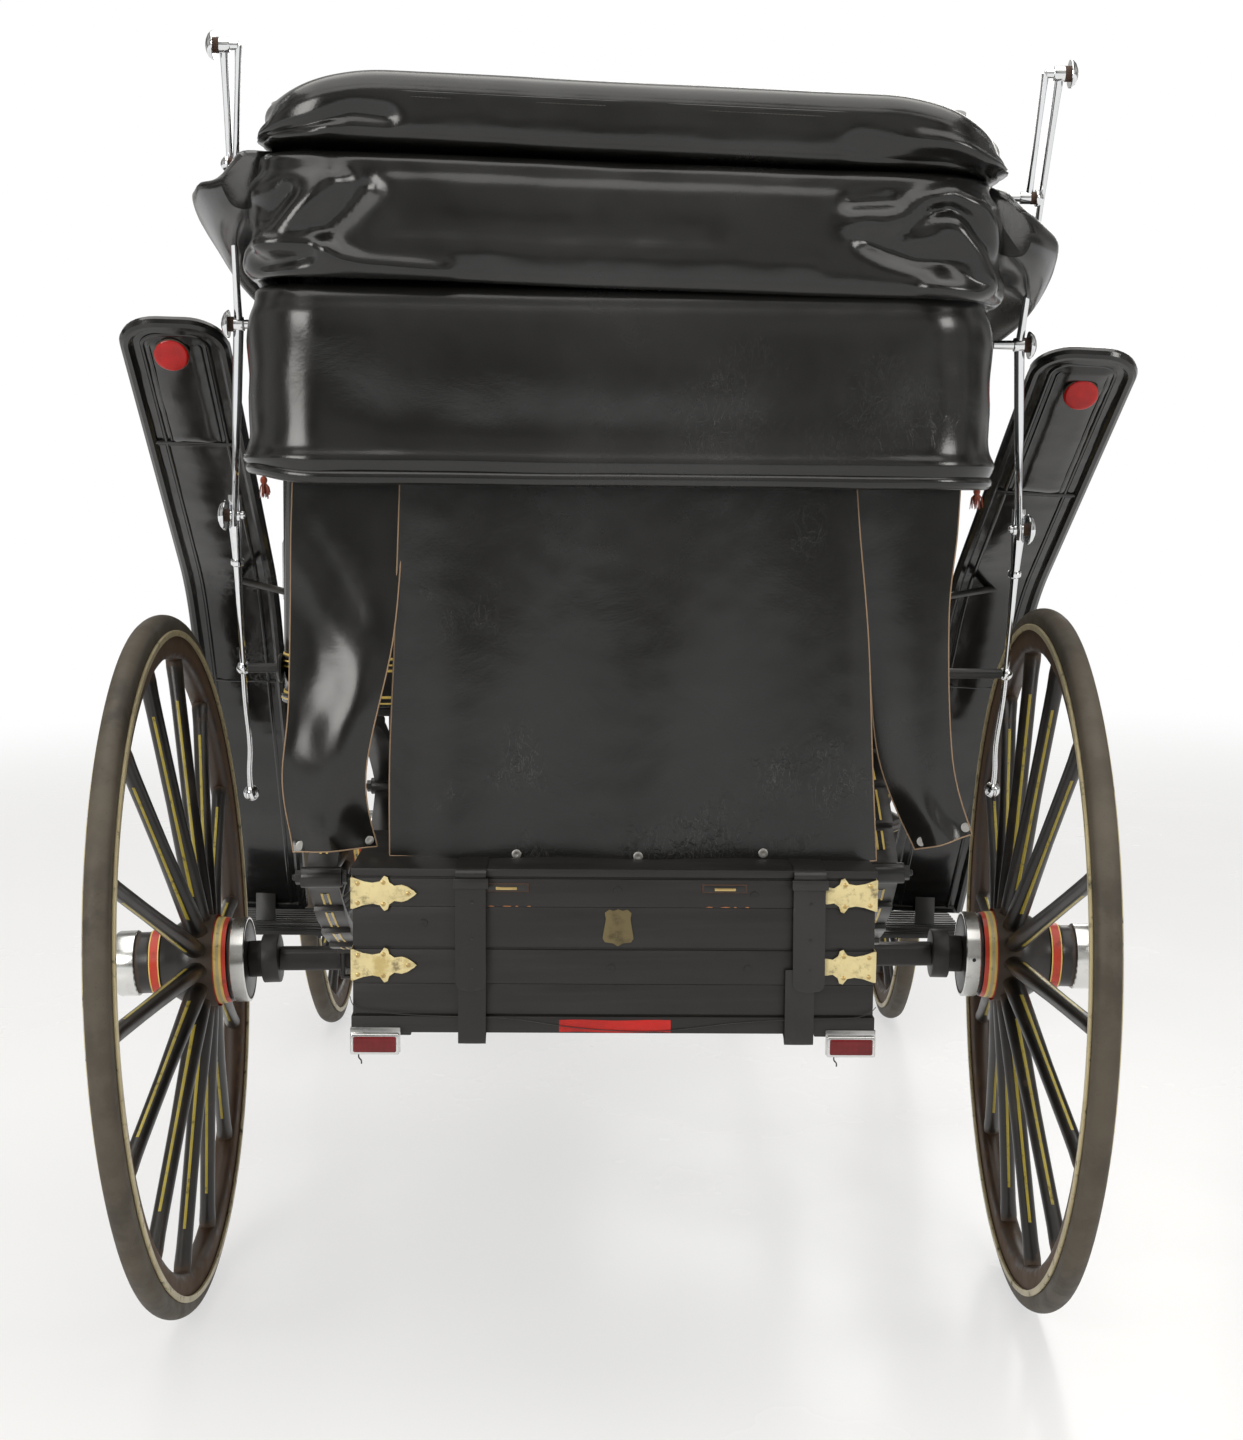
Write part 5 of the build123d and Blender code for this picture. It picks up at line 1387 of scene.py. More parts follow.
# Pivots of the bright irons: (x, y, z) on the left and on the right
IRON_PIVOTS = {
    "top": ((-0.544, -0.480, 1.954), (0.607, -0.480, 1.932)),
    "prop": ((-0.531, -0.440, 1.800), (0.573, -0.440, 1.768)),
    "middle": ((-0.548, -0.340, 1.586), (0.590, -0.340, 1.569)),
    "knuckle": ((-0.562, -0.300, 1.309), (0.605, -0.300, 1.299)),
    "bracket": ((-0.563, -0.222, 1.075), (0.608, -0.222, 1.075)),
    "end": ((-0.562, -0.156, 0.872), (0.605, -0.156, 0.885)),
}
FLANGE = ((0.0, 0.010), (0.0, 0.022), (0.003, 0.023), (0.006, 0.020), (0.008, 0.012))
# Knobs: pivot, radius of the disc outside, length inward, radius of the boss
IRON_KNOBS = (("top", 0.0199, 0.021, 0.0135), ("middle", 0.0205, 0.040, 0.0135),
              ("knuckle", 0.0225, 0.015, 0.0120), ("prop", 0.012, 0.030, 0.0110))


class CARRIAGE_OT_irons(bpy.types.Operator):
    """Forge the bright hood irons with their knuckles, discs, nuts and ball ends"""

    bl_idname = "carriage.irons"
    bl_label = "Hood irons"

    def execute(self, context):
        radius = context.scene.carriage_hood.iron
        for (name, side), index in zip(SIDES, (1, 0)):
            at = {key: Vector(places[index]) for key, places in IRON_PIVOTS.items()}
            out = Vector((side, 0, 0))
            parts = [
                self.bar("upper_iron", at["top"], at["middle"], radius, 0.45),
                self.bar("second_iron", at["top"] - out * 0.020, at["prop"] + out * 0.004,
                         radius * 0.85, 0.5),
                self.flat_bar("flared_iron", at["middle"], at["knuckle"]),
                self.lower("lower_iron", at, radius, side),
            ]
            for pivot, disc, length, boss in IRON_KNOBS:
                parts.append(self.knob(at[pivot], side, disc, length, boss))
            run = at["bracket"] - at["knuckle"]
            parts += [self.stub(at["bracket"], side), painted(ball("iron_ball", at["end"], 0.0125), "chrome"),
                      self.collar(mixture(at["knuckle"], at["bracket"], 0.30), run.normalized(), 0.0085)]
            settle(joined(f"bright_irons_{name}", parts), "nickel", stands_for=(f"hood_irons_{name}",))
        return {"FINISHED"}

    def bar(self, name, start, end, radius, swell):
        """Round iron, thicker at its eyes and slimmer at its middle."""
        points = [mixture(start, end, share) for share in (0, 0.08, 0.3, 0.5, 0.7, 0.92, 1.0)]
        taper = (1.25, 1.0, 0.92, 0.92 - 0.1 * swell, 0.92, 1.0, 1.25)
        return painted(rod(name, points, radius, order=3, sides=5, resolution=6, taper=taper), "chrome")

    def flat_bar(self, name, start, end):
        """Iron that flattens out toward the knuckle."""
        line = end - start
        widths = ((0.0, 0.0080, 0.0080), (0.10, 0.0075, 0.0075), (0.45, 0.0080, 0.0070),
                  (0.62, 0.0105, 0.0055), (0.78, 0.0160, 0.0045), (0.92, 0.0180, 0.0045),
                  (1.0, 0.0170, 0.0050), (1.06, 0.0110, 0.0048))

        def place(u, v):
            share, wide, thick = through(widths, v)
            angle = 2 * math.pi * u
            middle = start + line * share
            return middle + Vector((thick * math.cos(angle), wide * math.sin(angle), 0))

        bar = shaped(name, 20, 42, place, closed=True)
        return smooth(painted(bar, "chrome"), 60)

    def lower(self, name, at, radius, side):
        """Bent iron from the knuckle past its bracket down to the ball."""
        start, bracket, end = at["knuckle"], at["bracket"], at["end"]
        out = Vector((side, 0, 0))
        points = (start + Vector((0, 0, 0.030)), start, mixture(start, bracket, 0.18),
                  mixture(start, bracket, 0.42), bracket, mixture(bracket, end, 0.30),
                  mixture(bracket, end, 0.62) - out * 0.004,
                  mixture(bracket, end, 0.86) + out * 0.002, end)
        taper = (1.9, 2.1, 1.55, 1.0, 0.86, 0.82, 0.78, 0.82, 0.90)
        return painted(rod(name, points, radius, order=3, sides=5, resolution=6, taper=taper), "chrome")

    def knob(self, centre, side, disc, length, boss):
        """Round pivot: bright eye and inner nut, dark boss and a thin domed disc outside."""
        rows = (
            ("chrome", ((-length, boss * 0.30), (-length + 0.002, boss * 0.46), (-0.009, boss * 0.50),
                        (-0.0085, boss * 0.72), (-0.006, boss * 0.78), (0.006, boss * 0.78),
                        (0.007, boss * 0.60))),
            ("rusty_iron", ((0.006, boss * 0.62), (0.0065, boss * 0.80), (0.0135, boss * 0.80),
                            (0.014, boss * 0.5))),
            ("chrome", ((0.0135, boss * 0.5), (0.0135, disc * 0.97), (0.0145, disc), (0.0165, disc * 0.96),
                        (0.0205, disc * 0.78), (0.0235, disc * 0.48), (0.0250, disc * 0.18))),
        )
        knob = joined("pivot", [painted(turned("turning", profile, 28), finish) for finish, profile in rows])
        return placed(knob, centre, side)

    def collar(self, centre, direction, radius):
        """Turned ring round an iron."""
        ring = turned("collar", ((-0.005, radius * 0.7), (-0.005, radius), (-0.003, radius * 1.18),
                                 (0.003, radius * 1.18), (0.005, radius), (0.005, radius * 0.7)), 20, "Z")
        ring.data.transform(aimed(centre, direction))
        return painted(ring, "chrome")

    def stub(self, bracket, side):
        """Standard that holds the lower iron off the body's side."""
        foot = (side * 0.503, bracket.y, bracket.z)
        stub = rod("stub", (foot, tuple(bracket)), 0.0075, sides=4)
        flange = placed(turned("flange", FLANGE, 24), foot, side)
        return joined("stub", [painted(joined("standard", [stub, flange]), "iron_black"),
                               painted(ball("eye", bracket, 0.0105), "chrome")])


# Curtains from behind: left edge and right edge as (x, z) from hem to foot, place of the hem on Y, how far
# one edge swings past the other at the foot, flat width and length, and the snaps along the foot
CURTAINS = (
    ("curtain_centre", ((-0.300, 1.400), (-0.303, 1.300), (-0.309, 1.142), (-0.316, 0.973), (-0.316, 0.838)),
     ((0.330, 1.400), (0.338, 1.300), (0.353, 1.149), (0.362, 0.980), (0.371, 0.837)),
     -0.524, 0.000, 0.66, 0.56, ((-0.137, 0.843), (0.034, 0.842), (0.211, 0.846))),
    ("curtain_left", ((-0.448, 1.400), (-0.452, 1.300), (-0.456, 1.060), (-0.465, 0.943), (-0.451, 0.844)),
     ((-0.290, 1.400), (-0.297, 1.300), (-0.310, 1.142), (-0.347, 0.959), (-0.334, 0.850)),
     -0.514, 0.020, 0.15, 0.55, ((-0.440, 0.853), (-0.345, 0.860))),
    ("curtain_right", ((0.330, 1.400), (0.338, 1.300), (0.355, 1.149), (0.374, 0.980), (0.429, 0.849)),
     ((0.480, 1.400), (0.476, 1.300), (0.466, 1.178), (0.476, 0.981), (0.507, 0.874)),
     -0.514, -0.016, 0.13, 0.54, ((0.437, 0.862), (0.498, 0.884))),
)
# Radius of the raw tan edge
CUT_EDGE = 0.0010


class CARRIAGE_OT_curtains(bpy.types.Operator):
    """Hang the loose back curtains from the hood with their snaps and raw edges"""

    bl_idname = "carriage.curtains"
    bl_label = "Back curtains"

    def execute(self, context):
        thickness = context.scene.carriage_hood.curtain
        for name, left, right, hang_y, turn, width, length, spots in CURTAINS:
            place = self.hanging(name, left, right, hang_y, turn)
            across = 90 if name == "curtain_centre" else 34
            sheet = shaped(f"{name}_leather", across, 90, place)
            if sheet.data.polygons[0].normal.y > 0:
                sheet.data.flip_normals()
            painted(sheet, "curtain_leather", "raw_edge")
            sheet_of(sheet, thickness, rim=1)
            smooth(sheet, 50)
            settle(sheet, "curtain_leather", stands_for=(name,))
            studs = self.snaps(name, place, spots)
        return {"FINISHED"}

    def hanging(self, name, left, right, hang_y, turn):
        """The rule that gives a curtain's points, for shares across it and up from its foot."""
        middle = name == "curtain_centre"

        def place(u, v):
            down = 1 - v
            ax, az = through(left, down)
            bx, bz = through(right, down)
            x, z = mixture(ax, bx, u), mixture(az, bz, u)
            free = ease(down, 0.05, 1.0)
            if middle:
                wave = 0.0075 * math.sin(5.5 * u * math.pi + 0.7 + 1.2 * down) * free
                wave += 0.006 * hump(u, 0.04, 0.06) * free - 0.006 * hump(u, 0.97, 0.05) * free
                z -= 0.006 * math.sin(math.pi * u) * ease(down, 0.8, 1.0)
            else:
                wave = 0.010 * math.sin(math.pi * (1.3 * u + 0.9 * down)) * free + turn * (u - 0.5) * free
                wave += 0.008 * hump(down, 0.92, 0.08) * math.cos(2.5 * math.pi * u)
                if x < 0:
                    belly = 0.034 * hump(down, 0.68, 0.27) * ease(down, 0.0, 0.25)
                    wave -= belly * (0.35 + 0.65 * ease(u, 0.0, 0.8))
                    wave += 0.0034 * ruffle(x * 1.6 + z * 0.9, 0, z * 0.35, 0.075, 2) * hump(down, 0.45, 0.25)
            wave += 0.0030 * ruffle(x, 0, z, 0.22, 4) * free + 0.0003 * ruffle(x, 0, z, 0.035, 8)
            return (x, hang_y - 0.006 * down + wave, z)

        return place

    def snaps(self, name, place, spots):
        """Snaps along a curtain's foot, and the raw edge round it."""
        parts = []
        for x, z in spots:
            near = min((place(i / 40, j / 60) for i in range(41) for j in range(12)),
                       key=lambda point: (point[0] - x) ** 2 + (point[2] - z) ** 2)
            stud = turned("snap", ((0.0, 0.0068), (0.0008, 0.0068), (0.0014, 0.0056), (0.0016, 0.0030),
                                   (0.0012, 0.0020)), 18, "Y")
            parts.append(painted(placed(stud, (x, near[1] - 0.0003, z), -1), "dull_tin"))
        border = [(0.0, 1 - step / 40) for step in range(40)]
        border += [(step / 40, 0.0) for step in range(40)]
        border += [(1.0, step / 40) for step in range(41)]
        cut = [Vector(place(u, v)) + Vector((0, -0.0002, 0)) for u, v in border]
        parts.append(painted(rod("cut_edge", cut, CUT_EDGE, sides=2), "raw_edge"))
        return settle(joined(f"{name}_snaps", parts), "nickel")


class CarriageTrunkSettings(bpy.types.PropertyGroup):
    """Sizes of the plank trunk behind the body."""

    half_width: bpy.props.FloatProperty(
        name="Half width", description="From the middle to the trunk's end", default=0.361, unit="LENGTH")
    rear: bpy.props.FloatProperty(
        name="Back", description="Place of the boards' back face", default=-0.620, unit="LENGTH")
    strap: bpy.props.FloatProperty(
        name="Strap", description="Thickness of the trunk straps", default=0.0028, unit="LENGTH")


TRUNK_FRONT = -0.300
# Boards from the base up: bottom z, top z, how far each stands in from the trunk's outline
TRUNK_BOARDS = ((0.609, 0.6320, 0.0), (0.6352, 0.6774, 0.0022), (0.6776, 0.7252, 0.0022),
                (0.7290, 0.7849, 0.0022), (0.7851, 0.8240, 0.0022), (0.8275, 0.838, 0.0003))
# Straps: middle x, width, width and shift of the lower strap that comes out from under it
TRUNK_STRAPS = ((-0.197, 0.042, 0.038, 0.002), (0.268, 0.044, 0.040, -0.012))
# Upper half of a corner plate's outline: way in from the trunk's end, way down from its middle
PLATE_HALF = ((0.0, -0.0215), (0.003, -0.0220), (0.018, -0.0165), (0.030, -0.0145), (0.040, -0.0165),
              (0.046, -0.0245), (0.051, -0.0225), (0.053, -0.0155), (0.060, -0.0105), (0.070, -0.0120),
              (0.078, -0.0095), (0.087, -0.0035), (0.0905, 0.0))


class CARRIAGE_OT_trunk(bpy.types.Operator):
    """Build the plank trunk with its straps, corner plates, latches, lamps, tape and blank shield"""

    bl_idname = "carriage.trunk"
    bl_label = "Trunk"

    def execute(self, context):
        settings = context.scene.carriage_trunk
        self.boards(settings)
        straps = joined("trunk_strap_pair", [self.strap(settings, *row) for row in TRUNK_STRAPS])
        settle(straps, "strap_leather", stands_for=("trunk_straps",))
        plates = [self.corner_plate(settings, side, z) for side in (-1, 1) for z in (0.8035, 0.7035)]
        plates += [self.latch(settings, x) for x in (-0.149, 0.151)]
        settle(joined("trunk_plates", plates), "gilt_cream", stands_for=("trunk_fittings",))
        lamps = [self.lamp(settings, side) for side in (-1, 1)]
        settle(joined("trunk_lamps", lamps), "lamp_red", stands_for=("tail_lamps",))
        self.trifles(settings)
        return {"FINISHED"}

    def boards(self, settings):
        """Boards round a core, with narrow gaps between them."""
        half, rear = settings.half_width, settings.rear
        parts = [block("trunk_core", (0.005 - half, rear + 0.005, 0.611),
                       (half - 0.005, TRUNK_FRONT - 0.004, 0.836))]
        for low, high, inset in TRUNK_BOARDS:
            parts.append(block("board", (inset - half, rear + inset, low),
                               (half - inset, TRUNK_FRONT, high), 0.0007))
        boards = painted(joined("trunk_boards", parts), "trunk_wood")
        settle(boards, "trunk_wood", stands_for=("trunk",))

    def strap(self, settings, x, width, lower_width, shift):
        """Upper strap over the lid with a round tip, on the lower one that goes round the base."""
        back = settings.rear - 0.0035

        def band(name, run, wide, middle_x, tip=0.0, slack=0.0):
            def place(u, v):
                y, z = through(run, v)
                edge = 1.0
                if tip and v > 1 - tip:
                    edge = math.sqrt(max(1 - ((v - 1 + tip) / tip) ** 2, 0.0)) * 0.985 + 0.015
                bow = 0.0008 * (1 - (2 * u - 1) ** 2) + slack * math.sin(v * 19 + middle_x * 40)
                return (middle_x + (u - 0.5) * wide * edge + slack * math.sin(v * 7), y - bow, z)

            piece = facing(shaped(name, 8, 72, place), (0, -1, 0))
            return smooth(painted(sheet_of(piece, settings.strap), "strap_leather"), 50)

        over = ((TRUNK_FRONT + 0.004, 0.8395), (-0.42, 0.8400), (-0.56, 0.8400), (-0.608, 0.8402),
                (back - 0.0008, 0.834), (back - 0.002, 0.818), (back - 0.0015, 0.76), (back - 0.0025, 0.71),
                (back - 0.004, 0.668))
        under = ((back, 0.700), (back - 0.001, 0.66), (back - 0.0025, 0.63), (back - 0.003, 0.612),
                 (back - 0.002, 0.597), (back + 0.004, 0.5945), (back + 0.014, 0.6015),
                 (back + 0.040, 0.6065))
        parts = [band("strap", over, width, x, 0.05, 0.0006),
                 band("strap_below", under, lower_width, x + shift)]
        for z in (0.792, 0.742, 0.700):
            hole = turned("strap_hole", ((0.0, 0.0019), (0.0004, 0.0019), (0.0005, 0.0010)), 10, "Y")
            parts.append(painted(placed(hole, (x + 0.002, back - 0.0038, z), -1), "iron_black"))
        loop = block("strap_loop", (x - width / 2 - 0.003, back - 0.0068, 0.812),
                     (x + width / 2 + 0.003, back + 0.002, 0.826), 0.0012)
        parts.append(painted(loop, "strap_leather"))
        return joined("strap", parts)

    def corner_plate(self, settings, side, z):
        """Ornamental brass corner: lobed and pointed on the back, wrapped round the trunk's end."""
        half, back = settings.half_width + 0.0006, settings.rear
        outline = [(side * (half - reach), z + rise) for reach, rise in PLATE_HALF]
        outline += [(side * (half - reach), z - rise) for reach, rise in reversed(PLATE_HALF[:-1])]
        face = plate("plate", outline, 0.0018, 0.0005, back - 0.0007)
        low, high = sorted((side * half, side * (half - 0.0016)))
        wrap = block("wrap", (low, back - 0.0012, z - 0.0215), (high, back + 0.052, z + 0.0215), 0.0005)
        parts = [painted(face, "gilt_cream"), painted(wrap, "gilt_cream")]
        profile = ((0.0, 0.0032), (0.0008, 0.0031), (0.0014, 0.0020), (0.0012, 0.0008))
        for reach, rise in ((0.010, -0.0135), (0.010, 0.0135), (0.045, -0.015), (0.045, 0.015), (0.079, 0.0)):
            head = turned("screw", profile, 14, "Y")
            placed(head, (side * (half - reach), back - 0.0014, z + rise), -1)
            parts.append(painted(head, "brass"))
        return joined("corner_plate", parts)

    def latch(self, settings, x):
        """Slot with its brass tongue, and the bare wood that the latch has rubbed below. The slot is a raised
        black iron plate whose black also paints the shade of the recessed slot.
        """
        back = settings.rear + 0.0016
        # The slot's block is black iron, and its black is also painted shade of the slot's recess
        # Blocks: name, low corner and high corner from the latch's middle, bevel, finish
        rows = (("latch_slot_iron_and_shade", (-0.029, -0.0016, 0.8075), (0.029, 0.002, 0.8165), 0.0007, "iron_black"),
                ("latch_frame", (-0.031, -0.0007, 0.8060), (0.031, 0.002, 0.8180), 0.0005, "rusty_iron"),
                ("latch_tongue", (-0.014, -0.0030, 0.8092), (0.015, 0.0, 0.8132), 0.0006, "brass"))
        parts = []
        for name, low, high, bevel, finish in rows:
            low, high = ((x + corner[0], back + corner[1], corner[2]) for corner in (low, high))
            parts.append(painted(block(name, low, high, bevel), finish))
        rubs = ((0.026, 0.008), (-0.012, 0.004), (0.006, 0.011), (-0.028, 0.005))
        for number, (start, width) in enumerate(rubs):
            left = x - start
            outline = ((left, 0.7858), (left + width, 0.7853), (left + width * 1.3, 0.7862),
                       (left + width * 0.5, 0.7868))
            rub = plate("rub", outline, 0.0003, 0.0001, settings.rear + 0.0020 - 0.00002 * number)
            parts.append(painted(rub, "copper_rub"))
        return joined("latch", parts)

    def lamp(self, settings, side):
        """Red marker lamp on its bright bracket under the base board."""
        x, low, high = side * 0.328, 0.579, 0.610
        if side < 0:
            low, high = low + 0.0015, high + 0.0015
        back = settings.rear
        # Blocks: name, half width, back and front, bottom, top, bevel and its steps, finish
        rows = (("lamp_bracket", 0.0345, -0.0030, 0.001, 0.001, 0.005, 0.0006, 2, "lamp_case"),
                ("bezel", 0.0335, -0.0125, -0.002, 0.0, -0.002, 0.0022, 3, "lamp_case"),
                ("lens", 0.0305, -0.0136, -0.006, 0.0025, -0.0045, 0.0048, 4, "lamp_red"))
        parts = [painted(block(name, (x - wide, back + rear, low + foot),
                               (x + wide, back + front, high + head), bevel, steps), finish)
                 for name, wide, rear, front, foot, head, bevel, steps, finish in rows]
        for spot in (-0.0315, 0.0315):
            rivet = ball("rivet", (x + spot, back - 0.0122, (low + high) / 2), 0.0014, rings=5)
            parts.append(painted(rivet, "nickel"))
        points = ((x - 0.022, back - 0.004, low + 0.002), (x - 0.024, back - 0.003, low - 0.006),
                  (x - 0.018, back - 0.004, low - 0.010), (x - 0.019, back - 0.003, low - 0.015))
        tail = rod("pigtail", points, 0.0010, order=3, sides=2, resolution=4)
        return joined("lamp", parts + [painted(tail, "iron_black")])

    def trifles(self, settings):
        """Red tape, blank shield, plugged screw holes and the thin wire along the base board."""
        back = settings.rear
        tape = shaped("red_tape", 24, 4, lambda u, v: (
            mixture(-0.075, 0.079, u), back - 0.0004 - 0.0003 * abs(ruffle(u * 3, v, 0, 0.2)),
            mixture(0.6105, 0.6275, v) + 0.0006 * math.sin(u * 9)))
        painted(facing(tape, (0, -1, 0)), "tape_red")
        settle(smooth(sheet_of(tape, 0.0003)), "lamp_red")
        outline = ((0.0, 0.0260), (0.0065, 0.0235), (0.0125, 0.0255), (0.0185, 0.0205), (0.0170, 0.0120),
                   (0.0190, 0.0), (0.0215, -0.0150), (0.0180, -0.0205), (0.0070, -0.0220), (0.0, -0.0262))
        loop = [(0.005 + x, 0.7570 + z) for x, z in outline]
        loop += [(0.005 - x, 0.7570 + z) for x, z in outline[-2:0:-1]]
        shield = painted(plate("blank_shield", loop, 0.0012, 0.0005, back + 0.0012), "old_brass")
        settle(shield, "gilt_cream")
        profile = ((0.0, 0.0058), (0.0008, 0.0056), (0.0013, 0.0036), (0.0009, 0.0012))
        places = ((0.004, 0.8085), (0.192, 0.8030), (-0.004, 0.7000), (0.185, 0.6995), (-0.262, 0.7620))
        heads = [placed(turned("plug", profile, 16, "Y"), (x, back + 0.0022, z), -1) for x, z in places]
        settle(painted(joined("trunk_plugs", heads), "trunk_wood"), "trunk_wood")
        line = [(-0.3625, 0.660), (-0.360, 0.646), (-0.345, 0.639), (-0.318, 0.637), (-0.270, 0.6335),
                (-0.200, 0.6325), (-0.140, 0.6300), (-0.080, 0.6200), (-0.010, 0.6130), (0.060, 0.6120),
                (0.105, 0.6160), (0.160, 0.6240), (0.230, 0.6290), (0.300, 0.6310), (0.352, 0.6330),
                (0.3625, 0.648)]

        def over_strap(x):
            return abs(x + 0.197) < 0.03 or abs(x - 0.262) < 0.03

        points = [(x, back - 0.0018 - 0.0045 * over_strap(x), z) for x, z in line]
        wire = painted(rod("clipped_wire", points, 0.0006, order=3, sides=1, resolution=6), "iron_black")
        settle(wire, "nickel")


class CarriageWingSettings(bpy.types.PropertyGroup):
    """Sizes of the patent-leather wings over the rear wheels."""

    width: bpy.props.FloatProperty(
        name="Width", description="Across a wing between its rolled edges", default=0.158, unit="LENGTH")
    roll: bpy.props.FloatProperty(
        name="Rolled edge", description="Radius of the padded edge", default=0.0108, unit="LENGTH")
    bead: bpy.props.FloatProperty(
        name="Inner bead", description="Radius of the raised line inside the edge", default=0.0042,
        unit="LENGTH")
    reflector: bpy.props.FloatProperty(
        name="Reflector", description="Radius of the red reflector", default=0.0265, unit="LENGTH")


# Wings in the solids' own path: side, foot x, tip x, tip z
WING_PLACES = {"right": (1, 0.682, 0.726, 1.563), "left": (-1, 0.691, 0.670, 1.589)}
WING_TIP_Y, WING_BEND, WING_FOOT, WING_BEND_RADIUS = -0.200, (0.430, 0.690), (0.9595, 0.474), 0.500
WING_SEAMS = {"right": (0.400, 0.986), "left": (0.314, 1.004)}
# How far the soft tips reach past the solids', and where their reflectors sit
WING_OVERHANG = {"right": 0.010, "left": 0.016}
WING_REFLECTORS = {"right": 0.088, "left": 0.060}
WING_TIP_ROUND = 0.058
BEND_STEPS = 12


class WingShape:
    """Maps a place along and across a wing to its point on the carriage."""

    def __init__(self, name, settings):
        self.side, foot_x, tip_x, tip_z = WING_PLACES[name]
        out, up = self.side * (tip_x - foot_x), tip_z - WING_FOOT[1]
        rise = math.hypot(out, up)
        self.origin = Vector((self.side * foot_x, 0, WING_FOOT[1]))
        self.upward = Vector((out / rise, 0, up / rise))
        self.across = Vector((up / rise, 0, -out / rise))
        self.half = settings.width / 2
        a, b, c = Vector((WING_TIP_Y, rise)), Vector(WING_BEND), Vector((WING_FOOT[0], 0))
        first, last = (b - a).normalized(), (c - b).normalized()
        bend = first.angle(last)
        tangent = WING_BEND_RADIUS * math.tan(bend / 2)
        start = b - first * tangent
        centre = start + WING_BEND_RADIUS * Vector((first.y, -first.x))
        self.points = [a, start]
        for step in range(1, BEND_STEPS + 1):
            self.points.append(centre + Matrix.Rotation(-bend * step / BEND_STEPS, 2) @ (start - centre))
        self.points.append(c)
        self.reach = [0.0]
        for p, q in zip(self.points, self.points[1:]):
            self.reach.append(self.reach[-1] + (q - p).length)
        self.overhang = WING_OVERHANG[name]
        self.length = self.reach[-1] + self.overhang

    def point(self, along, across, lift=0.0):
        """Point from its way down from the tip, its way across and its height over the surface."""
        along = min(along, self.length - 1e-6) - self.overhang
        index = max(i for i in range(len(self.reach) - 1) if self.reach[i] <= max(along, 0.0))
        p, q = self.points[index], self.points[index + 1]
        run = (q - p).normalized()
        flat = p + run * (along - self.reach[index])
        flat = flat + Vector((run.y, -run.x)) * lift
        return self.origin + Vector((0, flat.x, 0)) + self.upward * flat.y + self.across * across

    def edge(self, inset, end, steps):
        """Ways along and across for points up one edge, round the tip and back down the other edge."""
        radius = max(WING_TIP_ROUND - inset, 0.012)
        half = self.half - inset
        rows = [(mixture(end, inset + radius, step / steps), -half) for step in range(steps + 1)]
        for step in range(1, 9):
            angle = math.pi / 2 * step / 9
            rows.append((inset + radius - radius * math.sin(angle),
                         -half + radius - radius * math.cos(angle)))
        rows += [(inset, -half + radius), (inset, 0.0)]
        return rows + [(along, -across) for along, across in reversed(rows[:-1])]


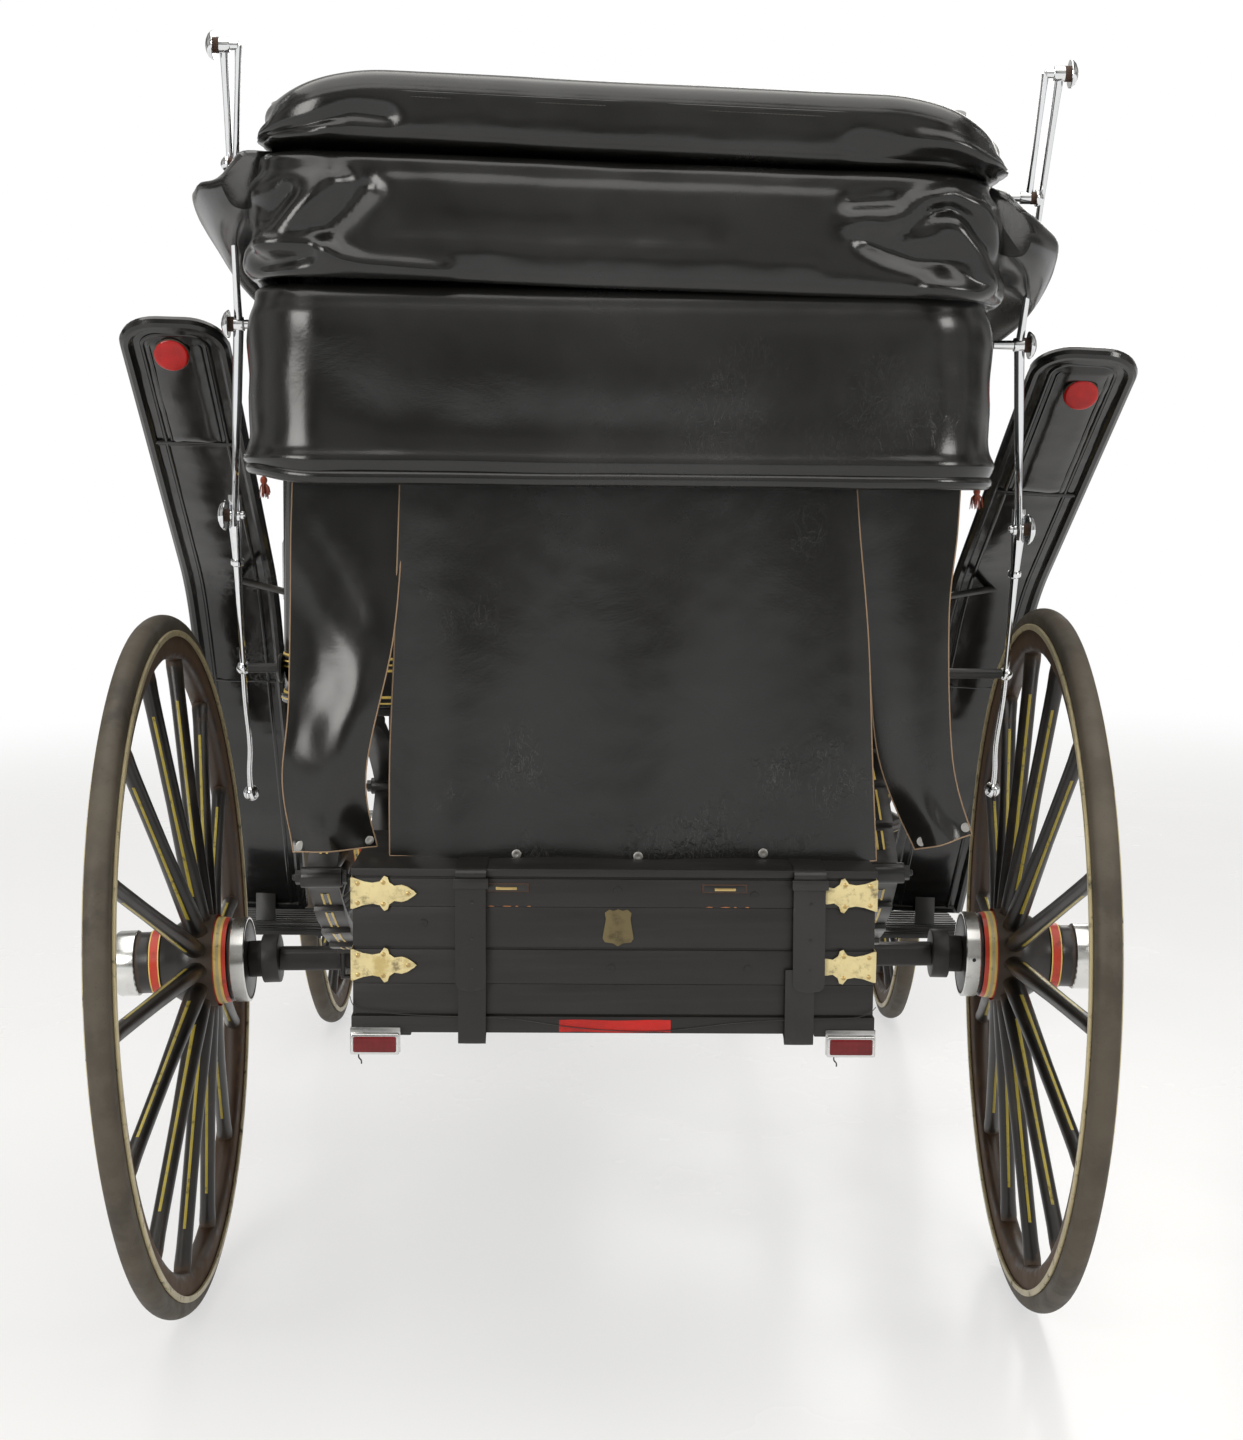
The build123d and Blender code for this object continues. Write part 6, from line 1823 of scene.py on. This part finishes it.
class CARRIAGE_OT_wings(bpy.types.Operator):
    """Sew the wings with rolled edges, inner beads, cross seams and red reflectors"""

    bl_idname = "carriage.wings"
    bl_label = "Wings"

    def execute(self, context):
        settings = context.scene.carriage_wings
        for name in WING_PLACES:
            shape = WingShape(name, settings)
            first, second = WING_SEAMS[name]
            parts = [self.skin(shape, first, second),
                     self.line(shape, 0.0050, shape.length, settings.roll, 60, 0.0015),
                     self.line(shape, 0.0290, shape.length - 0.01, settings.bead, 60, 0.0035),
                     self.line(shape, 0.0395, first - 0.010, settings.bead * 0.6, 16, 0.0068)]
            for along, size, lift in ((first, 0.0044, 0.0050), (first + 0.008, 0.0022, 0.0045),
                                      (second, 0.0030, 0.0045), (shape.length, settings.roll, 0.0)):
                reach = shape.half - (0.004 if lift else 0.0)
                points = [shape.point(along, mixture(-reach, reach, step / 8), lift) for step in range(9)]
                parts.append(painted(rod("wing_seam", points, size, sides=3), "patent_leather"))
            wing = joined(f"sewn_wing_{name}", parts)
            settle(wing, "patent_leather", stands_for=(f"wing_{name}",))
            self.reflector(shape, settings, name)
        return {"FINISHED"}

    def skin(self, shape, first, second):
        """Crowned leather over the wing, padded toward its tip, with ripples at its seams."""
        def place(u, v):
            angle = 2 * math.pi * u
            along = mixture(0.0005, shape.length, v ** 1.15)
            radius = WING_TIP_ROUND
            half = shape.half
            if along < radius:
                half = half - radius + math.sqrt(max(radius ** 2 - (radius - along) ** 2, 0.0))
            share = math.cos(angle)
            across = half * math.copysign(abs(share) ** 0.7, share)
            crown = 0.0035 * (1 - (across / shape.half) ** 2)
            pad = 0.0045 * ease(first - along, 0.0, 0.010) * ease(shape.half - abs(across), 0.034, 0.041)
            pad *= ease(along, 0.034, 0.041)
            ripple = 0.0018 * ruffle(along, across, shape.side, 0.08)
            ripple += 0.0008 * ruffle(along, across, 2, 0.02)
            near = hump(along, first, 0.02) + hump(along, second, 0.03)
            ripple += 0.0011 * near * math.sin(across * 330)
            upper = math.sin(angle) > 0
            lift = (0.0028 + crown + pad + ripple) if upper else -0.0028 + crown * 0.6
            return shape.point(along, across, lift * min(1.0, abs(math.sin(angle)) * 3))

        skin = shaped("wing_skin", 44, 150, place, closed=True)
        return smooth(painted(skin, "patent_leather"), 60)

    def line(self, shape, inset, end, radius, steps, lift):
        """Padded line that runs round the wing, a set way inside its edge."""
        points = [shape.point(along, across, lift) for along, across in shape.edge(inset, end, steps)]
        return painted(rod("wing_roll", points, radius, sides=3), "patent_leather")

    def reflector(self, shape, settings, name):
        """Round red reflector on a wedge of rubber that turns it up to face the road behind."""
        radius = settings.reflector
        disc = turned("reflector", ((0.0, radius), (0.0025, radius), (0.0040, radius * 0.94),
                                    (0.0046, radius * 0.80), (0.0050, radius * 0.3)), 40, "Z")
        along = WING_REFLECTORS[name]
        centre = shape.point(along, 0.004 * shape.side, 0.0190)
        normal = (shape.point(along, 0, 0.02) - shape.point(along, 0, 0.0)).normalized()
        aim = aimed(centre, (normal + Vector((0, -0.50, 0.12))).normalized())
        mount = turned("mount", ((-0.015, radius * 0.7), (-0.004, radius + 0.001),
                                 (0.0012, radius + 0.0012), (0.0016, radius)), 40, "Z")
        disc.data.transform(aim)
        mount.data.transform(aim)
        parts = [painted(disc, "reflector_red"), painted(mount, "tyre_rubber")]
        settle(joined(f"wing_reflector_{name}", parts), "lamp_red")


class CARRIAGE_OT_steps(bpy.types.Operator):
    """Round the ribbed steps, their irons and the wing stays, with a bolt at each foot"""

    bl_idname = "carriage.steps"
    bl_label = "Steps"

    def execute(self, context):
        stand_for(softened("steps", "ribbed_steps", 0.0016), "steps", "iron_black")
        bolts = []
        for _, side in SIDES:
            for y in (0.8795, 1.0195):
                bolts.append(bolt("step_bolt", (side * 0.384, y, 0.5995), (0, 0, -1), 0.017))
                bolts.append(bolt("step_nut", (side * 0.575, y, 0.4325), (0, 0, -1), 0.014))
        settle(painted(joined("step_bolts", bolts), "iron_black"), "iron_black")
        return {"FINISHED"}


class CarriageGearSettings(bpy.types.PropertyGroup):
    """Sizes of the springs' painted stripes and clips."""

    stripe: bpy.props.FloatProperty(
        name="Stripe", description="Width of the gold stripe on a leaf", default=0.010, unit="LENGTH")
    clip_bar: bpy.props.FloatProperty(
        name="Clip bar", description="Radius of the U-bolts that hold the springs", default=0.0055,
        unit="LENGTH")


LEAF, CLIP_HEIGHT = 0.007, 0.008
# Full springs: end, axle y, x, eye z, half length, leaves, seat z
SPRINGS = (("rear", 0.0, 0.405, 0.801, 0.460, 5, 0.5974),
           ("front", WHEELBASE, 0.430, 0.620, 0.420, 4, 0.4790))


class CARRIAGE_OT_gear(bpy.types.Operator):
    """Finish the axles, springs, wheel plates, turning bed and shafts, with clips, bolts and gold stripes"""

    bl_idname = "carriage.gear"
    bl_label = "Running gear"

    def execute(self, context):
        settings = context.scene.carriage_gear
        for node, finish, width in (
            ("rear_axle", "axle_paint", 0.0015), ("front_axle", "axle_paint", 0.0015),
            ("rear_spring_right", "spring_paint", 0.0011), ("rear_spring_left", "spring_paint", 0.0011),
            ("front_springs", "spring_paint", 0.0011), ("body_irons", "iron_black", 0.0015),
            ("turntable_upper", "iron_black", 0.0015), ("turntable_lower", "iron_black", 0.0015),
            ("turning_bed", "black_paint_wood", 0.003), ("shafts", "shaft_wood", 0.002),
            ("whippletree", "shaft_wood", 0.004),
        ):
            stand_for(softened(node, f"{node}_finished", width), node, finish)
        for end, axle_y, x, eye_z, half, leaves, seat_z in SPRINGS:
            arch = eye_z - seat_z - CLIP_HEIGHT - leaves * LEAF
            radius = (half ** 2 + arch ** 2) / (2 * arch)
            parts = []
            for side in (1, -1):
                parts += self.stripes(settings, side * x, axle_y, eye_z, arch, radius, half, leaves)
                parts += self.clips(settings, side * x, axle_y, seat_z)
                for along in (-half, half):
                    for out in (-1, 1):
                        parts.append(painted(bolt("eye_bolt", (side * x + out * 0.028, axle_y + along, eye_z),
                                                  (out, 0, 0), 0.019, 0.008, 0.0045), "iron_black"))
            settle(joined(f"{end}_spring_fittings", parts), "iron_black",
                   "carriage" if end == "rear" else "front_gear", False)
        self.harness_fittings()
        return {"FINISHED"}

    def stripes(self, settings, x, axle_y, eye_z, arch, radius, half, leaves):
        """Gold stripe down the open face of each leaf, broken where the next leaf ends."""
        full = math.asin(half / radius)
        parts = []
        for up in (1, -1):
            centre = eye_z + up * (arch - radius)
            for leaf in range(leaves - 1):
                start = full * (1 - (leaf + 1) / (leaves + 0.6)) + 0.014
                end = full * (1 - leaf / (leaves + 0.6)) - 0.008
                if leaf == 0:
                    end -= 0.045
                out = radius + (leaf + 1) * LEAF + 0.0004
                for along in (1, -1):
                    def place(u, v):
                        angle = mixture(start, end, v)
                        return (x + (u - 0.5) * settings.stripe * 1.2, axle_y + along * out * math.sin(angle),
                                centre + up * out * math.cos(angle))

                    stripe = facing(shaped("stripe", 4, 8, place), (0, 0, up))
                    painted(stripe, "gold_line", "black_lacquer")
                    lined(stripe, 1, lambda c: abs(c.x - x) < settings.stripe * 0.2)
                    parts.append(sheet_of(stripe, 0.0004, offset=0.0))
        return parts

    def clips(self, settings, x, axle_y, seat_z):
        """U-bolts round the axle bed and the spring's middle, with nuts above."""
        parts = []
        low, high, wide = seat_z - 0.043, seat_z + CLIP_HEIGHT + 0.010, 0.027
        for y in (axle_y - 0.030, axle_y + 0.030):
            points = [(x - wide, y, high), (x - wide, y, low), (x + wide, y, low), (x + wide, y, high)]
            parts.append(painted(rod("clip_bar", points, settings.clip_bar, sides=3), "iron_black"))
            for out in (-wide, wide):
                nut = bolt("clip_nut", (x + out, y, seat_z + CLIP_HEIGHT + 0.0035), (0, 0, 1), 0.015, 0.007)
                parts.append(painted(nut, "iron_black"))
        return parts

    def harness_fittings(self):
        """Brass bands round the shafts and a pin through the whippletree's plate."""
        place = shaft_lay()
        band = ((-0.010, 0.0222), (-0.010, 0.0238), (-0.0085, 0.0245), (0.0085, 0.0245), (0.010, 0.0238),
                (0.010, 0.0222), (-0.010, 0.0222))
        parts = []
        for side in (1, -1):
            for along, up in ((0.820, 0.306), (1.300, 0.455), (1.86, 0.519)):
                x = side * mixture(0.372, 0.285, along / 2.15)
                ring = turned("shaft_band", band, 32, "Y", ring=True)
                ring.data.transform(Matrix.Rotation(math.radians(14 if along < 1.5 else 5), 4, "X"))
                ring.data.transform(place @ Matrix.Translation((x, along, up)))
                parts.append(painted(ring, "brass"))
        pin = turned("whippletree_pin", ((0.0, 0.016), (0.003, 0.016), (0.005, 0.013), (0.012, 0.012),
                                         (0.016, 0.008)), 24, "Z")
        pin.data.transform(place @ Matrix.Translation((0, 0.480, 0.1627)))
        parts.append(painted(pin, "iron_black"))
        settle(joined("shaft_fittings", parts), "iron_black", "shafts", False)


def shaft_lay():
    """Matrix of the laid-down shafts, from their heels on the front axle."""
    heel_z, reach_y, reach_z = 0.46097, 2.15 * math.cos(math.asin(0.087 / 2.15)), 0.540
    reach = math.hypot(reach_y, reach_z)
    drop = math.asin((heel_z - 0.022) / reach) + math.asin(reach_z / reach)
    return Matrix.Translation((0, WHEELBASE + 0.062, heel_z)) @ Matrix.Rotation(-drop, 4, "X")


class CarriageBodySettings(bpy.types.PropertyGroup):
    """Sizes of the body's mouldings, cushions and lamps."""

    line: bpy.props.FloatProperty(
        name="Gold line", description="Radius of the gold lines beside the mouldings", default=0.0013,
        unit="LENGTH")
    button_depth: bpy.props.FloatProperty(
        name="Button depth", description="How deep a button pulls the leather in", default=0.015,
        unit="LENGTH")
    cushion_swell: bpy.props.FloatProperty(
        name="Cushion swell", description="Most that a stuffed cushion may swell", default=0.024,
        unit="LENGTH")


class CARRIAGE_OT_body(bpy.types.Operator):
    """Lacquer the quarter panel, seat, foot well and boot, with mouldings, gold lines, mat and tassels"""

    bl_idname = "carriage.body"
    bl_label = "Body"

    def execute(self, context):
        settings = context.scene.carriage_body
        for node, finish, width in (
            ("quarter_panel", "black_lacquer", 0.003), ("seat_frame", "black_paint_wood", 0.002),
            ("foot_well", "black_lacquer", 0.004), ("boot", "black_lacquer", 0.006),
            ("driver_seat", "black_lacquer", 0.002), ("footboard", "black_lacquer", 0.003),
        ):
            stand_for(softened(node, f"{node}_finished", width), node, finish)
        self.gold_lines(settings)
        self.floor_mats()
        self.tassels()
        return {"FINISHED"}

    def gold_lines(self, settings):
        """Lines round the rear seat's mouldings and framed panels on the boot and rockers."""
        parts = []
        plan = (0.505, -0.290, 0.110)
        for z, out in ((1.0375, 0.0), (1.0785, 0.0), (1.0955, 0.0), (1.029, 0.0052), (1.087, 0.0052),
                       (1.364, 0.0)):
            front = 0.425 if z < 1.1 else 0.055
            points = []
            for step in range(61):
                x, y, nx, ny = around(step / 60, plan, front)
                points.append((x + nx * out, y + ny * out, z))
            wide = 1.9 if z < 1.1 and out == 0.0 else 1.0
            parts.append(rod("gold_line", points, settings.line * wide, sides=2))
        for side in (-1, 1):
            x = side * 0.4002
            loops = (((1.335, 1.020), (2.010, 1.020), (2.025, 1.040), (2.025, 1.205), (1.335, 1.205),
                      (1.335, 1.020)),
                     ((0.560, 0.632), (1.150, 0.632), (1.195, 0.690), (1.180, 0.672), (0.565, 0.672),
                      (0.560, 0.632)))
            for loop in loops:
                parts.append(rod("gold_line", [(x, y, z) for y, z in loop], settings.line, sides=2))
        lines = painted(joined("body_gold_lines", parts), "gold_line")
        settle(lines, "gilt_cream")

    def floor_mats(self):
        """Ribbed rubber on the floor of the foot well."""
        parts = []
        for row in range(27):
            y = 0.535 + row * 0.0212
            parts.append(block("rib", (-0.350, y, 0.6215), (0.350, y + 0.012, 0.6275), 0.0015, 1))
        parts.append(block("mat", (-0.358, 0.528, 0.6205), (0.358, 1.112, 0.6235), 0.001, 1))
        mat = painted(joined("floor_mat", parts), "mat")
        settle(mat, "tyre_rubber")

    def tassels(self):
        """Wool tufts at the ends of the inside cords, just below the hem."""
        rng = random.Random(5)
        parts = []
        for x, y, z in ((-0.519, -0.300, 1.357), (0.541, -0.300, 1.351)):
            parts.append(ball("knot", (x, y, z + 0.004), 0.0055, (1, 1, 1.2), 6))
            for _ in range(26):
                angle, lean = rng.uniform(0, 6.28), rng.uniform(0.001, 0.010)
                tip = (x + lean * math.cos(angle), y + lean * math.sin(angle), z - rng.uniform(0.014, 0.024))
                middle = ((x + tip[0]) / 2 + lean * 0.3 * math.cos(angle), (y + tip[1]) / 2, z - 0.006)
                parts.append(rod("strand", ((x, y, z + 0.003), middle, tip), 0.0009, sides=1,
                                 taper=(1.0, 1.0, 0.6)))
            parts.append(rod("tie", ((x, y, z + 0.008), (x, y, z + 0.029)), 0.0014, sides=2))
        settle(painted(joined("tassels", parts), "fringe"), "lamp_red")


# Cushions: node, boxes that are stuffed as one (low corner, high corner), axis that their face looks along,
# place that they rest at on it, and the buttons' first place, last place and count each way
CUSHIONS = (
    ("seat_cushion", (((-0.468, -0.156, 1.0445), (0.468, 0.428, 1.132)),
                      ((-0.396, 0.30, 1.0445), (0.396, 0.505, 1.132))),
     "Z", 1.0443, ((-0.36, 0.36, 5), (-0.06, 0.40, 4))),
    ("back_cushion", (((-0.390, -0.2670, 1.050), (0.390, -0.162, 1.380)),),
     "Y", -0.2674, ((-0.32, 0.32, 6), (1.12, 1.31, 3))),
    ("driver_cushion", (((-0.368, 1.460, 1.3905), (0.368, 1.846, 1.472)),),
     "Z", 1.3903, ((-0.28, 0.28, 4), (1.54, 1.77, 3))),
)
CLOTH_FRAMES = 20


class CARRIAGE_OT_cushions(bpy.types.Operator):
    """Stuff the leather cushions by cloth simulation, then button, pleat and pipe them"""

    bl_idname = "carriage.cushions"
    bl_label = "Cushions"

    def execute(self, context):
        settings = context.scene.carriage_body
        for node, boxes, face, rest, rows in CUSHIONS:
            pad = self.stuffed(context, settings, node, boxes)
            buttons = self.buttoned(settings, pad, face, rest, rows)
            self.kept_inside(pad, boxes, rest, face)
            painted(pad, "seat_leather")
            smooth(pad, 70)
            settle(pad, "seat_leather", stands_for=(node,))
            settle(painted(buttons, "seat_leather"), "seat_leather")
            self.piping(node, boxes, face)
        return {"FINISHED"}

    def stuffed(self, context, settings, node, boxes):
        inset = settings.cushion_swell * 0.75
        shares = (0.85, 0.85, 0.6)
        parts = []
        for low, high in boxes:
            lower = [a + inset * share for a, share in zip(low, shares)]
            upper = [b - inset * share for b, share in zip(high, shares)]
            parts.append(block("pad", lower, upper, 0.018, 4))
        pad = joined(f"{node}_leather", parts)
        hold(pad)
        pad.data.remesh_voxel_size = 0.0115
        bpy.ops.object.voxel_remesh()
        start = [vertex.co.copy() for vertex in pad.data.vertices]
        hold(pad)
        bpy.ops.object.modifier_add(type="CLOTH")
        cloth = pad.modifiers[-1]
        cloth.settings.quality = 5
        cloth.settings.use_pressure = True
        cloth.settings.uniform_pressure_force = 4.0
        cloth.settings.effector_weights.gravity = 0.0
        cloth.point_cache.frame_start = 1
        cloth.point_cache.frame_end = CLOTH_FRAMES
        for step in range(1, CLOTH_FRAMES + 1):
            context.scene.frame_set(step)
        bpy.ops.object.modifier_apply(modifier=cloth.name)
        for vertex, before in zip(pad.data.vertices, start):
            move = vertex.co - before
            if move.length > settings.cushion_swell:
                vertex.co = before + move.normalized() * settings.cushion_swell
        context.scene.frame_set(1)
        return apply(pad, "SUBSURF", levels=1, render_levels=1)

    def buttoned(self, settings, pad, face, rest, rows):
        """Pulls the leather in at staggered buttons, with pleats running between them."""
        (low_a, high_a, count_a), (low_b, high_b, count_b) = rows
        step_a = (high_a - low_a) / (count_a - 1)
        places = []
        for row in range(count_b):
            b = mixture(low_b, high_b, row / (count_b - 1))
            shift = step_a / 2 if row % 2 else 0.0
            places += [(low_a + shift + column * step_a, b) for column in range(count_a - (row % 2))]
        row_gap = (high_b - low_b) / (count_b - 1)
        other = 1 if face == "Z" else 2
        up = 2 if face == "Z" else 1
        top = max(vertex.co[up] for vertex in pad.data.vertices)
        for vertex in pad.data.vertices:
            height = (vertex.co[up] - rest) / (top - rest)
            if height < 0.45:
                continue
            a, b = vertex.co.x, vertex.co[other]
            near = min(math.hypot(a - p, b - q) for p, q in places)
            pull = 0.9 * hump(near, 0, 0.020) + 0.35 * hump(near, 0, 0.05)
            along, cross, first = a / step_a, (b - low_b) / row_gap / 2, low_a / step_a
            crease = min((along + cross - first) % 1.0, (along - cross - first) % 1.0)
            crease = min(crease, 1 - crease)
            inside = ease(b, low_b - 0.04, low_b + 0.02) * ease(-b, -high_b - 0.04, -high_b + 0.02)
            pull += 0.28 * hump(crease * step_a, 0, 0.009) * inside
            pull += 0.10 * ruffle(a, b, 0.3, 0.05)
            vertex.co[up] -= pull * settings.button_depth * ease(height, 0.45, 0.9)
        parts = []
        for p, q in places:
            level = min(((vertex.co.x - p) ** 2 + (vertex.co[other] - q) ** 2, vertex.co[up])
                        for vertex in pad.data.vertices if (vertex.co[up] - rest) / (top - rest) > 0.5)[1]
            knob = ball("button", (0, 0, 0), 0.0085, (1, 1, 0.55), 6)
            if face == "Y":
                knob.data.transform(Matrix.Rotation(-math.pi / 2, 4, "X"))
            parts.append(placed(knob, (p, q, level + 0.0015) if face == "Z" else (p, level + 0.0015, q)))
        return joined(f"{pad.name}_buttons", parts)

    def kept_inside(self, pad, boxes, rest, face):
        """Flattens the pad where it rests and keeps it inside its place on the seat."""
        up = 2 if face == "Z" else 1
        for vertex in pad.data.vertices:
            vertex.co[up] = max(vertex.co[up], rest + 0.0006)
            for axis in (0, 1, 2):
                low = min(box[0][axis] for box in boxes)
                high = max(box[1][axis] for box in boxes)
                if axis != up:
                    vertex.co[axis] = min(max(vertex.co[axis], low), high)

    def piping(self, node, boxes, face):
        """Piped seams round a cushion's edges."""
        low, high = boxes[0]
        swell = 0.004
        levels = (low[2] + 0.020, high[2] - 0.012) if face == "Z" else (high[1] - 0.014,)
        parts = []
        for level in levels:
            if face == "Z":
                x0, x1, y0, y1 = low[0] + swell, high[0] - swell, low[1] + swell, boxes[-1][1][1] - swell
                if len(boxes) > 1:
                    step_x, step_y = boxes[1][1][0] - swell, high[1] - swell
                    loop = [(x0, y0), (x1, y0), (x1, step_y), (step_x, step_y), (step_x, y1), (-step_x, y1),
                            (-step_x, step_y), (x0, step_y)]
                else:
                    loop = [(x0, y0), (x1, y0), (x1, y1), (x0, y1)]
                points = rounded_loop(loop, 0.030)
                points = [(x, y, level + 0.0008 * math.sin(x * 60 + y * 50)) for x, y in points]
            else:
                loop = [(low[0] + swell, low[2] + swell), (high[0] - swell, low[2] + swell),
                        (high[0] - swell, high[2] - swell), (low[0] + swell, high[2] - swell)]
                points = [(x, level, z) for x, z in rounded_loop(loop, 0.035)]
            parts.append(rod("piping", points + points[:1], 0.0032, sides=3))
        settle(painted(joined(f"{node}_piping", parts), "seat_leather"), "seat_leather")


def rounded_loop(corners, radius):
    """Points of a closed loop with its corners rounded."""
    points = []
    corners = [Vector(corner) for corner in corners]
    for before, here, after in zip(corners[-1:] + corners, corners, corners[1:] + corners[:1]):
        start = here + (before - here).normalized() * radius
        end = here + (after - here).normalized() * radius
        for step in range(5):
            t = step / 4
            points.append(tuple((1 - t) ** 2 * start + 2 * t * (1 - t) * here + t * t * end))
    return points


class CARRIAGE_OT_lamps(bpy.types.Operator):
    """Fit the side lamps with bright frames, glass, chimneys and candle tubes"""

    bl_idname = "carriage.lamps"
    bl_label = "Side lamps"

    def execute(self, context):
        parts = []
        half, low, high = 0.046, 1.085, 1.215
        corner = half / math.cos(math.pi / 8)
        turn = Matrix.Rotation(math.radians(22.5), 4, "Z")
        for _, side in SIDES:
            place = Matrix.Translation((side * 0.660, 1.380, 0))

            def ring(name, profile, finish, rim=8):
                piece = turned(name, profile, rim, "Z")
                if rim == 8:
                    piece.data.transform(turn)
                piece.data.transform(place)
                return painted(piece, finish)

            body = ((low - 0.044, 0.016), (low - 0.006, corner * 0.90), (low, corner * 0.94),
                    (low, corner * 0.99), (low + 0.008, corner * 0.99), (low + 0.008, 0.038),
                    (high - 0.008, 0.038), (high - 0.008, corner * 0.99), (high, corner * 0.99),
                    (high, corner * 0.93), (high + 0.006, corner * 0.86), (high + 0.044, 0.019))
            parts.append(ring("lamp_body", body, "black_lacquer"))
            for step in range(8):
                angle = math.radians(22.5 + 45 * step)
                x, y = corner * 0.965 * math.cos(angle), corner * 0.965 * math.sin(angle)
                bar = rod("lamp_bar", ((x, y, low + 0.004), (x, y, high - 0.004)), 0.0028, sides=3)
                bar.data.transform(place)
                parts.append(painted(bar, "chrome"))
                pane_angle = math.radians(45 * step)
                inner = half * 0.93
                along = Vector((-math.sin(pane_angle), math.cos(pane_angle), 0))
                out = Vector((math.cos(pane_angle), math.sin(pane_angle), 0)) * inner
                wide = inner * math.tan(math.pi / 8) * 0.93

                def corner_at(u, v):
                    z = mixture(low + 0.010, high - 0.010, v)
                    return out + along * mixture(-wide, wide, u) + Vector((0, 0, z))

                pane = sheet_of(facing(shaped("pane", 2, 2, corner_at), out), 0.002)
                pane.data.transform(place)
                # Glass panes, amber on the three at the back, whose bright colour is painted reflection
                parts.append(painted(pane, "lamp_yellow_painted_reflection" if step in (5, 6, 7) else "lamp_pane_painted_reflection"))
            radius = corner * 0.985
            for z0 in (low + 0.004, high - 0.004):
                rim = ((z0 - 0.004, radius * 0.9), (z0 - 0.004, radius), (z0, radius * 1.012),
                       (z0 + 0.004, radius), (z0 + 0.004, radius * 0.9))
                parts.append(ring("lamp_rim", rim, "chrome"))
            chimney = ((high + 0.040, 0.014), (high + 0.046, 0.0152), (high + 0.062, 0.0150),
                       (high + 0.066, 0.021), (high + 0.069, 0.0225), (high + 0.074, 0.018),
                       (high + 0.0765, 0.006))
            tube = ((low - 0.045, 0.015), (low - 0.048, 0.0165), (low - 0.054, 0.012), (low - 0.100, 0.0114),
                    (low - 0.104, 0.0135), (low - 0.112, 0.0150), (low - 0.124, 0.0120), (low - 0.130, 0.005))
            parts += [ring("chimney", chimney, "chrome", 32), ring("candle_tube", tube, "chrome", 32)]
            points = [(side * x, 1.380, 1.004) for x in (0.3985, 0.56, 0.648)]
            parts.append(painted(rod("lamp_arm", points, 0.0088, sides=4), "iron_black"))
            flange = ((0.0, 0.012), (0.0, 0.024), (0.004, 0.025), (0.008, 0.020), (0.010, 0.011))
            foot = placed(turned("lamp_foot", flange, 24), (side * 0.400, 1.380, 1.004), side)
            parts.append(painted(foot, "iron_black"))
        settle(joined("side_lamp_pair", parts), "lamp_case", stands_for=("side_lamps",))
        return {"FINISHED"}


class CARRIAGE_PT_panel(bpy.types.Panel):
    """Lists the steps that build the carriage"""

    bl_idname = "CARRIAGE_PT_panel"
    bl_label = "Carriage"
    bl_space_type = "VIEW_3D"
    bl_region_type = "UI"
    bl_category = "Carriage"

    def draw(self, context):
        for operator in STEPS:
            self.layout.operator(operator.bl_idname)
        for name, group in GROUPS.items():
            box = self.layout.box()
            for key in group.__annotations__:
                box.prop(getattr(context.scene, name), key)


GROUPS = {
    "carriage_stage": CarriageStageSettings,
    "carriage_wheels": CarriageWheelSettings,
    "carriage_hood": CarriageHoodSettings,
    "carriage_trunk": CarriageTrunkSettings,
    "carriage_wings": CarriageWingSettings,
    "carriage_gear": CarriageGearSettings,
    "carriage_body": CarriageBodySettings,
}
STEPS = (
    CARRIAGE_OT_stage,
    CARRIAGE_OT_wheels,
    CARRIAGE_OT_hood,
    CARRIAGE_OT_irons,
    CARRIAGE_OT_curtains,
    CARRIAGE_OT_trunk,
    CARRIAGE_OT_wings,
    CARRIAGE_OT_steps,
    CARRIAGE_OT_gear,
    CARRIAGE_OT_body,
    CARRIAGE_OT_cushions,
    CARRIAGE_OT_lamps,
)


def register():
    for kind in (*GROUPS.values(), *STEPS, CARRIAGE_PT_panel):
        bpy.utils.register_class(kind)
    for name, group in GROUPS.items():
        setattr(bpy.types.Scene, name, bpy.props.PointerProperty(type=group))


def unregister():
    for name in GROUPS:
        delattr(bpy.types.Scene, name)
    for kind in reversed((*GROUPS.values(), *STEPS, CARRIAGE_PT_panel)):
        bpy.utils.unregister_class(kind)


def dress_nodes():
    """Every CAD node that still shows gets its slot's finish."""
    for row in frame["record"]["subparts"]:
        node = nodes[row["node"]]
        if not node.hide_render:
            node.data.materials.clear()
            node.data.materials.append(finishes[row["material_slot"]])


def main():
    register()
    for step in STEPS:
        group, name = step.bl_idname.split(".")
        getattr(getattr(bpy.ops, group), name)()
    dress_nodes()
    fresh()


if __name__ == "__main__":
    main()
